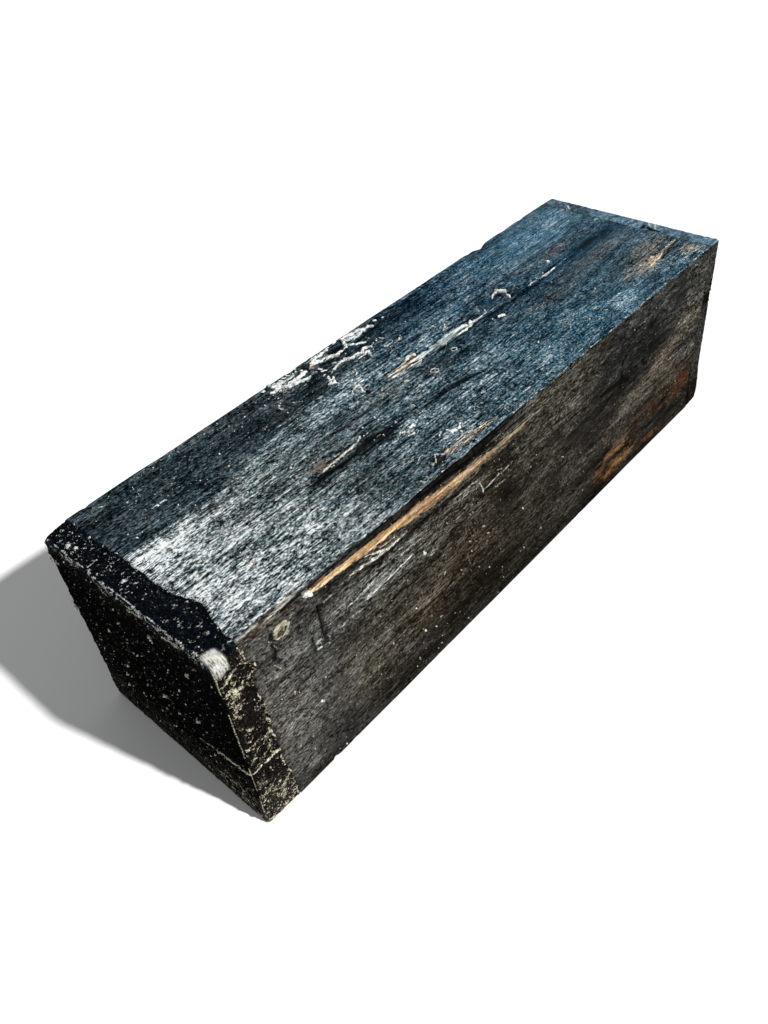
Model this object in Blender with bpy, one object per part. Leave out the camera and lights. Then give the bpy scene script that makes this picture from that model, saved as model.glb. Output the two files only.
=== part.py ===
"""Ebony block: a sawn square billet of ebony with a coat of black end seal on each end.

Frame: metres, +Z up. The length runs along Y, the near end at -Y, and the block
rests on z = 0. X = 0, Y = 0 is the middle of the block.
"""

import math

import bmesh
import bpy
from mathutils import Matrix

for old in list(bpy.data.objects):
    bpy.data.objects.remove(old, do_unlink=True)

# ---------------------------------------------------------------- dimensions (m)
LENGTH = 0.2536      # over both end seals
WIDTH = 0.0760       # over the seals
HEIGHT = 0.0743      # over the seals
SEAL = 0.0009        # thickness of the end-seal coat
GAP = 0.0003         # clearance between the coat and the wood
PROUD = 0.0004       # how far the coat stands above the sides and top of the wood
FRONT_LAP = 0.0086   # how far the near seal laps on to the long faces, on average
REAR_LAP = 0.0068    # the same at the far end
ARRIS = 0.0012       # radius of the long edges
SEAL_ARRIS = 0.0015  # radius of the long edges over the seal

SIDE_STEPS = 12      # points along each face of the section
ARC_STEPS = 4        # steps round each long edge
FACE_RINGS = 5       # rings from the edge of an end face to its middle

MM = 0.001


# ---------------------------------------------------------------- section of the block
def section_keys():
    """One (corner, share) pair for each point round the section. The corners are
    0 bottom left, 1 bottom right, 2 top right and 3 top left. A share up to 1 is
    the way round that corner's arc, and from 1 to 2 the way along the face after it."""
    keys = []
    for corner in range(4):
        for i in range(ARC_STEPS):
            keys.append((corner, i / ARC_STEPS))
        for i in range(SIDE_STEPS):
            keys.append((corner, 1.0 + i / SIDE_STEPS))
    return keys


KEYS = section_keys()


def around(key):
    """How far round the section a point is: 0 to 1 bottom, 1 to 2 right face,
    2 to 3 top from right to left, 3 to 4 left face downwards."""
    corner, share = key
    return corner + max(0.0, share - 1.0)


def section_point(key, half, low, high, radii):
    """A point (x, z) of a rectangle with four rounded corners."""
    corner, share = key
    signs = ((-1, -1), (1, -1), (1, 1), (-1, 1))

    def centre(n):
        sx, sz = signs[n]
        r = radii[n]
        return sx * (half - r), (low + r) if sz < 0 else (high - r)

    def on_arc(n, t):
        cx, cz = centre(n)
        turn = math.radians(180 + 90 * n + 90 * t)
        return cx + radii[n] * math.cos(turn), cz + radii[n] * math.sin(turn)

    if share <= 1.0:
        return on_arc(corner, share)
    ax, az = on_arc(corner, 1.0)
    bx, bz = on_arc((corner + 1) % 4, 0.0)
    t = share - 1.0
    return ax + (bx - ax) * t, az + (bz - az) * t


def bump(value, middle, spread):
    return math.exp(-(((value - middle) / spread) ** 2))


def wave(u, seed):
    """A small ripple round the section that closes on itself after u = 4."""
    turn = u * math.pi / 2
    return (
        math.sin(5 * turn + seed) * 0.5
        + math.sin(11 * turn + 2.3 * seed) * 0.3
        + math.sin(23 * turn + 4.1 * seed) * 0.2
    )


# ---------------------------------------------------------------- how far the seals lap
def front_reach(u):
    """Lap of the near seal: straight across the top with a swollen run near the right
    edge, and widening down the right face, with one tongue near its top."""
    reach = FRONT_LAP
    reach += 3.0 * MM * bump(u, 2.23, 0.10)            # swollen run on the top
    reach += 2.4 * MM * bump(u, 1.88, 0.035)           # tongue on the right face
    reach += 1.6 * MM * bump(u, 1.45, 0.40)            # right face, middle
    reach += 3.4 * MM * bump(u, 0.95, 0.32)            # lower right edge
    reach += 1.6 * MM * bump(u, 0.30, 0.35)            # underside
    reach += 1.2 * MM * bump(u, 3.60, 0.30)            # left face
    return reach + 0.35 * MM * wave(u, 0.7)


def rear_reach(u):
    reach = REAR_LAP
    reach += 1.3 * MM * bump(u, 1.30, 0.25)
    reach += 1.0 * MM * bump(u, 3.45, 0.30)
    reach += 0.8 * MM * bump(u, 0.40, 0.30)
    return reach + 0.40 * MM * wave(u, 2.1)


# ---------------------------------------------------------------- corners
def front_radii(d):
    """Radii of the long edges over the near seal, d from the end. The two upper
    corners are knocked off: the right one to a flat facet."""
    return (
        SEAL_ARRIS + 0.5 * MM * bump(d, 0, 5 * MM),
        SEAL_ARRIS + 0.6 * MM * bump(d, 0, 5 * MM),
        SEAL_ARRIS + 3.4 * MM * bump(d, 0, 3.6 * MM),
        SEAL_ARRIS + 2.6 * MM * bump(d, 0, 4.6 * MM),
    )


def rear_radii(d):
    return (
        SEAL_ARRIS + 0.5 * MM * bump(d, 0, 4 * MM),
        SEAL_ARRIS + 1.4 * MM * bump(d, 0, 4 * MM),
        SEAL_ARRIS + 1.6 * MM * bump(d, 0, 6 * MM),
        SEAL_ARRIS + 1.2 * MM * bump(d, 0, 4 * MM),
    )


def front_bevel(u):
    """Rounding between the end face and the long faces, near end."""
    return 1.3 * MM + 0.5 * MM * bump(u, 2.0, 0.12) + 0.4 * MM * bump(u, 3.0, 0.10)


def rear_bevel(u):
    """The same at the far end, with the lower right corner worn the most."""
    away = min(abs(u - 4.0), u)
    return (
        1.3 * MM
        + 1.9 * MM * bump(u, 1.0, 0.12)
        + 0.9 * MM * bump(u, 2.0, 0.10)
        + 1.1 * MM * bump(u, 3.0, 0.10)
        + 0.6 * MM * bump(away, 0.0, 0.10)
    )


# ---------------------------------------------------------------- mesh helpers
def skin(bm, rings):
    """Quads between rings of equal length."""
    for a, b in zip(rings, rings[1:]):
        n = len(a)
        for i in range(n):
            j = (i + 1) % n
            bm.faces.new((a[i], a[j], b[j], b[i]))


def ring_at(bm, sign, points):
    """A ring of vertices from (x, z, d) points, where d is the way in from the end."""
    return [bm.verts.new((x, sign * (LENGTH / 2 - d), z)) for x, z, d in points]


def new_object(name, bm, colour, roughness):
    bmesh.ops.recalc_face_normals(bm, faces=bm.faces)
    mesh = bpy.data.meshes.new(name)
    bm.to_mesh(mesh)
    bm.free()
    mesh.shade_smooth()
    mesh.set_sharp_from_angle(angle=math.radians(28))
    obj = bpy.data.objects.new(name, mesh)
    bpy.context.scene.collection.objects.link(obj)
    mat = bpy.data.materials.new(name)
    mat.use_nodes = True
    shader = next(n for n in mat.node_tree.nodes if n.type == "BSDF_PRINCIPLED")
    shader.inputs["Base Color"].default_value = (*colour, 1.0)
    shader.inputs["Roughness"].default_value = roughness
    shader.inputs["Metallic"].default_value = 0.0
    mat.diffuse_color = (*colour, 1.0)
    mesh.materials.append(mat)
    return obj


def end_rings(sign, layer, reach, radii, bevel, steps):
    """Points of one skin of an end, as rings from the lap to the end face.

    layer is how far the skin lies inside the outer face of the seal: 0 for the outside
    of the coat, SEAL for its inside, and SEAL + GAP for the wood below it."""
    half, low, high = WIDTH / 2 - layer, layer, HEIGHT - layer
    # a 45-degree bevel that lies layer inside another is smaller by 0.59 of layer
    shrink = layer * (2.0 - math.sqrt(2.0))
    shares = [i / steps for i in range(steps)]
    rings = []
    for share in shares:
        ring = []
        for key in KEYS:
            u = around(key)
            b = max(0.3 * MM, bevel(u) - shrink)
            d0, d1 = reach(u), layer + b
            d = d0 + (d1 - d0) * share
            r = [max(0.25 * MM, q - layer) for q in radii(d)]
            x, z = section_point(key, half, low, high, r)
            ring.append((x, z, d))
        rings.append(ring)
    for turn in (0.0, 30.0, 60.0, 90.0):
        ring = []
        for key in KEYS:
            b = max(0.3 * MM, bevel(around(key)) - shrink)
            inset = b * (1.0 - math.cos(math.radians(turn)))
            d = layer + b * (1.0 - math.sin(math.radians(turn)))
            r = [max(0.15 * MM, q - layer - inset) for q in radii(d)]
            x, z = section_point(key, half - inset, low + inset, high - inset, r)
            ring.append((x, z, d))
        rings.append(ring)
    return rings


def lumps(x, y, z, seed):
    """A slow unevenness from 0 to 1, for the brushed coat."""
    s = (
        math.sin(x * 310 + seed) * math.sin(z * 270 + 1.7 * seed)
        + 0.6 * math.sin(x * 730 - z * 540 + 2.9 * seed)
        + 0.4 * math.sin(z * 1150 + y * 900 + 0.6 * seed)
    )
    return 0.5 + 0.5 * s / 2.0


# ---------------------------------------------------------------- end seal
def end_seal(name, sign, reach, radii, bevel, seed):
    """The coat on one end: a cup 0.9 mm thick, brushed on, so its outside is uneven."""
    bm = bmesh.new()
    outer = end_rings(sign, 0.0, reach, radii, bevel, 4)
    middle_z = HEIGHT / 2
    rough = 0.22 * MM
    rings = []
    for ring in outer:
        row = []
        for x, z, d in ring:
            low = lumps(x, d, z, seed) * rough
            if z > 0.6 * MM and z < HEIGHT - 0.3 * MM:
                x -= math.copysign(low, x) if abs(x) > WIDTH * 0.42 else 0.0
            row.append((x, z, d))
        rings.append(ring_at(bm, sign, row))
    edge = outer[-1]
    for k in range(1, FACE_RINGS):
        share = 1.0 - k / FACE_RINGS
        row = []
        for x, z, d in edge:
            px, pz = x * share, middle_z + (z - middle_z) * share
            row.append((px, pz, lumps(px, 0.0, pz, seed) * rough))
        rings.append(ring_at(bm, sign, row))
    skin(bm, rings)
    hub = bm.verts.new((0.0, sign * (LENGTH / 2 - rough / 2), middle_z))
    last = rings[-1]
    for i in range(len(last)):
        bm.faces.new((last[i], last[(i + 1) % len(last)], hub))

    inner = [ring_at(bm, sign, ring) for ring in end_rings(sign, SEAL, reach, radii, bevel, 2)]
    skin(bm, inner)
    bm.faces.new(inner[-1])
    skin(bm, [rings[0], inner[0]])
    return new_object(name, bm, (0.013, 0.012, 0.011), 0.85)


# ---------------------------------------------------------------- the wood
def wood_radii(y):
    """Radii of the long edges of the wood. The top left edge has one bite out of it
    towards the far end, and the top right edge is worn at both ends."""
    bite = 2.6 * MM * bump(y, 75.5 * MM, 2.9 * MM)
    return (
        ARRIS,
        ARRIS + 0.3 * MM * bump(y, 60 * MM, 40 * MM),
        ARRIS + 0.9 * MM * bump(y, -108 * MM, 12 * MM) + 0.9 * MM * bump(y, 118 * MM, 12 * MM),
        ARRIS + bite,
    )


def wood():
    bm = bmesh.new()
    under = SEAL + GAP
    half, high = WIDTH / 2 - PROUD, HEIGHT - PROUD

    def end(sign, reach, radii, bevel):
        """Rings from the end face back to the step where the full section starts."""
        past = lambda u: reach(u) + GAP
        pts = end_rings(sign, under, past, radii, bevel, 2)
        rings = [ring_at(bm, sign, ring) for ring in reversed(pts)]
        step = []
        for key in KEYS:
            u = around(key)
            d = past(u)
            x, z = section_point(key, half, 0.0, high, wood_radii(sign * (LENGTH / 2 - d)))
            step.append((x, z, d))
        rings.append(ring_at(bm, sign, step))
        return rings

    near = end(-1, front_reach, front_radii, front_bevel)
    far = end(1, rear_reach, rear_radii, rear_bevel)
    stations = [(-108 + 14.0 * i) * MM for i in range(13)]
    stations += [(69.5 + 2.0 * i) * MM for i in range(7)]
    stations += [(92 + 8.0 * i) * MM for i in range(4)]
    middle = []
    for y in stations:
        row = []
        for key in KEYS:
            x, z = section_point(key, half, 0.0, high, wood_radii(y))
            row.append(bm.verts.new((x, y, z)))
        middle.append(row)
    rings = near + middle + list(reversed(far))
    skin(bm, rings)
    bm.faces.new(rings[0])
    bm.faces.new(rings[-1])
    return new_object("wood_block", bm, (0.030, 0.034, 0.040), 0.6)


# ---------------------------------------------------------------- cutters
def lens_cutter(name, length, width, depth, skew=0.0, points=18):
    """A pointed lens in plan, lying along its own Y, with its flat floor depth below
    its origin and its top above it."""
    bm = bmesh.new()
    outline = []
    for side in (1, -1):
        for i in range(points):
            t = i / points if side > 0 else 1.0 - i / points
            w = width / 2 * math.sin(math.pi * t) ** 0.8
            outline.append((side * w + skew * math.sin(math.pi * t), (t - 0.5) * length))
    floor = [bm.verts.new((0.55 * x, 0.9 * y, -depth)) for x, y in outline]
    rim = [bm.verts.new((x, y, 0.0)) for x, y in outline]
    top = [bm.verts.new((x, y, 2 * MM)) for x, y in outline]
    skin(bm, [floor, rim, top])
    bm.faces.new(floor)
    bm.faces.new(top)
    return as_cutter(name, bm)


def slot_cutter(name, length, width, depth):
    """A straight-sided recess with slightly sloped walls, lying along its own Y."""
    bm = bmesh.new()
    bmesh.ops.create_cube(bm, size=1.0)
    for v in bm.verts:
        v.co.x *= width * (1.0 if v.co.z > 0 else 0.8)
        v.co.y *= length * (1.0 if v.co.z > 0 else 0.92)
        v.co.z = 2 * MM if v.co.z > 0 else -depth
    return as_cutter(name, bm)


def as_cutter(name, bm):
    bmesh.ops.recalc_face_normals(bm, faces=bm.faces)
    mesh = bpy.data.meshes.new(name)
    bm.to_mesh(mesh)
    bm.free()
    obj = bpy.data.objects.new(name, mesh)
    bpy.context.scene.collection.objects.link(obj)
    obj.hide_render = True
    obj.display_type = "WIRE"
    return obj


def cut(target, cutter):
    mod = target.modifiers.new(cutter.name, "BOOLEAN")
    mod.operation = "DIFFERENCE"
    mod.solver = "EXACT"
    mod.object = cutter


def on_top(obj, x, y):
    obj.matrix_world = Matrix.Translation((x, y, HEIGHT - PROUD))


def on_right(obj, y, z, surface, upright=False):
    """Turns a cutter so that its own Z points out of the right face."""
    turn = Matrix.Rotation(math.radians(90), 4, "Y")
    spin = Matrix.Rotation(math.radians(90), 4, "Z") if upright else Matrix.Identity(4)
    obj.matrix_world = Matrix.Translation((surface, y, z)) @ turn @ spin


block = wood()

# the long lens-shaped check in the top face where a splinter has lifted
check = lens_cutter("cut_check", 43 * MM, 5.2 * MM, 0.9 * MM, skew=0.6 * MM)
on_top(check, -6.6 * MM, 8 * MM)
cut(block, check)

# a shorter one further along
check_2 = lens_cutter("cut_check_far", 22 * MM, 2.6 * MM, 0.6 * MM)
on_top(check_2, -2.8 * MM, 71 * MM)
cut(block, check_2)

# the squared notch mark and the short cross crack on the right face, near end
face = WIDTH / 2 - PROUD
mark = slot_cutter("cut_mark", 5.0 * MM, 14.0 * MM, 0.45 * MM)
on_right(mark, -93.5 * MM, 58.5 * MM, face)
cut(block, mark)

crack = slot_cutter("cut_crack", 12.0 * MM, 0.8 * MM, 1.0 * MM)
on_right(crack, -109.2 * MM, 61.5 * MM, face, upright=True)
cut(block, crack)

# the hollow where fibres have torn out, middle of the right face
torn = lens_cutter("cut_torn", 15 * MM, 8.0 * MM, 0.6 * MM, points=12)
on_right(torn, -11 * MM, 44 * MM, face)
cut(block, torn)

front = end_seal("end_seal_front", -1, front_reach, front_radii, front_bevel, 0.9)
rear = end_seal("end_seal_rear", 1, rear_reach, rear_radii, rear_bevel, 2.6)

# a chip out of the far seal on the right face
chip = slot_cutter("cut_chip", 4.4 * MM, 4.6 * MM, 1.05 * MM)
on_right(chip, 122.6 * MM, 50.6 * MM, WIDTH / 2)
cut(rear, chip)
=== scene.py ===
"""Looks of the ebony block: the sawn wood, its two end seals, and the wax, slivers and
crumbs that stick to it. Lengths in this file are millimetres until a mesh is made.

Places on the faces are written as (u, v): u runs along the block from the near end
(-127) to the far end (+127); v is -x on the top face (so +38 is its left edge), the
height z on the two sides, x on the underside and on the ends."""

import math

import bpy
import numpy as np
from mathutils import Matrix, Vector


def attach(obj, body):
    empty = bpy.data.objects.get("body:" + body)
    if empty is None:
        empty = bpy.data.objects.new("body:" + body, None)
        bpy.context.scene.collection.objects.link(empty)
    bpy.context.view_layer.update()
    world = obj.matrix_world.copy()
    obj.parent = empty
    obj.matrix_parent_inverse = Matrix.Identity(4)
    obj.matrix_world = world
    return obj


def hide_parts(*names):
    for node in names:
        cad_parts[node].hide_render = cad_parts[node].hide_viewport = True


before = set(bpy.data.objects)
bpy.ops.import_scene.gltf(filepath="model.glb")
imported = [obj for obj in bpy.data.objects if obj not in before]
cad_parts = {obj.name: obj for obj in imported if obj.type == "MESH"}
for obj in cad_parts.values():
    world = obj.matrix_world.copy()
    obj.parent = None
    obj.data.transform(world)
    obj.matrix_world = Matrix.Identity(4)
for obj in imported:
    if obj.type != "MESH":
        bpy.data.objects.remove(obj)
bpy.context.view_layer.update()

MM = 0.001
LENGTH, WIDTH, HEIGHT = 253.6, 76.0, 74.3
END = LENGTH / 2


# =============================================================== noise, in numpy
def _hash(ix, iy, iz, seed):
    n = (
        ix.astype(np.uint64) * np.uint64(374761393)
        + iy.astype(np.uint64) * np.uint64(668265263)
        + iz.astype(np.uint64) * np.uint64(2147483647)
        + np.uint64(seed * 144665 + 97)
    ) & np.uint64(0xFFFFFFFF)
    n = ((n ^ (n >> np.uint64(13))) * np.uint64(1274126177)) & np.uint64(0xFFFFFFFF)
    n = ((n ^ (n >> np.uint64(15))) * np.uint64(2246822519)) & np.uint64(0xFFFFFFFF)
    return ((n ^ (n >> np.uint64(16))) & np.uint64(0xFFFFFF)).astype(float) / 16777216.0


def noise(x, y, z, seed=0):
    """Smooth value noise, 0 to 1, one cell per unit."""
    x, y, z = np.broadcast_arrays(np.asarray(x, float), np.asarray(y, float), np.asarray(z, float))
    fx, fy, fz = np.floor(x), np.floor(y), np.floor(z)
    ix, iy, iz = (f.astype(np.int64) + 100000 for f in (fx, fy, fz))
    tx, ty, tz = (t * t * (3 - 2 * t) for t in (x - fx, y - fy, z - fz))
    out = 0.0
    for dx in (0, 1):
        wx = tx if dx else 1 - tx
        for dy in (0, 1):
            wy = ty if dy else 1 - ty
            for dz in (0, 1):
                wz = tz if dz else 1 - tz
                out = out + wx * wy * wz * _hash(ix + dx, iy + dy, iz + dz, seed)
    return out


def fbm(x, y, z, octaves=4, seed=0, gain=0.5):
    total, amp, norm = 0.0, 1.0, 0.0
    for k in range(octaves):
        f = 2.03**k
        total = total + amp * noise(x * f + 3.7 * k, y * f + 1.3 * k, z * f + 5.1 * k, seed + 17 * k)
        norm += amp
        amp *= gain
    return total / norm


def worley(x, y, z, seed=0):
    """Distances to the nearest and second nearest of one random point per cell, and
    a random number that belongs to the nearest."""
    x, y, z = np.broadcast_arrays(np.asarray(x, float), np.asarray(y, float), np.asarray(z, float))
    ix, iy, iz = (np.floor(c).astype(np.int64) for c in (x, y, z))
    near = np.full(x.shape, 9.0)
    second = np.full(x.shape, 9.0)
    who = np.zeros(x.shape)
    for dx in (-1, 0, 1):
        for dy in (-1, 0, 1):
            for dz in (-1, 0, 1):
                cx, cy, cz = ix + dx, iy + dy, iz + dz
                a, b, c = cx + 100000, cy + 100000, cz + 100000
                px = cx + _hash(a, b, c, seed + 1)
                py = cy + _hash(a, b, c, seed + 2)
                pz = cz + _hash(a, b, c, seed + 3)
                d = np.sqrt((px - x) ** 2 + (py - y) ** 2 + (pz - z) ** 2)
                closer = d < near
                second = np.where(closer, near, np.minimum(second, d))
                who = np.where(closer, _hash(a, b, c, seed + 4), who)
                near = np.where(closer, d, near)
    return near, second, who


def smooth(lo, hi, x):
    t = np.clip((x - lo) / (hi - lo), 0.0, 1.0)
    return t * t * (3 - 2 * t)


def bump(x, middle, spread):
    return np.exp(-(((x - middle) / spread) ** 2))


def spot(u, v, cu, cv, ru, rv, turn=0.0, hard=1.0):
    """A soft ellipse: 1 in the middle, 0.37 at ru and rv. turn is in degrees."""
    c, s = math.cos(math.radians(turn)), math.sin(math.radians(turn))
    a = ((u - cu) * c + (v - cv) * s) / ru
    b = (-(u - cu) * s + (v - cv) * c) / rv
    return np.exp(-((a * a + b * b) ** hard))


def reach_of(u, v, points, widths):
    """Distance from the line through points, over its half width there."""
    best = np.full(np.broadcast(u, v).shape, 99.0)
    if len(points) == 1:
        return np.hypot(u - points[0][0], v - points[0][1]) / widths[0]
    for (ax, ay), (bx, by), wa, wb in zip(points, points[1:], widths, widths[1:]):
        dx, dy = bx - ax, by - ay
        t = np.clip(((u - ax) * dx + (v - ay) * dy) / (dx * dx + dy * dy), 0.0, 1.0)
        w = np.maximum(0.05, wa + (wb - wa) * t)
        best = np.minimum(best, np.hypot(u - ax - dx * t, v - ay - dy * t) / w)
    return best


def stroke(u, v, points, widths):
    """A soft line: 1 on the line, 0.37 at the half width."""
    return np.exp(-(reach_of(u, v, points, widths) ** 2))


# =============================================================== section of the block
class Section:
    """Points round a rectangle with rounded corners. Corners are 0 bottom left,
    1 bottom right, 2 top right, 3 top left; faces are 0 bottom, 1 right, 2 top, 3 left."""

    def __init__(self, sides, arc):
        corner, share, u = [], [], []
        for k in range(4):
            for i in range(arc):
                corner.append(k)
                share.append(i / arc)
                u.append(float(k))
            for i in range(sides[k]):
                corner.append(k)
                share.append(1.0 + i / sides[k])
                u.append(k + i / sides[k])
        self.corner, self.share, self.u = np.array(corner), np.array(share), np.array(u)
        self.n = len(corner)

    def ring(self, half, low, high, radii):
        """One ring; each point has its own box and radii. Gives x, z and the normal."""
        k = self.corner
        sx = np.array([-1, 1, 1, -1])
        sz = np.array([-1, -1, 1, 1])
        idx = np.arange(self.n)

        def arc(c, t):
            r = radii[idx, c]
            cx = sx[c] * (half - r)
            cz = np.where(sz[c] < 0, low + r, high - r)
            a = np.radians(180 + 90 * c + 90 * t)
            return cx + r * np.cos(a), cz + r * np.sin(a), np.cos(a), np.sin(a)

        ax, az, nx, nz = arc(k, np.minimum(self.share, 1.0))
        bx, bz, _, _ = arc((k + 1) % 4, np.zeros(self.n))
        t = np.maximum(self.share - 1.0, 0.0)
        return ax + (bx - ax) * t, az + (bz - az) * t, nx, nz


# =============================================================== laps, corners and bevels
# nearly the construction, with crisper corners: how far each seal laps on to the long faces
# at s round the section (0 to 1 bottom, 1 to 2 right, 2 to 3 top from the right, 3 to 4 left)
def ripple(s, seed):
    t = s * math.pi / 2
    return np.sin(5 * t + seed) * 0.5 + np.sin(11 * t + 2.3 * seed) * 0.3 + np.sin(23 * t + 4.1 * seed) * 0.2


def front_reach(s):
    reach = 8.6 + 3.0 * bump(s, 2.23, 0.10) + 2.4 * bump(s, 1.88, 0.035)
    reach = reach + 1.6 * bump(s, 1.45, 0.40) + 3.4 * bump(s, 0.95, 0.32)
    reach = reach + 1.6 * bump(s, 0.30, 0.35) + 1.2 * bump(s, 3.60, 0.30)
    return reach + 0.35 * ripple(s, 0.7)


def rear_reach(s):
    reach = 6.8 + 1.3 * bump(s, 1.30, 0.25) + 1.0 * bump(s, 3.45, 0.30) + 0.8 * bump(s, 0.40, 0.30)
    return reach + 0.40 * ripple(s, 2.1)


def front_radii(d):
    return np.stack([1.1 + 0.3 * bump(d, 0, 5), 0.7 + 0.2 * bump(d, 0, 5),
                     1.3 + 3.0 * bump(d, 0, 3.4), 1.3 + 2.2 * bump(d, 0, 4.6)], -1)


def rear_radii(d):
    return np.stack([1.0 + 0.3 * bump(d, 0, 4), 1.0 + 1.2 * bump(d, 0, 4),
                     0.7 + 0.2 * bump(d, 0, 6), 0.9 + 0.3 * bump(d, 0, 4)], -1)


def front_bevel(s):
    return 1.2 - 0.5 * bump(s, 1.0, 0.30) + 0.5 * bump(s, 2.0, 0.12) + 0.3 * bump(s, 3.0, 0.10)


def rear_bevel(s):
    away = np.minimum(np.abs(s - 4.0), s)
    return 0.9 - 0.3 * bump(s, 1.0, 0.10) - 0.2 * bump(s, 2.0, 0.10) + 0.1 * bump(s, 3.0, 0.10) + 0.4 * bump(away, 0, 0.10)


# =============================================================== meshes
def link_mesh(name, verts, quads, tris=(), smooth_shade=True):
    """A mesh of quads and triangles, from millimetres."""
    mesh = bpy.data.meshes.new(name)
    verts = np.asarray(verts, np.float32) * np.float32(MM)
    quads = np.asarray(quads, np.int32).reshape(-1, 4)
    tris = np.asarray(tris, np.int32).reshape(-1, 3)
    loops = np.concatenate([quads.ravel(), tris.ravel()])
    total = np.concatenate([np.full(len(quads), 4), np.full(len(tris), 3)]).astype(np.int32)
    start = np.concatenate([[0], np.cumsum(total)[:-1]]).astype(np.int32)
    mesh.vertices.add(len(verts))
    mesh.vertices.foreach_set("co", verts.ravel())
    mesh.loops.add(len(loops))
    mesh.loops.foreach_set("vertex_index", loops)
    mesh.polygons.add(len(total))
    mesh.polygons.foreach_set("loop_start", start)
    mesh.polygons.foreach_set("loop_total", total)
    mesh.update(calc_edges=True)
    mesh.validate()
    if smooth_shade:
        mesh.shade_smooth()
    obj = bpy.data.objects.new(name, mesh)
    bpy.context.scene.collection.objects.link(obj)
    return obj


def give(obj, **layers):
    """Stores one number, or one colour, per vertex."""
    for name, values in layers.items():
        values = np.asarray(values, np.float32)
        if values.ndim == 1:
            layer = obj.data.attributes.new(name, "FLOAT", "POINT")
            layer.data.foreach_set("value", values)
        else:
            layer = obj.data.attributes.new(name, "FLOAT_VECTOR", "POINT")
            layer.data.foreach_set("vector", values.ravel())


def tube_faces(rows, n, start=0):
    """Quads between rows of n points each, closed round."""
    r = np.arange(rows - 1)[:, None] * n
    i = np.arange(n)[None, :]
    j = (i + 1) % n
    return np.stack([r + i, r + j, r + n + j, r + n + i], -1).reshape(-1, 4) + start


def linear(rgb):
    """Colours as the eye counts them, 0 to 255, made linear."""
    c = np.asarray(rgb, float) / 255.0
    return np.where(c <= 0.04045, c / 12.92, ((c + 0.055) / 1.055) ** 2.4)


# =============================================================== painting of the wood
# tone is how light the wood is, 0 to 1 as the eye sees it; tint is its hue, on the top partly a painted sky reflection;
# crisp is how strong the fine light and dark is; ink is a colour laid over it, such as tan sapwood;
# wax is a broken white film; the crack layer is dark: cracks and stains, and a few painted shadows beside chips
SLATE = np.array([0.80, 0.93, 1.0])
SILVER = np.array([0.925, 0.985, 1.0])
NAVY = np.array([0.60, 0.86, 1.0])
CHAR = np.array([0.72, 0.92, 1.0])
UMBER = np.array([1.0, 0.955, 0.84])
BROWN = np.array([1.0, 0.84, 0.60])
NEUTRAL = np.array([1.0, 0.985, 0.95])


def over(base, colour, amount):
    return base + (np.asarray(colour, float) - base) * np.clip(amount, 0, 1)[..., None]


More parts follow.
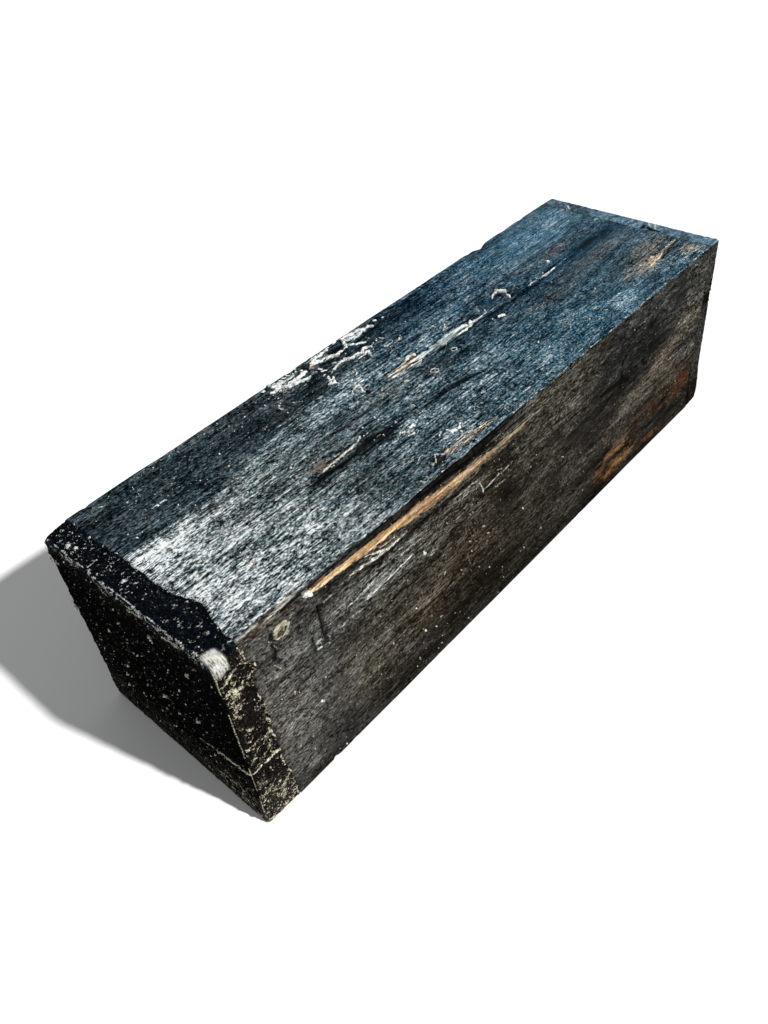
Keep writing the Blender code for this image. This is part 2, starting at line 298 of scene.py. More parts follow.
def fields(x, y, z, nx, nz):
    """All painted layers, and how far the surface stands out, at points of the wood."""
    x, y, z, nx, nz = np.broadcast_arrays(x, y, z, nx, nz)
    f = {}
    top = smooth(0.5, 0.85, nz)
    right = smooth(0.5, 0.85, nx)
    left = smooth(0.5, 0.85, -nx)
    bottom = smooth(0.5, 0.85, -nz)
    total = top + right + left + bottom + 1e-6
    arris = 1 - smooth(0.0, 0.9, total)
    u, vt, vr, vb = y, -x, z, x
    wu = u + 2.6 * (fbm(x / 5, y / 12, z / 5, 3, 5) - 0.5)
    wt = vt + 1.5 * (fbm(x / 5, y / 16, z / 5, 3, 6) - 0.5) + 0.5 * (fbm(x / 1.2, y / 2.4, z / 1.2, 2, 9) - 0.5)
    wr = vr + 1.5 * (fbm(x / 5, y / 16, z / 5, 3, 7) - 0.5) + 0.5 * (fbm(x / 1.2, y / 2.4, z / 1.2, 2, 10) - 0.5)
    wb = vb + 1.5 * (fbm(x / 5, y / 16, z / 5, 3, 8) - 0.5)

    def blend(a, b, c, d):
        ramp = (top * a + right * b + left * c + bottom * d) / total
        mean = (np.maximum(nz, 0) ** 2 * a + np.maximum(nx, 0) ** 2 * b
                + np.maximum(-nx, 0) ** 2 * c + np.maximum(-nz, 0) ** 2 * d)
        return ramp * (1 - arris) + mean * arris

    # ---- top: tone and hue
    u_, v = wu, wt
    t = 0.405 + 0 * u
    t = t + 0.27 * spot(u_, v, -116, 3, 14, 8) + 0.24 * spot(u_, v, -104, -20, 27, 17) + 0.07 * spot(u_, v, -118, -8, 12, 10)
    t = t + 0.12 * spot(u_, v, -96, 5, 15, 6) + 0.09 * spot(u_, v, -76, -28, 18, 8)
    t = t - 0.08 * spot(u_, v, -50, -20, 13, 22) - 0.05 * spot(u_, v, -54, 2, 16, 8)
    edge = np.where(u < -82, 9.6, 9.6 + (u + 82) * 0.24) + 1.1 * (fbm(u / 9, v / 1.2, 0 * u, 2, 11) - 0.5)
    dark_left = smooth(-0.7, 1.1, v - edge) * smooth(-30, -56, u)
    t = t - dark_left * (t - 0.215) * 0.95
    t = t + dark_left * (0.035 * spot(u, v, -100, 12, 18, 3) + 0.05 * spot(u, v, -88, 36, 30, 2.5))
    # dark band of the middle of the left edge, round the wax
    t = t - (1 - dark_left) * 0.15 * spot(u_, v, -30, 27, 26, 9) - 0.17 * spot(u_, v, 12, 32, 26, 9)
    t = t - 0.07 * spot(u_, v, -40, 21, 18, 4)
    # middle streaks
    t = t - 0.18 * stroke(u_, v, [(-66, -10.6), (-52, -11.4), (-38, -11.4), (-24, -12)], [0.8, 1.9, 2.0, 0.8])
    t = t - 0.12 * stroke(u_, v, [(-47, -14.3), (-35, -14)], [0.4, 0.6])
    t = t - 0.22 * stroke(u_, v, [(-16, -13.6), (-4, -13.2), (2, -15), (10, -17)], [0.5, 0.9, 1.1, 0.4])
    t = t - 0.07 * spot(u_, v, -59, -26, 1.4, 9) - 0.03 * spot(u_, v, -52, -24, 8, 8)
    t = t - 0.16 * stroke(u_, v, [(-102, -12), (-97, -12.4), (-92, -13)], [0.8, 1.2, 0.6]) - 0.12 * spot(u_, v, -96.4, -13, 2.4, 1.6)
    t = t - 0.22 * stroke(u_, v, [(-98, -3.2), (-90, -4.2), (-81, -5), (-70, -4.6)], [0.25, 0.55, 0.5, 0.2])
    t = t - 0.24 * spot(u_, v, -89, 6.2, 4.6, 1.1) - 0.16 * spot(u_, v, -82, 5.4, 3.0, 0.9)
    t = t - 0.36 * spot(u, v, -108, 2.3, 1.3, 0.6) - 0.2 * spot(u, v, -80, -34.6, 1.6, 0.8)
    t = t - 0.15 * stroke(u, v, [(-76, 2.8), (-62, 2.8)], [0.3, 0.4]) - 0.14 * stroke(u, v, [(-57, 1), (-30, 0.4)], [0.3, 0.6])
    t = t - 0.10 * stroke(u_, v, [(-44, 0.8), (-20, 0.2), (4, -1.2), (26, 0.8)], [0.6, 1.0, 1.3, 0.5])
    t = t - 0.10 * stroke(u_, v, [(-20, -3.6), (4, -4.6), (16, -3.4)], [0.6, 1.4, 0.6])
    t = t + 0.10 * spot(u_, v, -16, 12, 14, 3) + 0.05 * spot(u_, v, -34, 12, 10, 5)
    t = t - 0.15 * spot(u_, v, -38, -9, 6, 4.0) - 0.08 * spot(u_, v, -58, -11, 8, 2)
    # run of the check
    t = t - 0.10 * stroke(u_, v, [(2, 3.0), (16, 2.6), (34, 2.6), (56, 1.6), (86, 1.6), (104, 3)], [0.7, 1.0, 1.0, 0.8, 0.8, 1.0])
    t = t - 0.10 * stroke(u_, v, [(30, 7.6), (40, 7.2), (58, 6.8)], [1.5, 1.5, 1.0])
    t = t - 0.10 * stroke(u_, v, [(34, 13.9), (50, 14.2), (62, 13.8), (110, 13.4)], [0.4, 0.7, 0.6, 1.2])
    # far half
    far = smooth(10, 60, u)
    t = t - 0.03 * far + 0.06 * spot(u_, v, 62, 28, 14, 8) + 0.12 * spot(u_, v, 96, 25, 30, 8.5) + 0.04 * spot(u_, v, 112, 16, 12, 6)
    t = t - 0.10 * spot(u_, v, 96, 2.5, 13, 4.0) - 0.05 * spot(u_, v, 60, 10, 22, 3)
    t = t + 0.05 * spot(u_, v, 70, -30, 16, 5) + 0.10 * spot(u_, v, 73, -29, 5, 4) + 0.05 * spot(u_, v, 49, -13, 4, 7)
    t = t - 0.07 * spot(u_, v, 89, -18, 7, 4) - 0.08 * spot(u_, v, 66, -22, 5, 4) - 0.10 * spot(u_, v, 112, -27.4, 8, 1.6)
    t = t + 0.08 * spot(u_, v, 116, -33, 5, 3.6) + 0.03 * spot(u_, v, 94, -25, 9, 3)
    t = t - 0.05 * spot(u_, v, 84, -31.5, 8, 2) + 0.03 * spot(u_, v, 108, -34, 12, 2)
    gain = 1 + 0.16 * spot(u_, v, -112, 1, 14, 6) + 0.16 * spot(u_, v, -64, 1.5, 18, 5) + 0.16 * spot(u_, v, -54, 13, 14, 7)
    gain = gain + 0.25 * spot(u_, v, -27, 14, 13, 6) + 0.30 * spot(u_, v, -31, -16, 10, 6) - 0.12 * spot(u_, v, -7, -13, 8, 5)
    gain = gain + 0.09 * spot(u_, v, 20, -16, 20, 7) - 0.16 * spot(u_, v, 90, -14, 9, 5) + 0.12 * spot(u_, v, -88, -28, 14, 7)
    gain = gain + 0.19 * spot(u_, v, 54, -29, 28, 7) + 0.10 * spot(u_, v, 108, -30, 18, 8) - 0.10 * smooth(16, 24, v) * smooth(-90, -40, u) * smooth(30, 0, u)
    gain = gain - 0.17 * spot(u_, v, 52, 28, 10, 7) + 0.14 * spot(u_, v, 112, 26, 14, 9) + 0.14 * spot(u_, v, 92, 14, 10, 5) + 0.11 * spot(u_, v, -80, 14, 16, 6)
    gain = gain - 0.17 * stroke(u_, v, [(-4, 0), (20, 0), (44, 0), (64, 0)], [4, 7, 6, 4]) - 0.10 * spot(u_, v, 112, 1, 10, 4)
    gain = gain + 0.10 * spot(u_, v, 92, 26, 12, 9) + 0.09 * spot(u_, v, 92, 14, 12, 5) - 0.10 * spot(u_, v, 60, -9, 12, 3) - 0.08 * spot(u_, v, 10, 28, 9, 5) - 0.08 * smooth(12, -2, np.abs(v)) * smooth(-40, -20, u) * smooth(72, 60, u)
    gain = gain - 0.14 * spot(u_, v, -72, -28, 12, 6) - 0.08 * spot(u_, v, -30, 28, 12, 5) + 0.15 * spot(u_, v, -32, -14, 9, 5) - 0.05 * spot(u_, v, 112, 3, 12, 5)
    far_c = fbm(u / 12, v / 2.8, 0 * u + 1, 3, 113) - 0.5
    t = t * gain + 0.10 * smooth(-70, -20, u) * far_c + 0.07 * smooth(30, 80, u) * (fbm(u / 5, v / 2.0, 0 * u + 6, 2, 114) - 0.5)
    tone_top = t

    # silver near the camera end, bluer and bluer towards the far end: the blue is partly the wood's own hue and partly
    # a painted reflection of the sky on the top
    at = [-122, -70, -50, -10, 30, 70, 122]
    c = np.stack([np.interp(u, at, [0.91, 0.86, 0.795, 0.70, 0.59, 0.56, 0.60]),
                  np.interp(u, at, [0.982, 0.970, 0.945, 0.908, 0.868, 0.852, 0.862]), 1.0 + 0 * u], -1)
    c = over(c, CHAR, dark_left)
    c = over(c, [0.46, 0.80, 1.0], smooth(-30, 5, u) * (0.95 * spot(u_, v, 30, 30, 38, 10) + 0.95 * spot(u_, v, 72, 1.5, 46, 4.6)))
    c = over(c, [0.60, 0.84, 1.0], 0.6 * smooth(20, 60, u) * spot(u_, v, 70, 12, 40, 5))
    c = over(c, [0.93, 0.93, 0.95], 0.80 * spot(u_, v, 88, 10, 12, 2.4) + 0.75 * spot(u_, v, 92, -5, 24, 3.6) + 0.55 * spot(u_, v, 58, -9, 14, 3.0))
    c = over(c, [0.98, 0.985, 0.97], 0.95 * spot(u_, v, 108, -19, 15, 5.0) + 0.95 * spot(u_, v, 94, -25, 12, 5))
    c = over(c, [1.0, 0.965, 0.90], 0.9 * spot(u_, v, 100, -24.5, 7, 1.8) + 0.95 * spot(u_, v, 115.5, -32, 5.5, 3.4))
    c = over(c, NEUTRAL, 0.8 * spot(u_, v, -59, -6, 6, 2.6) + 0.4 * spot(u_, v, -88, 5, 8, 2) + 0.30 * spot(u_, v, -22, 2, 20, 4))
    tint_top = c
    crisp_top = 0.46 + 0.04 * spot(u, v, -100, -6, 30, 16) + 0.07 * dark_left
    crisp_top = crisp_top * (1 - 0.12 * smooth(0, 40, u) - 0.12 * smooth(45, 90, u) - smooth(45, 80, u) * (0.30 * smooth(8, 16, v) + 0.34 * spot(u, v, 104, 0, 40, 9)))

    # ---- right: tone and hue
    u_, v = wu, wr
    t = 0.255 + 0 * u
    t = t + 0.11 * spot(u_, v, -112, 42, 22, 34) + 0.05 * spot(u_, v, -86, 28, 26, 20)
    t = t + 0.12 * spot(u_, v, -78, 57, 24, 6) + 0.05 * spot(u_, v, -45, 56, 24, 6) + 0.05 * spot(u_, v, -68, 22, 16, 5)
    t = t - 0.08 * spot(u_, v, -62, 6, 24, 7) - 0.10 * spot(u_, v, -18, 14, 20, 9) - 0.07 * spot(u_, v, -45, 13, 18, 3.6)
    t = t - 0.12 * spot(u_, v, -10, 43, 6, 5) - 0.04 * spot(u_, v, -6, 34, 12, 12)
    t = t + 0.05 * spot(u_, v, 18, 58, 22, 7)
    t = t - 0.07 * spot(u_, v, 70, 58, 22, 12) - 0.06 * spot(u_, v, 55, 40, 18, 6) - 0.06 * spot(u_, v, 82, 49, 12, 5)
    t = t + 0.13 * stroke(u_, v, [(52, 28), (84, 36), (112, 50), (124, 62)], [5, 8, 9, 8]) + 0.07 * spot(u_, v, 62, 10, 12, 6) + 0.04 * spot(u_, v, 108, 44, 16, 12)
    t = t - 0.10 * stroke(u_, v, [(78, 13.6), (96, 12.0), (115, 6)], [2.0, 3.0, 2.2])
    t = t - 0.06 * spot(u_, v, 52, 19.4, 5, 1.6) - 0.08 * spot(u_, v, 52, 0.5, 50, 2.0)
    t = t - 0.10 * spot(u_, v, 125, 8, 3.4, 10)
    t = t - 0.13 * stroke(u_, v, [(-74, 63.6), (-48, 62.8), (-25, 62.6), (-8, 63.4)], [0.5, 1.3, 1.4, 0.4])
    t = t - 0.12 * stroke(u_, v, [(-91, 69), (-74, 68.2), (-66, 66)], [0.6, 0.8, 0.4])
    t = t - 0.13 * stroke(u_, v, [(-52, 73.2), (-38, 71.6), (-20, 70.4), (-6, 69.8), (8, 70)], [0.5, 1.5, 1.1, 0.5, 0.3])
    t = t - 0.08 * stroke(u_, v, [(8, 50), (22, 49)], [0.7, 1.2]) - 0.12 * spot(u_, v, -19, 53.8, 4, 0.9)
    t = t - 0.07 * stroke(u_, v, [(-101, 26.2), (-75, 26), (-60, 25.4)], [0.3, 0.5, 0.3])
    t = t - 0.12 * spot(u_, v, -50, 27.1, 6, 0.6) + 0.06 * spot(u_, v, -50, 29.2, 6, 0.8)
    # the frame of the mark
    t = t - 0.10 * stroke(u, v, [(-92.3, 65.6), (-92.2, 51.4)], [0.7, 0.6]) * 1.2
    t = t + 0.06 * stroke(u_, v, [(-91, 65.4), (-87, 65.2)], [0.4, 0.3]) + 0.05 * spot(u_, v, -94, 60, 1.6, 5)
    # long pale fibres
    for y0, z0, y1, z1, w, a in ((-95, 58.6, -71, 57.6, 0.5, 0.20), (-86, 56.6, -72, 56.4, 0.7, 0.20), (-80, 53.0, -56, 54.2, 0.42, 0.30),
                                 (-62, 58.2, -51, 57.4, 0.4, 0.16), (-88, 51.2, -76, 50.4, 0.7, 0.16), (-84, 66.0, -58, 64.4, 0.5, 0.26),
                                 (-76, 67.6, -62, 64.0, 0.5, 0.22), (-72, 51.6, -64, 51.2, 0.4, 0.12), (-52, 50.6, -46, 50.4, 0.5, 0.14),
                                 (-38, 61.4, -24, 61.0, 0.6, 0.14), (-18, 55.2, -8, 55.6, 0.35, 0.18), (-49, 47.8, -45, 47.6, 0.3, 0.2),
                                 (-16, 51.6, -10, 51.3, 0.4, 0.14), (-34, 66.2, -6, 64.4, 0.5, 0.10), (-70, 46, -60, 45.8, 0.3, 0.08),
                                 (-62, 60.8, -52, 60.2, 0.3, 0.10), (-16, 70.8, 0, 71.0, 0.35, 0.16), (-14, 68.6, 14, 67.8, 0.4, 0.12)):
        t = t + a * stroke(u_, v, [(y0, z0), (y1, z1)], [w, w])
    for y0, z0, y1, z1, w, a in ((-94, 64.2, -60, 63.4, 0.4, 0.12), (-90, 58.0, -70, 57.9, 0.35, 0.12), (-70, 56.8, -52, 56.4, 0.3, 0.10),
                                 (-92, 53.8, -84, 53.6, 0.35, 0.12), (-100, 47.2, -84, 47.8, 0.45, 0.08), (-78, 49.0, -60, 48.4, 0.3, 0.06),
                                 (-45, 60.6, -34, 60.0, 0.3, 0.08), (-56, 44.2, -30, 43.6, 0.4, 0.06), (-98, 57.6, -95, 57.6, 0.4, 0.12)):
        t = t - a * stroke(u_, v, [(y0, z0), (y1, z1)], [w, w])
    # light falls squarer on this side, so the same look needs darker wood
    gain = np.interp(u, [-110, -90, -70, -50, -30, -10, 10, 30, 50, 70, 90, 110], [0.93, 0.90, 0.93, 0.87, 0.85, 0.76, 0.79, 0.76, 0.68, 0.72, 0.73, 0.81])
    gain = gain + 0.14 * spot(u_, v, -110, 42, 12, 12) + 0.11 * spot(u_, v, -70, 42, 12, 7) - 0.10 * spot(u_, v, -4, 43, 16, 6) - 0.15 * spot(u_, v, 38, 42, 18, 6)
    gain = gain + 0.18 * spot(u_, v, 28, 62, 13, 12) - 0.10 * spot(u_, v, 76, 57, 16, 8) + 0.15 * spot(u_, v, 92, 40, 12, 6) - 0.13 * spot(u_, v, -18, 14, 18, 7)
    gain = gain + 0.12 * spot(u_, v, 68, 15, 9, 5) - 0.20 * smooth(10, 3, v) + 0.10 * spot(u_, v, 108, 30, 12, 5) + 0.08 * spot(u_, v, -20, 56, 20, 6)
    gain = gain - 0.12 * spot(u_, v, -64, 5, 11, 4) - 0.20 * spot(u_, v, -32, 4, 8, 4) - 0.14 * spot(u_, v, 46, 5, 14, 4) - 0.14 * spot(u_, v, 90, 4, 9, 4)
    gain = gain + 0.12 * spot(u_, v, -110, 4, 9, 5) - 0.12 * spot(u_, v, 30, 42, 9, 6) - 0.06 * spot(u_, v, 70, 42, 9, 6) + 0.14 * spot(u_, v, 18, 55, 24, 5)
    gain = gain + 0.10 * spot(u_, v, -70, 16, 9, 5) - 0.10 * spot(u_, v, 32, 17, 8, 5) + 0.10 * spot(u_, v, -24, 29, 18, 5) + 0.12 * spot(u_, v, 98, 30, 16, 6)
    gain = gain * (1 - 0.60 * smooth(69.6, 71.6, v) * smooth(-88, -70, u) * smooth(6, -24, u))
    gain = gain * (0.835 + 0.145 * smooth(60, 68, v))
    coarse = fbm(u / 9, v / 2.6, 0 * u + 4, 3, 111) - 0.5
    clump = fbm(u / 3.4, v / 1.5, 0 * u + 9, 2, 112) - 0.5
    t = t + 0.16 * coarse + smooth(20, 60, u) * (0.12 * coarse + 0.16 * clump)
    tone_right = np.maximum(t, 0.03) * gain

    c = np.broadcast_to(UMBER, u.shape + (3,)).copy()
    c = over(c, [0.995, 0.985, 0.95], 0.8 * smooth(-72, -96, u))
    c = over(c, [0.98, 0.99, 0.97], 0.75 * spot(u_, v, -74, 57, 30, 9))
    c = over(c, [0.985, 1.0, 0.975], 0.75 * smooth(36, 58, u) * smooth(46, 56, v))
    c = over(c, [1.0, 0.87, 0.66], 0.55 * spot(u_, v, -46, 28, 20, 10) + 0.7 * spot(u_, v, -22, 44, 22, 16))
    c = over(c, BROWN, 0.40 * spot(u_, v, -24, 24, 24, 18) + 0.2 * spot(u_, v, -50, 26, 20, 8) + 0.5 * spot(u_, v, -12, 14, 16, 9) + 0.2 * spot(u_, v, -30, 40, 6, 6))
    c = over(c, [1.0, 0.78, 0.56], 0.95 * spot(u_, v, 62, 9, 18, 8.5) + 1.0 * spot(u_, v, 112, 18, 12, 9) + 0.9 * spot(u_, v, 90, 20, 26, 7) + 0.6 * spot(u_, v, 95, 4, 16, 4))
    c = over(c, [1.0, 0.91, 0.79], 0.75 * stroke(u_, v, [(55, 30), (84, 37), (110, 50)], [7, 9, 9]))
    c = over(c, [0.90, 0.98, 0.95], 0.7 * spot(u_, v, 113, 38, 9, 5) + 0.7 * stroke(u_, v, [(80, 13), (115, 8)], [2, 3]) + 0.3 * spot(u_, v, 70, 58, 26, 10))
    tint_right = c
    crisp_right = 0.50 - 0.10 * smooth(-60, -92, u) + 0.10 * spot(u, v, -58, 58, 40, 9) - 0.06 * smooth(50, 90, u) * spot(u, v, 90, 34, 40, 12)

    # ---- left and bottom: the same wood, weathered less
    t = 0.27 + 0.16 * (fbm(wu / 60, wr / 11, 0 * u + 3, 3, 61) - 0.5)
    t = t + 0.12 * spot(wu, wr, -70, 40, 36, 8) + 0.10 * spot(wu, wr, 70, 24, 40, 7)
    t = t - 0.09 * spot(wu, wr, 5, 52, 50, 7) - 0.07 * spot(wu, wr, -30, 12, 30, 6)
    t = t - 0.10 * stroke(wu, wr, [(-90, 46), (-30, 45), (30, 47)], [0.6, 1.2, 0.4]) + 0.10 * stroke(wu, wr, [(-50, 34), (20, 35)], [0.8, 0.8])
    tone_left = t
    tint_left = over(np.broadcast_to(SLATE, u.shape + (3,)).copy(), UMBER, smooth(0.42, 0.68, fbm(u / 50, vr / 13, 0 * u + 2, 3, 63)))
    t = 0.25 + 0.16 * (fbm(wu / 70, wb / 10, 0 * u + 5, 3, 62) - 0.5)
    t = t + 0.09 * spot(wu, wb, 30, -8, 50, 8) - 0.06 * spot(wu, wb, -60, 14, 30, 7)
    tone_bottom = t
    tint_bottom = over(np.broadcast_to(UMBER, u.shape + (3,)).copy(), BROWN, 0.8 * smooth(0.5, 0.75, fbm(u / 46, x / 10, 0 * u + 7, 3, 64)))

    f["tone"] = np.clip(blend(tone_top, tone_right, tone_left, tone_bottom), 0.02, 0.95)
    f["tint"] = np.stack([blend(tint_top[..., i], tint_right[..., i], tint_left[..., i], tint_bottom[..., i]) for i in range(3)], -1) ** 2.2
    f["crisp"] = blend(crisp_top, crisp_right, 0.42 + 0 * u, 0.38 + 0 * u)
    f["fibre"] = blend(1.0 - 0.15 * dark_left - 0.40 * smooth(8, 36, u) * smooth(2, -10, vt) * smooth(96, 76, u), 0.55 + 0.35 * smooth(-84, -66, u) - 0.2 * smooth(30, 60, u), 0.8 + 0 * u, 0.8 + 0 * u)

    # ---- ink: tan sapwood and other colours, laid over with ragged edges
    ink = np.zeros(u.shape + (3,)) + linear((112, 100, 90))
    ink_a = 0 * u
    TAN, CREAM, ORANGE, RUST, DUN = (196, 152, 108), (226, 204, 170), (222, 154, 92), (120, 66, 40), (126, 108, 90)

    def lay(where, mask, colour, amount=1.0):
        nonlocal ink, ink_a
        a = np.clip(where * mask * amount, 0, 1)
        share = np.where(a + ink_a > 1e-4, a / np.maximum(a + ink_a * (1 - a), 1e-4), 0)
        ink = ink + (linear(colour) * (0.70 if where is right else 0.90) - ink) * share[..., None]
        ink_a = np.maximum(ink_a, a)

    # right face: the orange streak of sapwood under the top edge, paler at its ends
    lay(right, stroke(u, wr, [(-22, 66.9), (-8, 66.9), (2, 67.0), (10, 67.2)], [1.1, 0.8, 0.5, 0.2]), (150, 134, 110), 0.86)
    lay(right, stroke(u, wr, [(-42, 67.9), (-30, 67.2), (-16, 66.8)], [1.6, 1.5, 0.9]), (166, 144, 116), 1.0)
    lay(right, stroke(u, wr, [(-68, 70.2), (-54, 68.9), (-42, 68.0), (-34, 67.5)], [1.3, 1.9, 1.8, 1.1]), (196, 158, 120), 1.10)
    lay(right, stroke(u, wr, [(-88, 71.9), (-74, 70.8), (-62, 69.7)], [1.0, 1.6, 1.5]), (222, 184, 138), 1.15)
    lay(right, stroke(u, wr, [(-96, 72.5), (-90, 72.1), (-80, 71.2)], [0.55, 0.8, 0.6]), (244, 216, 166), 1.0)
    lay(right, stroke(u, wr, [(-82, 71.8), (-70, 70.9), (-58, 69.9)], [0.3, 0.4, 0.3]), (216, 158, 102), 0.7)
    lay(right, stroke(u, wr, [(-66, 69.9), (-48, 68.6), (-34, 67.6), (-20, 67.0)], [0.2, 0.35, 0.35, 0.3]), (236, 204, 162), 0.9)
    lay(right, stroke(u, wr, [(-70, 71.6), (-52, 70.3), (-36, 69.0), (-20, 67.9)], [0.25, 0.35, 0.3, 0.2]), (120, 84, 54), 0.62)
    lay(right, stroke(u, wr, [(-58, 68.5), (-46, 67.5), (-36, 66.7)], [0.25, 0.4, 0.3]), (118, 88, 58), 0.72)
    lay(right, stroke(u, wr, [(-50, 66.4), (-36, 65.6), (-22, 65.5), (-4, 65.6)], [0.4, 0.7, 0.6, 0.3]), (112, 92, 70), 0.75)
    lay(right, stroke(u, wr, [(-30, 69.0), (-10, 68.6), (8, 68.8), (20, 69.2)], [0.2, 0.3, 0.3, 0.15]), (130, 116, 96), 0.62)
    lay(right, stroke(u, wr, [(-24, 70.8), (-6, 70.6), (14, 71.2)], [0.15, 0.25, 0.15]), (120, 108, 90), 0.62)
    lay(right, spot(u, wr, -89.6, 73.2, 1.6, 0.5), RUST, 0.8)
    # right face, far: the eye round the knot
    eye = 0.55 + 0.45 * np.cos(np.hypot((u - 60) / 2.6, vr - 11) * 1.15)
    lay(right, spot(wu, wr, 62, 8.0, 13, 4.4) * (0.6 + 0.4 * eye), (126, 90, 52), 0.74)
    lay(right, spot(wu, wr, 60, 16.0, 12, 2.6), (124, 92, 58), 0.62)
    lay(right, spot(wu, wr, 50, 11.6, 6.0, 4.0), (98, 62, 34), 0.62)
    lay(right, spot(wu, wr, 60, 6.0, 6, 1.8), (132, 92, 42), 0.66)
    lay(right, spot(wu, wr, 73, 7.8, 5.0, 2.0), (128, 100, 66), 0.60)
    lay(right, stroke(wu, wr, [(54, 30), (70, 33), (86, 38), (100, 45)], [2.4, 3.6, 3.8, 2.4]), (98, 88, 74), 0.40)
    lay(right, spot(wu, wr, 112, 18, 11, 7.0), (72, 48, 31), 0.52)
    lay(right, spot(wu, wr, 113, 20, 5, 3.4), (84, 50, 30), 0.54)
    lay(right, spot(wu, wr, 104, 14, 6, 2.4), (82, 60, 36), 0.50)
    lay(right, spot(wu, wr, 76.5, 20.6, 1.4, 1.8), (104, 68, 34), 0.62)
    lay(right, spot(wu, wr, 88, 19.4, 2.6, 1.7), (78, 42, 22), 0.62)
    lay(right, spot(wu, wr, 90, 5.0, 12, 2.2), (88, 62, 40), 0.60)
    lay(right, spot(wu, wr, 104, 42.4, 1.8, 0.8), (92, 76, 44), 0.5)
    # top face: the eye, the slivers and the far right patches
    lay(top, spot(wu, wt, -58.5, -6.2, 4.0, 1.4), (112, 100, 88), 0.72)
    lay(top, stroke(wu, wt, [(-34, -33), (-28, -33.2), (-22, -33.4), (-15, -34.1), (-10.5, -35.0)], [0.4, 0.5, 0.5, 0.4, 0.2]), (140, 128, 110), 0.52)
    lay(top, spot(u, wt, -31.4, -32.7, 1.0, 0.5), (160, 112, 78), 0.8)
    lay(top, stroke(wu, wt, [(-34, -33.9), (-26, -34.5), (-18, -34.8)], [0.25, 0.3, 0.2]), (120, 92, 70), 0.8)
    lay(top, spot(wu, wt, 95, -25.0, 9, 2.4), (136, 128, 110), 0.46)
    lay(top, spot(wu, wt, 100.5, -24.2, 4, 1.4), (176, 166, 146), 0.60)
    lay(top, spot(wu, wt, 107, -20.0, 9, 3.0), (118, 112, 100), 0.42)
    lay(top, spot(wu, wt, 86, -23.6, 5, 1.2), (150, 146, 134), 0.56)
    lay(top, stroke(u, wt, [(97, -26.2), (103, -25.2), (110, -24.3), (119, -24.0)], [1.0, 0.8, 0.4, 0.35]), (176, 170, 150), 0.70)
    ringed = 0.75 + 0.25 * np.cos(np.hypot((u - 115.5) / 1.3, vt + 32) * 1.9)
    lay(top, spot(wu, wt, 115.5, -32, 6.0, 3.8) * ringed, (142, 134, 120), 0.62)
    lay(top, spot(wu, wt, 115.5, -32, 1.6, 1.0), (196, 172, 142), 0.66)
    mott = smooth(0.46, 0.60, fbm(u / 2.2, vt / 0.7, 0 * u, 3, 66))
    lay(top, stroke(wu, wt, [(-118, -36.4), (-108, -36.4), (-98, -36.8), (-91, -37.4)], [0.9, 0.9, 0.8, 0.4]) * mott, (196, 190, 176), 0.78)
    lay(top, spot(wu, wt, -107, -36.9, 14, 1.3) * (1 - mott), (34, 30, 26), 0.85)
    lay(top, stroke(wu, wt, [(-118, -35.2), (-108, -35.4), (-98, -36.0), (-92, -36.8)], [1.1, 1.3, 1.0, 0.4]) * (1 - 0.8 * mott) * smooth(0.40, 0.54, fbm(u / 2.6, vt / 1.2, 0 * u, 3, 67)), (70, 58, 50), 0.80)
    lay(right, stroke(wu, wr, [(-117, 73.0), (-108, 73.3), (-99, 73.6), (-92, 74.0)], [1.5, 1.6, 1.2, 0.5]) * smooth(0.38, 0.54, fbm(u / 2.4, wr / 1.0, 0 * u, 3, 68)), (48, 37, 28), 0.80)
    lay(right, stroke(wu, wr, [(-116, 74.1), (-110, 74.0), (-104, 74.2), (-99, 74.2)], [0.7, 0.9, 0.8, 0.4]) * smooth(0.50, 0.60, fbm(u / 1.9, wr / 0.8, 0 * u, 3, 69)), (180, 170, 150), 0.75)
    # left and bottom: a few of the same
    lay(left, stroke(u, wr, [(30, 20), (55, 18), (88, 19.5)], [0.6, 2.0, 0.5]), TAN, 1.0)
    lay(left, stroke(u, wr, [(40, 19.4), (70, 18.4)], [0.4, 0.5]), CREAM, 0.8)
    lay(left, spot(wu, wr, -84, 52, 10, 2.0), DUN, 0.7)
    lay(left, spot(wu, wr, 100, 40, 12, 4.0), (110, 80, 56), 0.62)
    lay(bottom, stroke(u, wb, [(-70, 22), (-30, 24), (20, 22.5)], [0.5, 2.2, 0.5]), TAN, 1.0)
    lay(bottom, spot(wu, wb, 80, -14, 16, 3), (118, 86, 58), 0.66)
    f["ink"], f["ink_a"] = ink, ink_a

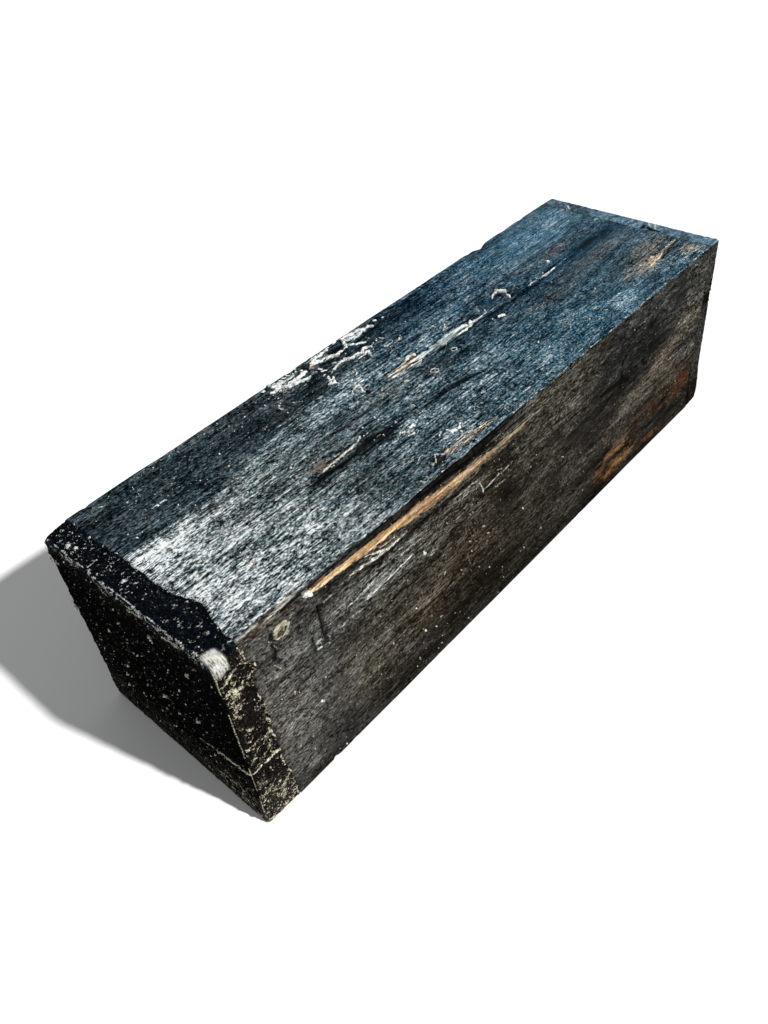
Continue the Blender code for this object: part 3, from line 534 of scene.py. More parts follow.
    # ---- wax film
    wt_list = [
        spot(wu, wt, -34, 32, 8.5, 3.4) * 0.62, spot(wu, wt, -24, 31, 4, 4) * 0.45, spot(wu, wt, -14, 34, 8, 3.4) * 0.62,
        spot(wu, wt, 1, 34.6, 8, 2.6) * 0.62, spot(wu, wt, 14, 34, 3, 2) * 0.45, spot(wu, wt, -40, 28, 9, 3) * 0.36,
        spot(wu, wt, -24, 24, 4, 4) * 0.40, spot(wu, wt, -23, 11, 6, 4) * 0.40, spot(wu, wt, -46, 29, 4, 3) * 0.34,
        spot(wu, wt, 12, 6.4, 14, 2.4) * 0.40, spot(wu, wt, -6, 6.6, 8, 2.0) * 0.36, spot(wu, wt, 36.6, 8.4, 2.2, 2.4) * 0.56,
        spot(wu, wt, 67, 4, 5, 1.6) * 0.50, spot(wu, wt, 72, 2.7, 7, 0.7) * 0.62, stroke(wu, wt, [(76, 2.8), (88, 3.2)], [0.5, 0.2]) * 0.5,
        spot(wu, wt, -30, -17, 4.5, 2.8) * 0.60, spot(wu, wt, -37, -17.5, 6, 3) * 0.46, spot(wu, wt, -22, -28, 4, 2) * 0.56,
        stroke(wu, wt, [(-62, -9), (-57, -8.6), (-50, -8.5), (-44, -7.9), (-41, -6.6)], [0.4, 0.8, 0.8, 0.7, 0.3]) * 0.72,
        stroke(wu, wt, [(-56, -6.2), (-48, -5.6), (-42, -5.4)], [0.5, 0.8, 0.8]) * 0.42,
        spot(wu, wt, -110, 0, 10, 7) * 0.38, spot(wu, wt, -98, 20, 3.0, 0.7) * 0.58, spot(wu, wt, -84, 36.4, 12, 1.0) * 0.42,
        stroke(wu, wt, [(41, 15.7), (50, 15.9)], [0.35, 0.35]) * 0.5, stroke(u, wt, [(20, -1.0), (36, -1.8)], [0.4, 0.3]) * 0.52,
        stroke(u, wt, [(20, 1.1), (31, 0.6)], [0.3, 0.25]) * 0.45, spot(wu, wt, 49.4, -14.6, 1.6, 5) * 0.32,
        spot(wu, wt, 62, -20, 1.4, 6) * 0.24, spot(wu, wt, 75, -29, 4, 2.6) * 0.34,
        stroke(u, wt, [(-66, -37.7), (-40, -37.6), (-22, -37.8)], [0.35, 0.35, 0.2]) * 0.62,
        stroke(u, wt, [(-6, -37.6), (50, -37.5), (118, -37.3)], [0.25, 0.3, 0.3]) * 0.60,
        stroke(wu, wt, [(108, 3.9), (119, 4.3)], [0.4, 0.5]) * 0.44, spot(wu, wt, 107, 0.2, 1.2, 0.6) * 0.5,
        spot(wu, wt, 92, -11.8, 2, 0.6) * 0.40, spot(wu, wt, 87, -11, 1, 0.5) * 0.44,
    ]
    wax = top * np.maximum.reduce(wt_list)
    hole = np.maximum(spot(u, vt, -10, 34, 3.4, 1.7), 0.8 * spot(u, vt, -23.4, 33.6, 1.5, 2.0))
    wax = wax * (1 - top * np.clip(1.7 * hole, 0, 1))
    wr_list = [
        spot(wu, wr, -94.4, 52, 1.6, 1.6) * 0.72, spot(wu, wr, -86, 51.4, 3.0, 0.9) * 0.62, spot(wu, wr, -91, 52, 1.0, 1.2) * 0.42,
        spot(wu, wr, -70, 65.6, 8, 1.0) * 0.50, stroke(u, wr, [(-80, 66.3), (-72, 65.2), (-60, 64.2)], [0.5, 0.8, 0.5]) * 0.6,
        spot(wu, wr, -95, 72.6, 1.8, 1.2) * 0.8, spot(wu, wr, -51, 50.6, 1.6, 0.7) * 0.55,
        stroke(u, wr, [(-79, 53.0), (-57, 54.3)], [0.3, 0.3]) * 0.52, stroke(u, wr, [(-23.4, 58.6), (-22, 54.4)], [0.35, 0.4]) * 0.62,
        stroke(u, wr, [(-22, 54.6), (-10, 55.4)], [0.25, 0.25]) * 0.5, spot(wu, wr, 3.5, 46.5, 1.3, 0.8) * 0.5,
        spot(wu, wr, -107, 42.6, 1.0, 1.2) * 0.45, spot(wu, wr, -42.5, 34.6, 1.0, 0.8) * 0.5, spot(wu, wr, -109.5, 31.5, 2, 1.4) * 0.4,
        spot(wu, wr, -28, 41, 3.8, 5.5) * 0.34, stroke(u, wr, [(-31, 36), (-30, 28), (-28.6, 22)], [0.9, 0.8, 0.5]) * 0.42,
        spot(wu, wr, 60, 36.8, 2.6, 1.0) * 0.3, spot(wu, wr, 109, 72, 2.0, 0.6) * 0.4, spot(wu, wr, -32, 3.6, 1.2, 0.9) * 0.45,
        spot(wu, wr, -58, 7.2, 0.9, 1.3) * 0.42, spot(wu, wr, -110, 46, 6, 8) * 0.22, spot(wu, wr, -12, 70.4, 9, 0.9) * 0.42,
    ]
    wax = np.maximum(wax, right * np.maximum.reduce(wr_list))
    wax = np.maximum(wax, left * np.maximum.reduce([
        spot(wu, wr, -32, 70, 12, 2.4) * 0.62, spot(wu, wr, -2, 71, 9, 2.0) * 0.62, spot(wu, wr, -22, 62, 3, 5) * 0.5,
        spot(wu, wr, 60, 44, 3, 2) * 0.5, spot(wu, wr, -100, 22, 3, 3) * 0.42, spot(wu, wr, 96, 12, 5, 1.4) * 0.42,
        stroke(wu, wr, [(-70, 36), (-20, 37)], [0.5, 0.4]) * 0.5]))
    wax = np.maximum(wax, bottom * np.maximum.reduce([
        spot(wu, wb, -20, -10, 4, 3) * 0.46, spot(wu, wb, 66, 18, 6, 2) * 0.42, spot(wu, wb, -90, -22, 3, 3) * 0.4]))
    f["wax"] = wax

    # ---- cracks, shadows and stains
    ct = [
        stroke(u, wt, [(2, 3.1), (15, 3.3), (24, 3.2), (30, 3.4), (45, 2.2), (58, 1.5), (76, 1.2), (88, 1.9)], [0.2, 0.4, 0.45, 0.35, 0.25, 0.3, 0.3, 0.1]) * 0.72,
        stroke(u, wt, [(20, 9.0), (25, 8.8), (28, 7.2), (29.5, 7.0), (30.6, 5.8), (35.5, 5.7)], [0.3, 0.4, 0.6, 0.4, 0.55, 0.4]),
        spot(u, vt, 32.5, 7.4, 2.6, 1.3) * 0.62,
        stroke(u, wt, [(-15, 5.6), (-8, 4.1), (-2, 3.2)], [0.3, 0.4, 0.3]),
        spot(u, vt, -2.4, 2.6, 0.5, 0.8), spot(u, vt, -11.8, 8.9, 3, 0.4) * 0.8,
        stroke(u, wt, [(72, 4.0), (75, 4.0), (84, 4.2)], [0.7, 0.5, 0.2]), spot(u, vt, 67.6, 3.7, 1.0, 0.5) * 0.6,
        stroke(u, wt, [(35, 14), (47, 14.2)], [0.45, 0.3]) * 0.7, stroke(u, wt, [(50, 13.2), (55, 13.4)], [0.4, 0.3]) * 0.6,
        # painted shadows cast by the loose chip below the sliver and round the chip like a staple
        stroke(u, wt, [(36.2, 0.2), (38.4, 0.4), (39.6, -0.4)], [0.4, 0.7, 0.4]),
        stroke(u, vt, [(46.4, 9.4), (47.4, 8.7), (49.6, 9.0), (50.0, 7.4), (50.2, 6.2)], [0.5, 0.6, 0.6, 0.6, 0.5]),
        stroke(u, vt, [(52.4, 11.0), (53.6, 9.6), (53.6, 8.0), (52.6, 6.4), (51.8, 4.8), (50.4, 3.0)], [0.4, 0.6, 0.7, 0.5, 0.4, 0.3]),
        spot(u, vt, 49.2, 4.2, 0.4, 1.0), spot(u, wt, 38.6, 6.6, 1.4, 0.7) * 0.6,
        stroke(u, wt, [(-38.8, -34.0), (-36.4, -33.6), (-34.6, -33.8)], [0.5, 0.9, 0.5]), spot(u, vt, -37.6, -32.2, 0.9, 0.6) * 0.9,
        stroke(u, vt, [(-46, -33.8), (-44.6, -34.2), (-44.2, -35.6), (-45.4, -36.2)], [0.3, 0.4, 0.5, 0.4]) * 0.9,
        stroke(u, vt, [(-61, -34.8), (-59, -35.0)], [0.4, 0.5]) * 0.8,
        stroke(u, wt, [(80, -25.6), (84, -28.4)], [0.4, 0.6]) * 0.6, stroke(u, wt, [(103, -27.2), (112, -25.4), (119, -25.0)], [0.5, 0.6, 0.4]) * 0.62,
        spot(u, vt, -10.2, 34, 3.6, 1.7), spot(u, vt, -13.2, 34.2, 1.0, 1.2), spot(u, vt, -25.0, 35.2, 1.6, 0.9) * 0.8,
        stroke(u, wt, [(-20, 31.6), (-15.6, 30.4)], [0.7, 0.5]) * 0.8, stroke(u, vt, [(-5.2, 27.6), (-3.6, 27.6), (-2.2, 27.0)], [0.5, 0.7, 0.5]),
        stroke(u, wt, [(-14, 27.9), (-9, 28.0)], [0.4, 0.5]) * 0.8, stroke(u, vt, [(-8.2, 21.8), (-7.0, 20.6)], [0.6, 0.6]) * 0.8,
        stroke(u, wt, [(2, 32.2), (6, 31.8), (9, 32.8)], [0.5, 0.8, 0.6]) * 0.62, spot(u, vt, 10.2, 34.6, 0.4, 1.2) * 0.8,
        spot(u, vt, -35.4, 34.4, 1.2, 0.6) * 0.9, spot(u, vt, -31.2, 33.8, 1.3, 0.5) * 0.9, spot(u, vt, -42.8, 34, 0.7, 0.9) * 0.8,
        spot(u, vt, -25.8, 19.0, 0.9, 0.6) * 0.7, spot(u, vt, -17.2, 18.6, 0.5, 1.2, -30) * 0.5,
        stroke(u, vt, [(-104, -37.8), (-88, -37.4), (-76, -37.4), (-60, -38.4)], [0.5, 0.7, 0.6, 0.3]) * 0.95,
        stroke(u, wt, [(-33.6, -11.6), (-30, -12.2)], [0.5, 0.3]) * 0.6, stroke(u, wt, [(-58, -10.6), (-55, -11.6), (-48, -11.0)], [0.3, 0.6, 0.4]) * 0.7,
        stroke(u, wt, [(-48, 14.6), (-45, 13.6), (-42, 13.8)], [0.3, 0.4, 0.3]) * 0.6, stroke(u, wt, [(-47, 10.6), (-45.4, 14.4)], [0.2, 0.2]) * 0.5,
        stroke(u, wt, [(-70, -34.5), (-69, -34.9)], [0.3, 0.4]) * 0.7, spot(u, vt, -113, -32.4, 0.7, 0.7) * 0.8, spot(u, vt, -111, -34, 0.6, 0.5) * 0.8,
        spot(u, vt, -98.6, -20.8, 1.2, 0.5) * 0.7, spot(u, vt, -85, -20, 0.6, 0.5) * 0.7, spot(u, vt, -100, 1.0, 1.0, 0.3) * 0.6,
        stroke(u, vt, [(-88.4, 16.0), (-87.6, 12.0), (-88.8, 9.2)], [0.15, 0.18, 0.15]) * 0.4,
    ]
    ct = ct + [
        stroke(u, wt, [(-43, -4.4), (-37, -3.8), (-31, -4.6)], [0.3, 0.7, 0.3]) * 0.8, stroke(u, wt, [(-46, -9.8), (-40, -10.2), (-30, -10.6)], [0.4, 0.9, 0.4]) * 0.9,
        stroke(u, wt, [(-47, -12.6), (-38, -12.9), (-27, -12.6)], [0.3, 0.8, 0.3]) * 0.9, stroke(u, wt, [(-42, -7.4), (-36, -7.6), (-33, -8.4)], [0.2, 0.5, 0.3]) * 0.8,
        stroke(u, wt, [(-67, -10.2), (-59, -10.6), (-50, -11.2)], [0.3, 0.7, 0.4]) * 0.9, stroke(u, wt, [(-63, -13.0), (-54, -13.3)], [0.3, 0.45]) * 0.7,
        stroke(u, wt, [(-22, -13.2), (-10, -13.6), (0, -14.8), (8, -16.8)], [0.3, 0.75, 0.65, 0.3]) * 0.8, stroke(u, wt, [(-91, -8.6), (-82, -9.4), (-72, -9.8)], [0.25, 0.5, 0.25]) * 0.7,
        stroke(u, wt, [(-78, -12.6), (-68, -13.4), (-60, -14.2)], [0.2, 0.4, 0.2]) * 0.7, stroke(u, wt, [(-52, 5.4), (-40, 4.8), (-30, 4.6)], [0.2, 0.4, 0.2]) * 0.6,
        stroke(u, wt, [(-8, -20.6), (4, -21.4), (14, -22.6)], [0.2, 0.45, 0.2]) * 0.6, stroke(u, wt, [(24, -8.0), (36, -8.8), (46, -9.4)], [0.2, 0.4, 0.2]) * 0.5,
        stroke(u, wt, [(-58, 17.6), (-50, 17.2), (-40, 17.8)], [0.25, 0.5, 0.3]) * 0.7, stroke(u, wt, [(-30, 22.0), (-22, 21.6)], [0.3, 0.4]) * 0.6,
    ]
    crack = smooth(0.2, 0.6, nz) * np.maximum.reduce(ct)
    # the dark line under the right arris
    crack = np.maximum(crack, smooth(0.25, 0.6, nx) * smooth(0.15, 0.5, nz) * smooth(-118, -100, u) * smooth(30, -30, u) * 0.9 * smooth(0.35, 0.55, fbm(u / 6, 0 * u, 0 * u, 3, 33) + 0.1))
    cr = [
        stroke(u, wr, [(-108.4, 69.2), (-108.7, 66), (-109.0, 62), (-109.4, 60), (-108.4, 57.4)], [0.55, 0.7, 0.62, 0.85, 0.4]),
        stroke(u, vr, [(-110.2, 61.2), (-109.6, 60.4)], [0.4, 0.4]), stroke(u, vr, [(-109.6, 56), (-108.8, 54.4)], [0.25, 0.3]) * 0.8,
        stroke(u, wr, [(-107.2, 55), (-107.4, 52.4), (-107.2, 50)], [0.5, 0.3, 0.4]) * 0.9, stroke(u, wr, [(-108, 49.8), (-107.2, 48.4), (-107.8, 47.4)], [0.3, 0.35, 0.5]) * 0.85,
        stroke(u, wr, [(-109, 72.6), (-107.6, 72.2)], [0.3, 0.35]) * 0.8,
        stroke(u, vr, [(-92.4, 65.5), (-92.2, 51.5)], [0.62, 0.55]) * 0.95, stroke(u, vr, [(-96.6, 56), (-96.4, 51.0)], [0.35, 0.45]) * 0.9,
        stroke(u, vr, [(-83, 55.3), (-81.2, 55.2)], [0.3, 0.35]) * 0.8, stroke(u, vr, [(-91.6, 53.8), (-87, 54)], [0.25, 0.2]) * 0.7,
        stroke(u, vr, [(-74.2, 51), (-74.0, 46.6)], [0.28, 0.3]) * 0.9, stroke(u, vr, [(-73.0, 49.2), (-72.8, 46.4)], [0.25, 0.3]) * 0.9,
        stroke(u, wr, [(-77.6, 46.8), (-75.6, 46.8)], [0.25, 0.3]) * 0.7, stroke(u, wr, [(-89, 66.4), (-87, 66)], [0.4, 0.3]) * 0.8,
        stroke(u, wr, [(-69, 68.8), (-66, 67.4), (-63, 66.4)], [0.35, 0.3, 0.2]) * 0.9, spot(u, vr, -72.6, 66.8, 1.6, 0.7) * 0.8,
        stroke(u, wr, [(46.5, 49.4), (51, 49.4), (56, 48.2), (61, 47.8), (64, 46.6)], [0.5, 1.1, 1.4, 1.7, 0.6]),
        stroke(u, wr, [(60.2, 49), (59.6, 53), (60.6, 56), (62, 57.6)], [1.0, 0.7, 0.7, 1.0]),
        spot(u, vr, 64.5, 46, 2.2, 0.9), spot(u, vr, 70.5, 48.4, 2.0, 0.8) * 0.85, stroke(u, wr, [(75, 48.6), (77.4, 45.6)], [0.8, 0.9]) * 0.9,
        spot(u, vr, 82.6, 45.2, 1.3, 0.8) * 0.9, spot(u, vr, 87, 50, 1.6, 0.8) * 0.6, spot(u, vr, 91, 48.6, 1.8, 1.0) * 0.7,
        spot(u, vr, 91, 52.6, 1.0, 1.0) * 0.5, spot(u, vr, 100, 61.8, 1.0, 0.7) * 0.45, spot(u, vr, 117.4, 50.4, 1.6, 0.7) * 0.5,
        spot(u, vr, 76, 69.6, 1.4, 1.2) * 0.7, spot(u, vr, 61.8, 68.6, 0.9, 0.8) * 0.7, spot(u, vr, 79, 65, 0.8, 1.6) * 0.4,
        spot(u, vr, 53.4, 19.2, 2.6, 1.0) * 0.72, spot(u, vr, 47.6, 18, 2, 1.4) * 0.4, spot(u, vr, 45, 2.2, 2.4, 1.1) * 0.7,
        stroke(u, wr, [(56, 12.4), (62, 12.8), (67, 12.6), (73, 11.8)], [0.5, 0.8, 1.1, 0.5]) * 0.66,
        stroke(u, wr, [(80.5, 12.6), (85, 12.0), (88, 12.2)], [0.7, 1.1, 0.6]) * 0.66,
        stroke(u, wr, [(-95, 9.8), (-98, 11.0), (-101, 11.8), (-104, 11.2), (-108, 10.8)], [0.45, 0.3, 0.28, 0.25, 0.3]) * 0.85,
        stroke(u, wr, [(-95.6, 9.6), (-97.2, 6)], [0.45, 0.3]) * 0.85, stroke(u, wr, [(-92.6, 6.2), (-91, 5.8), (-89.2, 4.8)], [0.4, 0.4, 0.4]) * 0.7,
        stroke(u, wr, [(-89.8, 18), (-89.9, 14)], [0.28, 0.25]) * 0.7, stroke(u, wr, [(-99.6, 0.8), (-97, -0.4)], [0.5, 0.5]),
        stroke(u, wr, [(-99, 20.4), (-97.4, 20.2)], [0.4, 0.35]) * 0.5, stroke(u, vr, [(-78, 15), (-77.6, 14.6)], [0.3, 0.3]) * 0.7,
        stroke(u, wr, [(-7.6, 34), (-6.6, 27)], [0.35, 0.3]) * 0.55, stroke(u, wr, [(-23.4, 53.2), (-19.4, 53.4), (-15, 53.0)], [0.6, 0.8, 0.5]) * 0.9,
        stroke(u, wr, [(-28.6, 20), (-27, 19.0), (-26.2, 17.6)], [0.7, 0.9, 0.5]) * 0.66, stroke(u, wr, [(-19, 20.8), (-4, 20.6)], [0.4, 0.5]) * 0.5,
        stroke(u, wr, [(-29.6, 13.6), (-25, 12.8)], [0.6, 0.9]) * 0.5, stroke(u, wr, [(-59, 26.8), (-53, 27.2), (-47, 27.4), (-40, 26.2)], [0.4, 0.4, 0.5, 0.25]) * 0.62,
        stroke(u, vr, [(-13.4, 56.4), (-13.2, 54.2)], [0.3, 0.3]) * 0.7, stroke(u, wr, [(-38, 62.4), (-28, 62.4), (-24, 62.8)], [0.3, 0.6, 0.5]) * 0.6,
        spot(u, vr, -20.6, 68.2, 0.7, 0.6) * 0.9, stroke(u, wr, [(-46, 72.2), (-40, 71.8), (-28, 71)], [0.6, 0.9, 0.8]) * 0.55,
    ]
    crack = np.maximum(crack, right * np.maximum.reduce(cr))
    crack = np.maximum(crack, left * np.maximum.reduce([
        stroke(wu, wr, [(-60, 30), (-20, 31), (40, 29)], [0.2, 0.7, 0.2]), stroke(wu, wr, [(50, 56), (80, 55), (104, 56.5)], [0.2, 0.6, 0.2]),
        stroke(wu, wr, [(-110, 60), (-92, 60.6)], [0.5, 0.3]), spot(wu, wr, 20, 62, 3.0, 1.2) * 0.9, spot(wu, wr, -48, 15, 2.4, 1.4) * 0.8]))
    crack = np.maximum(crack, bottom * np.maximum.reduce([
        stroke(wu, wb, [(-100, -12), (-60, -11), (-20, -12.5)], [0.2, 0.7, 0.2]),
        stroke(wu, wb, [(20, 8), (60, 9), (100, 8)], [0.2, 0.6, 0.2]), spot(wu, wb, -50, 6, 2.4, 1.4) * 0.8]))
    f["crack"] = crack

    # ---- shape
    grain = fbm(x / 1.2, y / 26, z / 1.2, 4, 21) - 0.5
    broad = fbm(x / 7, y / 90, z / 7, 3, 22) - 0.5
    speck = fbm(x / 0.9, y / 2.2, z / 0.9, 3, 23) - 0.5
    saw = np.sin(y * 2 * math.pi / 2.9 + 3.0 * fbm(x / 30, y / 30, z / 30, 2, 24)) * smooth(0.45, 0.7, fbm(x / 22, y / 30, z / 22, 2, 25))
    pit = smooth(0.70, 0.84, fbm(x / 1.1, y / 3.0, z / 1.1, 2, 26))
    disp = 0.30 * grain + 0.30 * broad + 0.14 * speck + 0.03 * saw - 0.26 * pit
    disp = disp - 0.60 * smooth(0.25, 0.9, crack)
    lens = np.clip(1 - np.abs((u - 8) / 21.5) ** 2.2, 0, 1) * smooth(3.0, 1.8, np.abs(vt - 6.6))
    disp = disp - top * 0.75 * lens
    lens2 = np.clip(1 - np.abs((u - 71) / 11) ** 2.2, 0, 1) * smooth(1.7, 1.0, np.abs(vt - 2.8))
    disp = disp - top * 0.40 * lens2
    mark = smooth(-96.5, -95.5, u) * smooth(-91.0, -91.8, u) * smooth(51.0, 52.2, vr) * smooth(66.0, 65.0, vr)
    disp = disp - right * 0.35 * mark
    torn = spot(u, vr, -11, 44, 7, 4.4, 0, 1.5)
    disp = disp - right * torn * (0.5 + 0.5 * (fbm(x / 2, y / 4, z / 1.2, 3, 27) - 0.5))
    stripe = fbm(x / 0.7, y / 30, z / 0.7, 2, 34) - 0.5
    disp = disp - smooth(0.4, 0.9, ink_a) * (0.22 + 0.30 * stripe)
    disp = disp + 0.16 * smooth(0.35, 0.7, wax) * (fbm(x / 1.1, y / 1.6, z / 1.1, 3, 28) - 0.2)
    disp = disp + right * spot(wu, wr, -28, 41, 4, 6) * 0.5 * (fbm(y / 0.9, z / 7, x * 0, 2, 29) - 0.35)
    disp = disp + right * 0.40 * smooth(6.0, 0.4, z)
    disp = np.where(nz < -0.5, -np.abs(disp) * 0.8, disp)
    f["disp"] = np.where(nz > -0.5, np.minimum(disp, 0.32), disp)
    return f


# =============================================================== the wood
SEC = Section((42, 176, 192, 56), 9)
WOOD_HALF, WOOD_HIGH = 38.0, 74.3
UNDER = 1.2


def edge_radii(y):
    """Radii of the wood's long edges: worn, with small bites."""
    out = []
    for k in range(4):
        r = 0.42 + 0.6 * fbm(y / 16.0, 3.1 * k, 0.5, 3, 40 + k) ** 1.5
        nick = smooth(0.62, 0.84, fbm(y / 3.6, 7.7 * k, 1.5, 2, 50 + k))
        out.append(r + (0.9 if k > 1 else 0.4) * nick)
    out[1] = out[1] + 0.3 * bump(y, 60, 40)
    out[2] = out[2] + 1.3 * bump(y, -108, 12) + 0.9 * bump(y, 118, 12) + 0.1
    out[3] = out[3] + 2.8 * bump(y, 75.5, 2.9) + 0.7 * bump(y, 92.0, 2.0) + 0.6 * bump(y, 103.5, 1.2)
    return np.stack(out, -1)


def wood_rows():
    """Rows along the block: closer together near the camera end."""
    rows, y = [-114.0], -114.0
    while y < 117.2:
        y += 1.015 + 0.64 * smooth(-60, 90, y)
        rows.append(y)
    return np.array(rows)


def build_wood():
    n, s = SEC.n, SEC.u
    one = np.ones(n)

    def end(sign, reach, radii, bevel):
        """From the hidden end face back to the step at the edge of the lap."""
        half, low, high = WIDTH / 2 - UNDER, UNDER, HEIGHT - UNDER
        b = np.maximum(0.3, bevel(s) - 0.7)
        d0 = reach(s) + 0.25
        out = []
        for turn in (90.0, 45.0, 0.0):
            inset = b * (1 - math.cos(math.radians(turn)))
            d = UNDER + b * (1 - math.sin(math.radians(turn)))
            r = np.maximum(0.15, radii(d) - UNDER - inset[:, None])
            x, z, _, _ = SEC.ring(half - inset, low + inset, high - inset, r)
            out.append(np.stack([x, sign * (END - d), z], -1))
        x, z, _, _ = SEC.ring(half * one, low * one, high * one, np.maximum(0.25, radii(d0) - UNDER))
        out.append(np.stack([x, sign * (END - d0), z], -1))
        return out, d0

    near, near_d = end(-1, front_reach, front_radii, front_bevel)
    far, far_d = end(1, rear_reach, rear_radii, rear_bevel)
    y_near, y_far = -(END - near_d), END - far_d
    rows = wood_rows()
    Y = []
    for row in rows:      # the first and last rows follow the laps
        w0 = 1 - smooth(0.0, 14.0, row - rows[0])
        w1 = 1 - smooth(0.0, 14.0, rows[-1] - row)
        Y.append(row + (y_near - rows[0]) * w0 + (y_far - rows[-1]) * w1)
    Y = np.array(Y)
    rr = edge_radii(Y)
    X, Z, NX, NZ = (np.array(a) for a in zip(*[SEC.ring(WOOD_HALF * one, 0 * one, WOOD_HIGH * one, rr[i]) for i in range(len(Y))]))
    f = fields(X, Y, Z, NX, NZ)
    PX, PZ = X + NX * f["disp"], np.maximum(Z + NZ * f["disp"], 0.0)
    rings = near + [np.stack([PX[i], Y[i], PZ[i]], -1) for i in range(len(Y))] + far[::-1]
    count = len(rings)
    verts = np.concatenate(rings + [np.array([[0, -(END - UNDER), HEIGHT / 2], [0, END - UNDER, HEIGHT / 2]])])
    i = np.arange(n)
    j = (i + 1) % n
    h0, h1, base = len(verts) - 2, len(verts) - 1, (count - 1) * n
    tris = np.concatenate([np.stack([i, j, np.full(n, h0)], -1), np.stack([base + j, base + i, np.full(n, h1)], -1)])
    obj = link_mesh("ebony_wood", verts, tube_faces(count, n)[:, ::-1], tris)

    def padded(values, fill):
        """A layer for the shown rows, with fill for the hidden ones."""
        a = np.full((len(near) * n,) + values.shape[2:], fill, float)
        b = np.full((len(far) * n + 2,) + values.shape[2:], fill, float)
        return np.concatenate([a, values.reshape((-1,) + values.shape[2:]), b])

    give(obj, tone=padded(f["tone"], 0.2), crisp=padded(f["crisp"], 0.4), ink_a=padded(f["ink_a"], 0.0), ink=padded(f["ink"], 0.3),
         fibre=padded(f["fibre"], 0.8), wax=padded(f["wax"], 0.0), crack=padded(f["crack"], 0.0), tint=padded(f["tint"], 0.9))
    return obj


wood = build_wood()


# =============================================================== node helpers
class Nodes:
    """Short ways to add nodes to one material."""

    def __init__(self, name):
        self.mat = bpy.data.materials.new(name)
        self.mat.use_nodes = True
        self.tree = self.mat.node_tree
        self.tree.nodes.clear()
        self.out = self.tree.nodes.new("ShaderNodeOutputMaterial")
        self.shader = self.tree.nodes.new("ShaderNodeBsdfPrincipled")
        self.tree.links.new(self.shader.outputs[0], self.out.inputs[0])
        coords = self.tree.nodes.new("ShaderNodeTexCoord")
        self.where = coords.outputs["Object"]

    def put(self, socket, value):
        if isinstance(value, bpy.types.NodeSocket):
            self.tree.links.new(value, socket)
        elif value is not None:
            socket.default_value = value

    def math(self, op, a, b=None, c=None, clamp=False):
        node = self.tree.nodes.new("ShaderNodeMath")
        node.operation = op
        node.use_clamp = clamp
        self.put(node.inputs[0], a)
        if b is not None:
            self.put(node.inputs[1], b)
        if c is not None:
            self.put(node.inputs[2], c)
        return node.outputs[0]

    def total(self, *parts):
        out = parts[0]
        for p in parts[1:]:
            out = self.math("ADD", out, p)
        return out

    def scaled(self, sx, sy, sz, shift=(0, 0, 0)):
        """Object coordinates in cells: each scale is cells per millimetre."""
        node = self.tree.nodes.new("ShaderNodeMapping")
        node.inputs["Location"].default_value = shift
        node.inputs["Scale"].default_value = (sx * 1000, sy * 1000, sz * 1000)
        self.tree.links.new(self.where, node.inputs["Vector"])
        return node.outputs[0]

    def noise(self, vector, detail=3.0, rough=0.55, distort=0.0):
        node = self.tree.nodes.new("ShaderNodeTexNoise")
        node.noise_dimensions = "3D"
        self.put(node.inputs["Vector"], vector)
        node.inputs["Scale"].default_value = 1.0
        node.inputs["Detail"].default_value = detail
        node.inputs["Roughness"].default_value = rough
        node.inputs["Distortion"].default_value = distort
        return node.outputs[0]

    def voronoi(self, vector):
        node = self.tree.nodes.new("ShaderNodeTexVoronoi")
        self.put(node.inputs["Vector"], vector)
        node.inputs["Scale"].default_value = 1.0
        return node

    def attr(self, name, out="Fac"):
        node = self.tree.nodes.new("ShaderNodeAttribute")
        node.attribute_name = name
        return node.outputs[out]

    def step(self, value, lo, hi, to_lo=0.0, to_hi=1.0):
        node = self.tree.nodes.new("ShaderNodeMapRange")
        node.interpolation_type = "SMOOTHSTEP"
        node.clamp = True
        self.put(node.inputs["Value"], value)
        node.inputs["From Min"].default_value = lo
        node.inputs["From Max"].default_value = hi
        node.inputs["To Min"].default_value = to_lo
        node.inputs["To Max"].default_value = to_hi
        return node.outputs["Result"]

    def mix(self, amount, a, b, blend="MIX"):
        node = self.tree.nodes.new("ShaderNodeMix")
        node.data_type = "RGBA"
        node.blend_type = blend
        node.clamp_factor = True
        self.put(node.inputs[0], amount)
        self.put(node.inputs[6], (*map(float, a), 1.0) if isinstance(a, (tuple, list, np.ndarray)) else a)
        self.put(node.inputs[7], (*map(float, b), 1.0) if isinstance(b, (tuple, list, np.ndarray)) else b)
        return node.outputs[2]

    def ramp(self, value, stops):
        node = self.tree.nodes.new("ShaderNodeValToRGB")
        el = node.color_ramp.elements
        while len(el) > 1:
            el.remove(el[-1])
        el[0].position, el[0].color = stops[0][0], (*map(float, stops[0][1]), 1.0)
        for pos, col in stops[1:]:
            e = el.new(pos)
            e.color = (*map(float, col), 1.0)
        self.put(node.inputs[0], value)
        return node.outputs[0]

    def bump(self, height, distance_mm, strength=1.0):
        node = self.tree.nodes.new("ShaderNodeBump")
        node.inputs["Strength"].default_value = strength
        node.inputs["Distance"].default_value = distance_mm * MM
        self.put(node.inputs["Height"], height)
        return node.outputs[0]

    def finish(self, colour, rough, normal, specular):
        self.put(self.shader.inputs["Base Color"], colour)
        self.put(self.shader.inputs["Roughness"], rough)
        if normal is not None:
            self.put(self.shader.inputs["Normal"], normal)
        self.shader.inputs["Specular IOR Level"].default_value = specular
        self.shader.inputs["Metallic"].default_value = 0.0
        return self.mat


EXPOSE = 0.72      # how light a surface is for a wanted brightness in the sun


def lin(r, g, b, k=EXPOSE):
    return tuple(float(c) * k for c in linear((r, g, b)))


def grey_stops(k=EXPOSE):
    return [(p, lin(255 * p, 255 * p, 255 * p, k)) for p in (0.0, 0.03, 0.06, 0.1, 0.15, 0.21, 0.28, 0.37, 0.48, 0.6, 0.73, 0.86, 1.0)]


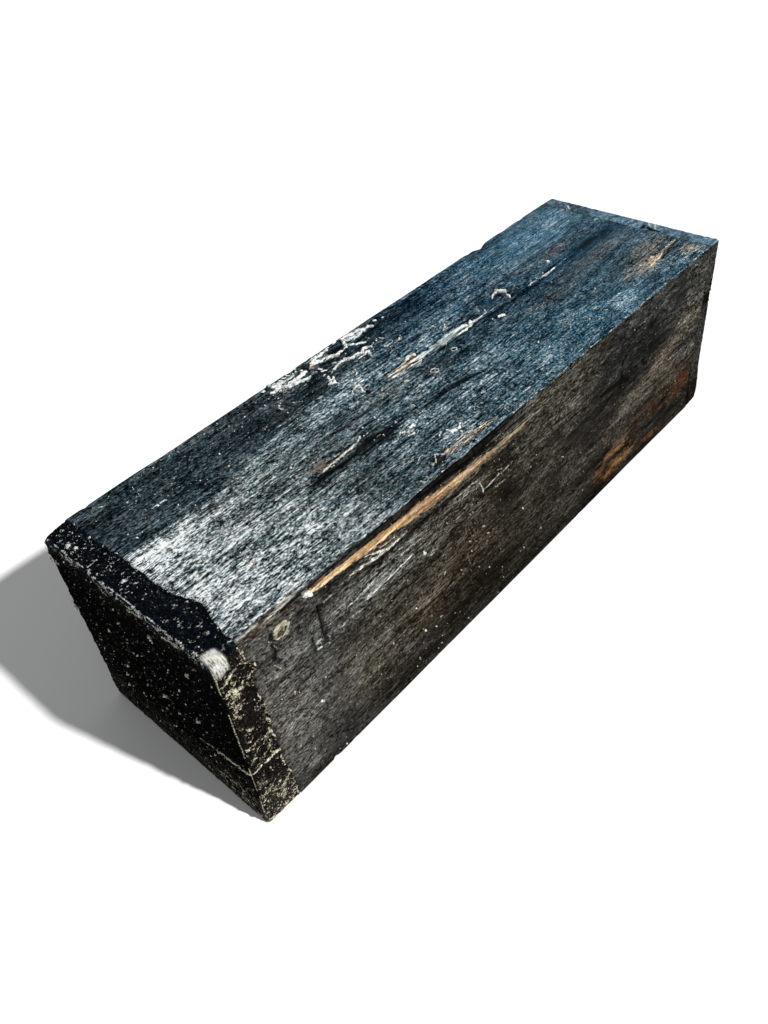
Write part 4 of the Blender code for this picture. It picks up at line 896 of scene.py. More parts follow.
def cent(m, x, k):
    """Noise made to swing about zero: k is about its usual size."""
    return m.math("MULTIPLY", m.math("SUBTRACT", x, 0.5), 9.0 * k)


# =============================================================== wood material
def wood_material():
    m = Nodes("ebony")
    fine = m.noise(m.scaled(1.8, 0.95, 1.8), 2.0, 0.7)                 # grit, as fine as the eye sees it
    dash = m.noise(m.scaled(1.05, 0.34, 1.05, (9, 1, 4)), 3.0, 0.72, 0.1)     # short dashes
    mott = m.noise(m.scaled(0.42, 0.22, 0.42, (6, 6, 1)), 4.0, 0.68, 0.15)      # mottling
    patch = m.noise(m.scaled(0.15, 0.05, 0.15, (1, 2, 3)), 3.0, 0.6, 0.2)     # slow change
    line = m.noise(m.scaled(0.85, 0.05, 0.85, (3, 5, 7)), 3.0, 0.65, 0.1)     # lines along the grain
    hair = m.noise(m.scaled(2.1, 0.13, 2.1), 2.0, 0.65)                       # hairlines
    hue = m.noise(m.scaled(0.75, 0.24, 0.75, (12, 4, 5)), 4.0, 0.65)
    thin = m.noise(m.scaled(1.7, 0.16, 1.7, (2, 8, 6)), 2.0, 0.7, 0.05)        # thin dashes

    tone = m.attr("tone")
    crisp = m.attr("crisp")
    swing = m.total(cent(m, fine, 0.92), cent(m, mott, 0.40), cent(m, patch, 0.44),
                    m.math("MULTIPLY", m.attr("fibre"), m.total(cent(m, dash, 0.48), cent(m, thin, 0.60), cent(m, line, 0.48), cent(m, hair, 0.36))))
    factor = m.math("MAXIMUM", m.math("MULTIPLY_ADD", swing, crisp, 1.0), 0.10)
    level = m.math("MULTIPLY", tone, factor)
    # black dashes between the fibres, where the wood is weathered
    gap = m.noise(m.scaled(1.25, 0.46, 1.25, (4, 14, 9)), 3.0, 0.66, 0.3)
    gap = m.step(gap, 0.375, 0.435, 1.0, 0.0)
    gap = m.math("MULTIPLY", gap, m.step(crisp, 0.18, 0.5, 0.3, 1.0))
    level = m.math("MULTIPLY", level, m.math("MULTIPLY_ADD", gap, -0.74, 1.0))
    # pale fibre tips
    tip = m.noise(m.scaled(1.5, 0.62, 1.5, (14, 3, 9)), 2.0, 0.65, 0.2)
    tip = m.math("MULTIPLY", m.step(tip, 0.63, 0.72), m.step(crisp, 0.2, 0.5))
    level = m.math("ADD", level, m.math("MULTIPLY", tip, m.math("MULTIPLY_ADD", tone, 0.40, 0.05)))
    level = m.math("MINIMUM", m.math("MAXIMUM", level, 0.008), 0.985)
    grey = m.ramp(level, grey_stops())
    tint = m.attr("tint", "Vector")
    tint = m.mix(m.math("MULTIPLY", m.step(hue, 0.49, 0.62), 0.26), tint, (1.0, 0.97, 0.91))
    tint = m.mix(m.math("MULTIPLY", m.step(hue, 0.38, 0.50, 1.0, 0.0), 0.45), tint, m.mix(1.0, tint, tint, "MULTIPLY"))
    tint = m.mix(m.step(factor, 0.25, 0.95, 0.55, 0.0), tint, m.mix(1.0, tint, tint, "MULTIPLY"))       # the dark is deeper in hue
    tint = m.mix(m.step(factor, 1.0, 2.1, 0.0, 0.60), tint, (0.97, 1.0, 1.0))                            # and the light is paler
    tint = m.mix(m.step(level, 0.52, 0.95, 0.0, 0.60), tint, (1.0, 0.995, 0.97))
    colour = m.mix(1.0, grey, tint, "MULTIPLY")

    # pale specks caught in the grain
    dots = m.voronoi(m.scaled(0.62, 0.58, 0.62, (4, 4, 9)))
    dot = m.math("MULTIPLY", m.step(dots.outputs["Distance"], 0.10, 0.20, 1.0, 0.0), m.step(dots.outputs["Color"], 0.80, 0.86))
    dot = m.math("MULTIPLY", dot, m.step(crisp, 0.12, 0.5, 0.15, 0.7))
    colour = m.mix(dot, colour, lin(160, 164, 160))

    # ink: sapwood stripes of cream, tan and brown along the grain
    ink_a = m.attr("ink_a")
    stripe = m.noise(m.scaled(2.0, 0.07, 2.0, (7, 2, 5)), 3.0, 0.7)
    ink_mask = m.step(m.total(ink_a, cent(m, stripe, 0.14), cent(m, dash, 0.10), cent(m, mott, 0.07)), 0.36, 0.60)
    ink_mask = m.math("MULTIPLY", ink_mask, m.step(ink_a, 0.06, 0.22))
    vary = m.math("EXPONENT", m.total(cent(m, stripe, 0.42), cent(m, dash, 0.24), cent(m, fine, 0.24), cent(m, mott, 0.10)))
    inked = m.mix(1.0, m.attr("ink", "Vector"), m.mix(1.0, (EXPOSE, EXPOSE, EXPOSE), vary, "MULTIPLY"), "MULTIPLY")
    colour = m.mix(m.math("MULTIPLY", ink_mask, 0.94), colour, inked)

    # dark cracks and stains, and painted shadows beside the chips
    crack = m.attr("crack")
    crack_mask = m.step(m.total(crack, cent(m, dash, 0.12), cent(m, fine, 0.08), cent(m, mott, 0.06)), 0.36, 0.62)
    crack_mask = m.math("MULTIPLY", crack_mask, m.step(crack, 0.06, 0.30))
    colour = m.mix(m.math("MULTIPLY", crack_mask, 0.92), colour, lin(12, 13, 15))

    # wax film: broken, off-white, thin enough in places for the wood to show through
    wax = m.attr("wax")
    flake = m.noise(m.scaled(0.75, 0.50, 0.75, (11, 3, 8)), 4.0, 0.72, 0.7)
    wax_mask = m.step(m.total(wax, cent(m, flake, 0.17), cent(m, dash, 0.08), cent(m, fine, 0.05)), 0.46, 0.78)
    wax_mask = m.math("MULTIPLY", wax_mask, m.step(wax, 0.08, 0.25))
    wax_tone = m.ramp(m.total(m.math("MULTIPLY", fine, 0.9), cent(m, dash, 0.09), cent(m, flake, 0.05)), [
        (0.22, lin(64, 74, 80)), (0.36, lin(120, 132, 136)), (0.50, lin(190, 200, 200)), (0.64, lin(240, 243, 240))])
    colour = m.mix(m.math("MULTIPLY", wax_mask, 0.92), colour, wax_tone)

    rough = m.total(m.math("MULTIPLY", swing, 0.05), m.math("MULTIPLY", crack_mask, 0.22), 0.58)
    rough = m.math("SUBTRACT", rough, m.math("MULTIPLY", wax_mask, 0.10), clamp=True)
    h = m.total(m.math("MULTIPLY", hair, 0.3), m.math("MULTIPLY", line, 0.3), m.math("MULTIPLY", dash, 0.6), m.math("MULTIPLY", fine, 0.5))
    h = m.math("SUBTRACT", h, m.math("MULTIPLY", gap, 0.30))
    h = m.math("SUBTRACT", h, m.math("MULTIPLY", crack_mask, 0.9))
    h = m.math("ADD", h, m.math("MULTIPLY", wax_mask, 0.35))
    return m.finish(colour, rough, m.bump(h, 0.45, 0.9), 0.004)


wood.data.materials.append(wood_material())
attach(wood, "root")
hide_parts("wood_block")


# =============================================================== crusts: wax, slivers, chips
W, G, K = (240, 243, 240), (148, 160, 164), (16, 17, 19)
CR, TN, PK, PG, BK = (226, 216, 198), (172, 154, 132), (168, 134, 122), (204, 216, 210), (84, 74, 64)


def surface(face, u, v, over_by):
    """A point on a face of the wood, standing over it by so many millimetres."""
    if face == "top":
        return np.stack([-v, u, WOOD_HIGH + over_by], -1)
    if face == "right":
        return np.stack([WOOD_HALF + over_by, u, v], -1)
    if face == "left":
        return np.stack([-WOOD_HALF - over_by, u, v], -1)
    raise ValueError(face)


def wood_relief(face, u, v):
    zero, one = 0 * u, 0 * u + 1
    if face == "top":
        return fields(-v, u, zero + WOOD_HIGH, zero, one)["disp"]
    if face == "right":
        return fields(zero + WOOD_HALF, u, v, one, zero)["disp"]
    return fields(zero - WOOD_HALF, u, v, -one, zero)["disp"]


def crust(name, face, marks, step=0.24, ragged=0.34, seed=200, fibre=0.0, edge_fade=0.5, broken=0.0, scale=0.6):
    """One watertight mesh of everything in marks: (points, half widths, colour, height).
    Its top stands over the wood, its edges and underside are sunk in it."""
    pts = np.array([p for mk in marks for p in mk[0]])
    pad = max(max(mk[1]) for mk in marks) + 1.0
    us = np.arange(pts[:, 0].min() - pad, pts[:, 0].max() + pad, step)
    vs = np.arange(pts[:, 1].min() - pad, pts[:, 1].max() + pad, step)
    U, V = np.meshgrid(us, vs, indexing="ij")
    wob_u = U + 0.8 * ragged * (fbm(U / 1.3, V / 1.3, 0 * U, 3, seed) - 0.5) * 2
    wob_v = V + 0.8 * ragged * (fbm(U / 1.3, V / 1.3, 0 * U + 9, 3, seed + 1) - 0.5) * 2
    rough = fbm(U / 0.8, V / 0.6, 0 * U + 4, 3, seed + 2)
    holes = fbm(U / (1.0 + 5 * fibre), V / 0.55, 0 * U + 6, 2, seed + 3)
    light = fbm(U / (0.9 + 6 * fibre), V / 0.6, 0 * U + 8, 3, seed + 4)
    high_by = scale
    thick = np.full(U.shape, -9.0)
    col = np.zeros(U.shape + (3,))
    for points, widths, colour, high in marks:
        lo = np.array(points).min(0) - max(widths) * 1.8 - 1
        hi = np.array(points).max(0) + max(widths) * 1.8 + 1
        a, b = np.searchsorted(us, [lo[0], hi[0]])
        c, d = np.searchsorted(vs, [lo[1], hi[1]])
        a, c, b, d = max(a, 0), max(c, 0), max(b, a + 1), max(d, c + 1)
        r = reach_of(wob_u[a:b, c:d], wob_v[a:b, c:d], points, widths)
        s = 1 - r + ragged * 0.9 * (rough[a:b, c:d] - 0.5) * 2
        s = s - broken * smooth(0.50, 0.34, holes[a:b, c:d])
        t = np.where(s > 0, high_by * high * smooth(0, edge_fade, s) * (0.45 + 1.1 * rough[a:b, c:d]), np.maximum(s * 2.5, -9.0))
        better = t > thick[a:b, c:d]
        thick[a:b, c:d] = np.where(better, t, thick[a:b, c:d])
        lc = linear(colour) * (0.50 + 0.78 * smooth(0.30, 0.56, light[a:b, c:d]))[..., None] * (0.65 + 0.35 * smooth(0, 0.5, s))[..., None]
        col[a:b, c:d] = np.where(better[..., None], lc, col[a:b, c:d])
    thick = thick + np.where(thick > 0, fibre * (fbm(U / 18, V / 0.42, 0 * U + 2, 2, seed + 5) - 0.5), 0)
    keep_v = thick > -0.32
    cell = keep_v[:-1, :-1] | keep_v[1:, :-1] | keep_v[:-1, 1:] | keep_v[1:, 1:]
    solid = (thick > 0.02)
    near_solid = solid[:-1, :-1] | solid[1:, :-1] | solid[:-1, 1:] | solid[1:, 1:]
    grow = near_solid.copy()
    grow[1:] |= near_solid[:-1]; grow[:-1] |= near_solid[1:]
    grow[:, 1:] |= near_solid[:, :-1]; grow[:, :-1] |= near_solid[:, 1:]
    cell &= grow
    used = np.zeros(U.shape, bool)
    used[:-1, :-1] |= cell; used[1:, :-1] |= cell; used[:-1, 1:] |= cell; used[1:, 1:] |= cell
    index = np.full(U.shape, -1)
    index[used] = np.arange(used.sum())
    uu, vv = U[used], V[used]
    base = wood_relief(face, uu, vv)
    up = surface(face, uu, vv, base + np.clip(thick[used], -0.35, 9))
    down = surface(face, uu, vv, base - 0.55)
    n = len(uu)
    ci, cj = np.nonzero(cell)
    q = np.stack([index[ci, cj], index[ci + 1, cj], index[ci + 1, cj + 1], index[ci, cj + 1]], -1)
    # walls where a cell has no neighbour
    pad_cell = np.zeros((cell.shape[0] + 2, cell.shape[1] + 2), bool)
    pad_cell[1:-1, 1:-1] = cell
    walls = []
    for (di, dj, e0, e1) in ((-1, 0, 3, 0), (1, 0, 1, 2), (0, -1, 0, 1), (0, 1, 2, 3)):
        lone = ~pad_cell[ci + 1 + di, cj + 1 + dj]
        a, b = q[lone, e0], q[lone, e1]
        walls.append(np.stack([b, a, a + n, b + n], -1))
    quads = np.concatenate([q, q[:, ::-1] + n] + walls)
    if face == "top" or face == "left":
        quads = quads[:, ::-1]
    obj = link_mesh(name, np.concatenate([up, down]), quads)
    give(obj, ink=np.concatenate([col[used], col[used]]), lift=np.concatenate([np.clip(thick[used], 0, 2), 0 * uu]))
    return obj


def crust_material(name, pits=0.5, stripes=0.0):
    m = Nodes(name)
    fine = m.noise(m.scaled(2.4, 1.8, 2.4, (3, 1, 8)), 3.0, 0.7, 0.3)
    grit = m.noise(m.scaled(5.0, 4.0, 5.0, (5, 2, 2)), 2.0, 0.6)
    lines = m.noise(m.scaled(3.4, 0.10, 3.4, (2, 2, 5)), 3.0, 0.7)
    swing = m.total(cent(m, fine, 0.30 * pits + 0.08), cent(m, grit, 0.12), cent(m, lines, stripes))
    vary = m.math("EXPONENT", swing)
    k = EXPOSE * 1.0
    tintv = m.mix(1.0, (k, k, k), vary, "MULTIPLY")
    colour = m.mix(1.0, m.attr("ink", "Vector"), tintv, "MULTIPLY")
    thin = m.step(m.attr("lift"), 0.0, 0.22, 0.42, 1.0)
    colour = m.mix(1.0, colour, m.mix(1.0, (1.0, 1.0, 1.0), thin, "MULTIPLY"), "MULTIPLY")
    dark = m.math("MULTIPLY", m.step(fine, 0.36, 0.43, 1.0, 0.0), pits)
    colour = m.mix(dark, colour, lin(44, 46, 48))
    colour = m.mix(1.0, colour, (0.86, 0.86, 0.86), "MULTIPLY")
    rough = m.math("MULTIPLY_ADD", fine, 0.35, 0.34, clamp=True)
    h = m.total(m.math("MULTIPLY", fine, 0.6), m.math("MULTIPLY", grit, 0.3), m.math("MULTIPLY", lines, 0.5 * stripes + 0.1))
    return m.finish(colour, rough, m.bump(h, 0.30, 0.8), 0.10)


WAX_MARKS = [
    # mass A
    ([(-42.2, 36.6)], [0.9], W, 0.5), ([(-38.8, 37.2), (-38.2, 35.8), (-37.0, 34.2)], [0.7, 1.2, 1.2], W, 0.7),
    ([(-41.2, 33.4), (-38, 33.2), (-35, 32.2), (-32, 31.6), (-29.4, 32.4), (-27, 33.2), (-26.0, 32.4)], [0.5, 1.3, 1.3, 1.6, 1.3, 1.0, 0.5], W, 0.8),
    ([(-39, 32.2), (-34, 31.0), (-30, 29.8), (-27, 29.4)], [0.5, 1.0, 1.2, 0.5], W, 0.6),
    ([(-36.8, 36.6), (-36.0, 35.4)], [0.4, 0.4], W, 0.5), ([(-34.8, 36.9), (-34.0, 35.9)], [0.35, 0.35], W, 0.5),
    ([(-33.2, 37.2), (-32.2, 36.2)], [0.35, 0.3], W, 0.4), ([(-31.4, 36.9), (-30.6, 35.8)], [0.35, 0.3], W, 0.4),
    ([(-29.8, 36.4), (-28.8, 35.4)], [0.35, 0.3], W, 0.4), ([(-26.0, 35.0), (-25.4, 33.6)], [0.5, 0.4], W, 0.5),
    ([(-27.0, 37.0)], [0.4], W, 0.4), ([(-41.8, 29.2)], [0.45], W, 0.35), ([(-37.5, 30.4)], [0.4], W, 0.3),
    ([(-31.0, 29.8), (-29.0, 29.2), (-27.6, 29.8)], [1.0, 1.3, 0.9], (190, 204, 206), 0.4), ([(-25.6, 30.2), (-24.0, 29.6)], [0.6, 0.4], G, 0.4),
    ([(-37.0, 36.4), (-34.0, 34.6), (-30.0, 35.0)], [0.8, 0.9, 0.7], (206, 214, 212), 0.4),
    # mass B round the dark hole
    ([(-21.6, 35.2), (-19.2, 36.4), (-17.0, 35.6), (-15.0, 36.2)], [0.8, 1.2, 1.0, 0.6], W, 0.8),
    ([(-22.6, 33.8), (-19.4, 34.0), (-16.8, 33.2), (-15.0, 31.8), (-12.2, 31.0)], [0.8, 1.5, 1.3, 1.1, 0.9], W, 0.8),
    ([(-23.4, 32.8), (-22.2, 33.4), (-21.4, 34.4)], [1.3, 1.3, 0.9], PK, 0.6),
    ([(-14.6, 36.2), (-12.6, 36.4), (-11.2, 36.9)], [0.4, 0.8, 0.5], W, 0.7),
    ([(-12.6, 31.2), (-9.6, 31.2), (-7.4, 31.8), (-6.4, 33.0), (-5.6, 35.0), (-4.9, 37.0)], [0.8, 0.5, 0.55, 0.7, 0.65, 0.5], W, 0.9),
    ([(-8.6, 37.1), (-6.6, 37.4)], [0.45, 0.4], W, 0.5),
    ([(-4.0, 36.6), (-1.0, 36.2), (2.0, 35.6), (5.0, 34.8), (6.6, 34.4)], [0.8, 1.3, 1.3, 0.8, 0.5], W, 0.7),
    ([(-4.2, 34.8), (-1.8, 33.6), (0.6, 33.6), (3.0, 34.2)], [0.9, 1.4, 1.1, 0.8], (214, 224, 228), 0.6),
    ([(6.6, 34.4), (7.8, 33.4)], [0.8, 0.9], W, 0.9),
    ([(-5.8, 31.6), (-4.0, 30.2), (-2.4, 28.9), (-1.4, 28.2)], [0.5, 0.8, 0.6, 0.4], W, 0.7),
    ([(-4.4, 32.2), (-2.6, 32.4)], [0.4, 0.4], G, 0.4),
    ([(11.0, 36.2), (11.4, 34.6)], [0.55, 0.6], W, 0.6), ([(14.2, 34.0)], [0.5], W, 0.4), ([(16.4, 33.4)], [0.35], G, 0.4),
    # the flake like a bird, and its neighbours
    ([(-19.8, 25.5), (-17.2, 25.8), (-15.2, 26.7), (-13.2, 26.8), (-11.2, 25.4), (-8.4, 24.8), (-6.2, 24.8)], [0.3, 0.6, 0.9, 1.1, 1.1, 1.1, 1.2], W, 0.9),
    ([(-6.6, 24.9), (-4.6, 25.8), (-3.0, 25.4), (-2.2, 24.4)], [1.0, 0.8, 0.8, 0.4], W, 0.9),
    ([(-6.2, 24.2), (-4.8, 23.2), (-6.0, 22.0), (-6.4, 20.4)], [1.0, 0.7, 0.55, 0.25], W, 0.8),
    ([(-10.2, 23.1), (-6.6, 22.9)], [0.25, 0.35], W, 0.4), ([(-12.6, 26.6), (-12.2, 27.6)], [0.4, 0.3], W, 0.5),
    ([(-23.8, 24.0), (-25.0, 22.6), (-26.2, 21.0)], [0.5, 0.9, 0.9], W, 0.8), ([(-26.4, 20.4), (-24.6, 20.4), (-24.0, 21.6), (-23.0, 22.6)], [0.4, 0.6, 0.6, 0.4], W, 0.8),
    ([(-24.6, 20.0), (-24.4, 18.2)], [0.5, 0.2], W, 0.5), ([(-22.8, 28.2), (-21.4, 27.4)], [0.5, 0.4], W, 0.5),
    ([(-22.2, 30.0), (-21.6, 28.8)], [0.5, 0.4], W, 0.5), ([(-24.8, 26.0), (-23.2, 25.8)], [0.3, 0.35], W, 0.4),
    ([(-21.4, 24.6), (-20.2, 25.4)], [0.25, 0.25], W, 0.4), ([(-17.2, 28.2), (-16.2, 27.8)], [0.4, 0.35], W, 0.5),
    ([(-15.4, 19.8), (-16.4, 18.2), (-17.4, 16.9)], [0.3, 0.35, 0.28], W, 0.5), ([(-40.0, 19.8), (-40.2, 18.6)], [0.25, 0.2], W, 0.35),
    ([(-41.2, 23.6), (-40.6, 22.8)], [0.25, 0.2], W, 0.3), ([(-45.6, 25.0), (-45.3, 23.4)], [0.3, 0.3], W, 0.35),
    # the kite: a clear flake with white edges
    ([(-26.4, 10.7), (-24.6, 12.0), (-22.4, 12.6), (-20.0, 13.0), (-17.8, 13.2)], [0.2, 0.3, 0.35, 0.3, 0.2], W, 0.6),
    ([(-21.6, 12.4), (-22.6, 10.2), (-23.4, 8.4)], [0.5, 0.5, 0.35], W, 0.6), ([(-26.2, 10.6), (-24.6, 9.4), (-23.4, 8.2)], [0.2, 0.2, 0.25], (196, 186, 190), 0.4),
    ([(-24.4, 11.2), (-23.4, 9.8)], [1.0, 0.8], (150, 166, 160), 0.25), ([(-22.4, 13.4), (-21.4, 15.8), (-21.8, 17.6)], [0.25, 0.3, 0.15], (176, 190, 190), 0.35),
    ([(-27.2, 4.4), (-26.6, 3.4)], [0.25, 0.2], W, 0.4), ([(-12.4, 13.2), (-10.6, 13.6)], [0.4, 0.3], G, 0.35), ([(-6.6, 12.2), (-5.6, 12.5)], [0.45, 0.4], (190, 204, 214), 0.4),
    # small ones to the right
    ([(0.8, 20.7), (1.4, 20.2)], [0.75, 0.5], W, 0.5), ([(1.4, 20.4), (3.6, 20.0)], [0.35, 0.15], W, 0.3),
    ([(6.6, 19.7), (8.0, 19.9), (8.6, 20.6)], [0.3, 0.55, 0.35], W, 0.5), ([(8.0, 19.4)], [0.5], W, 0.4), ([(5.2, 19.2)], [0.35], G, 0.3),
    ([(2.2, 26.4), (3.4, 26.2), (4.0, 24.8)], [0.2, 0.4, 0.3], W, 0.4), ([(-1.0, 25.0)], [0.35], W, 0.35), ([(6.0, 25.2)], [0.3], G, 0.3),
    ([(-1.2, 16.2)], [0.4], (190, 208, 214), 0.35), ([(19.6, 10.4), (21.0, 11.2), (22.6, 12.2)], [0.25, 0.6, 0.25], PG, 0.4),
    # lower middle
    ([(-24.6, -29.0), (-23.4, -27.6), (-22.6, -28.6), (-21.0, -28.6), (-19.2, -27.6), (-18.4, -28.0)], [0.4, 0.8, 0.9, 0.6, 0.5, 0.3], W, 0.7),
    ([(-24.0, -26.0), (-23.4, -27.2)], [0.35, 0.5], W, 0.5), ([(-27.4, -26.0), (-25.6, -25.6)], [0.3, 0.4], W, 0.4), ([(-28.0, -28.4), (-27.2, -28.8)], [0.3, 0.3], W, 0.3),
    ([(-22.0, -30.0), (-21.8, -31.2)], [0.25, 0.3], W, 0.35), ([(-29.2, -16.2), (-28.0, -16.6), (-27.4, -16.2)], [0.7, 0.7, 0.4], W, 0.5),
    ([(-34.2, -16.4), (-33.0, -15.8), (-31.6, -16.6)], [0.3, 0.4, 0.3], W, 0.4), ([(-32.4, -18.6), (-31.2, -19.4)], [0.3, 0.4], W, 0.4),
    ([(-30.6, -18.4), (-30.4, -19.6)], [0.3, 0.3], W, 0.35), ([(-29.5, -10.9)], [0.45], W, 0.5), ([(-26.4, -8.4)], [0.25], W, 0.3),
    ([(-37.2, -33.0), (-36.0, -31.8), (-35.2, -31.0), (-34.2, -31.8), (-33.4, -32.8)], [0.24, 0.30, 0.34, 0.30, 0.26], W, 0.5),
    ([(-35.6, -31.6), (-35.4, -30.4)], [0.2, 0.15], W, 0.4), ([(-57.6, -17.6)], [0.4], W, 0.35), ([(-53.0, -7.0), (-50.6, -6.8)], [0.2, 0.25], CR, 0.3),
    ([(-62.0, -9.0), (-59.0, -8.9), (-56.2, -8.6), (-53.4, -8.7)], [0.2, 0.35, 0.6, 0.4], CR, 0.4), ([(-52.8, -8.6), (-49.6, -8.5), (-46.2, -8.2), (-42.6, -7.6), (-41.0, -6.6)], [0.35, 0.6, 0.5, 0.4, 0.2], (228, 226, 210), 0.45),
    ([(-40.4, -7.4), (-38.4, -7.3)], [0.2, 0.25], W, 0.3), ([(-38.2, -10.6), (-36.4, -10.7)], [0.25, 0.25], W, 0.25),
    ([(-57.0, -9.6), (-55.8, -9.9)], [0.25, 0.3], CR, 0.3),
    # near end
    ([(-100.6, 20.3), (-99.0, 20.3), (-98.2, 19.7)], [0.25, 0.4, 0.25], W, 0.3), ([(-97.2, 20.0), (-96.0, 20.4), (-95.4, 20.0)], [0.25, 0.4, 0.25], W, 0.3),
    ([(-97.2, -19.4), (-96.4, -20.2)], [0.35, 0.45], CR, 0.4), ([(-99.6, -20.4)], [0.3], W, 0.3), ([(-110.2, 13.9)], [0.35], W, 0.3),
    ([(-90.0, 24.6)], [0.3], W, 0.3), ([(-79.0, 7.4)], [0.3], W, 0.3), ([(-109.4, 34.0), (-108.6, 33.4)], [0.4, 0.3], W, 0.35),
    ([(-118.0, 33.6)], [0.5], W, 0.4), ([(-117.6, 13.8)], [0.45], W, 0.35), ([(-113.2, 29.6)], [0.3], W, 0.3),
    ([(-44.0, 15.2)], [0.3], W, 0.3), ([(-60.0, 24.0)], [0.25], W, 0.3), ([(-52.4, 18.2), (-51.4, 18.0)], [0.3, 0.25], W, 0.3),
    ([(-59.8, 7.4), (-58.2, 7.2), (-55.4, 6.4)], [0.2, 0.25, 0.15], G, 0.3), ([(-61.6, 5.9), (-60.2, 6.3), (-59.0, 5.8)], [0.15, 0.2, 0.15], G, 0.25),
]

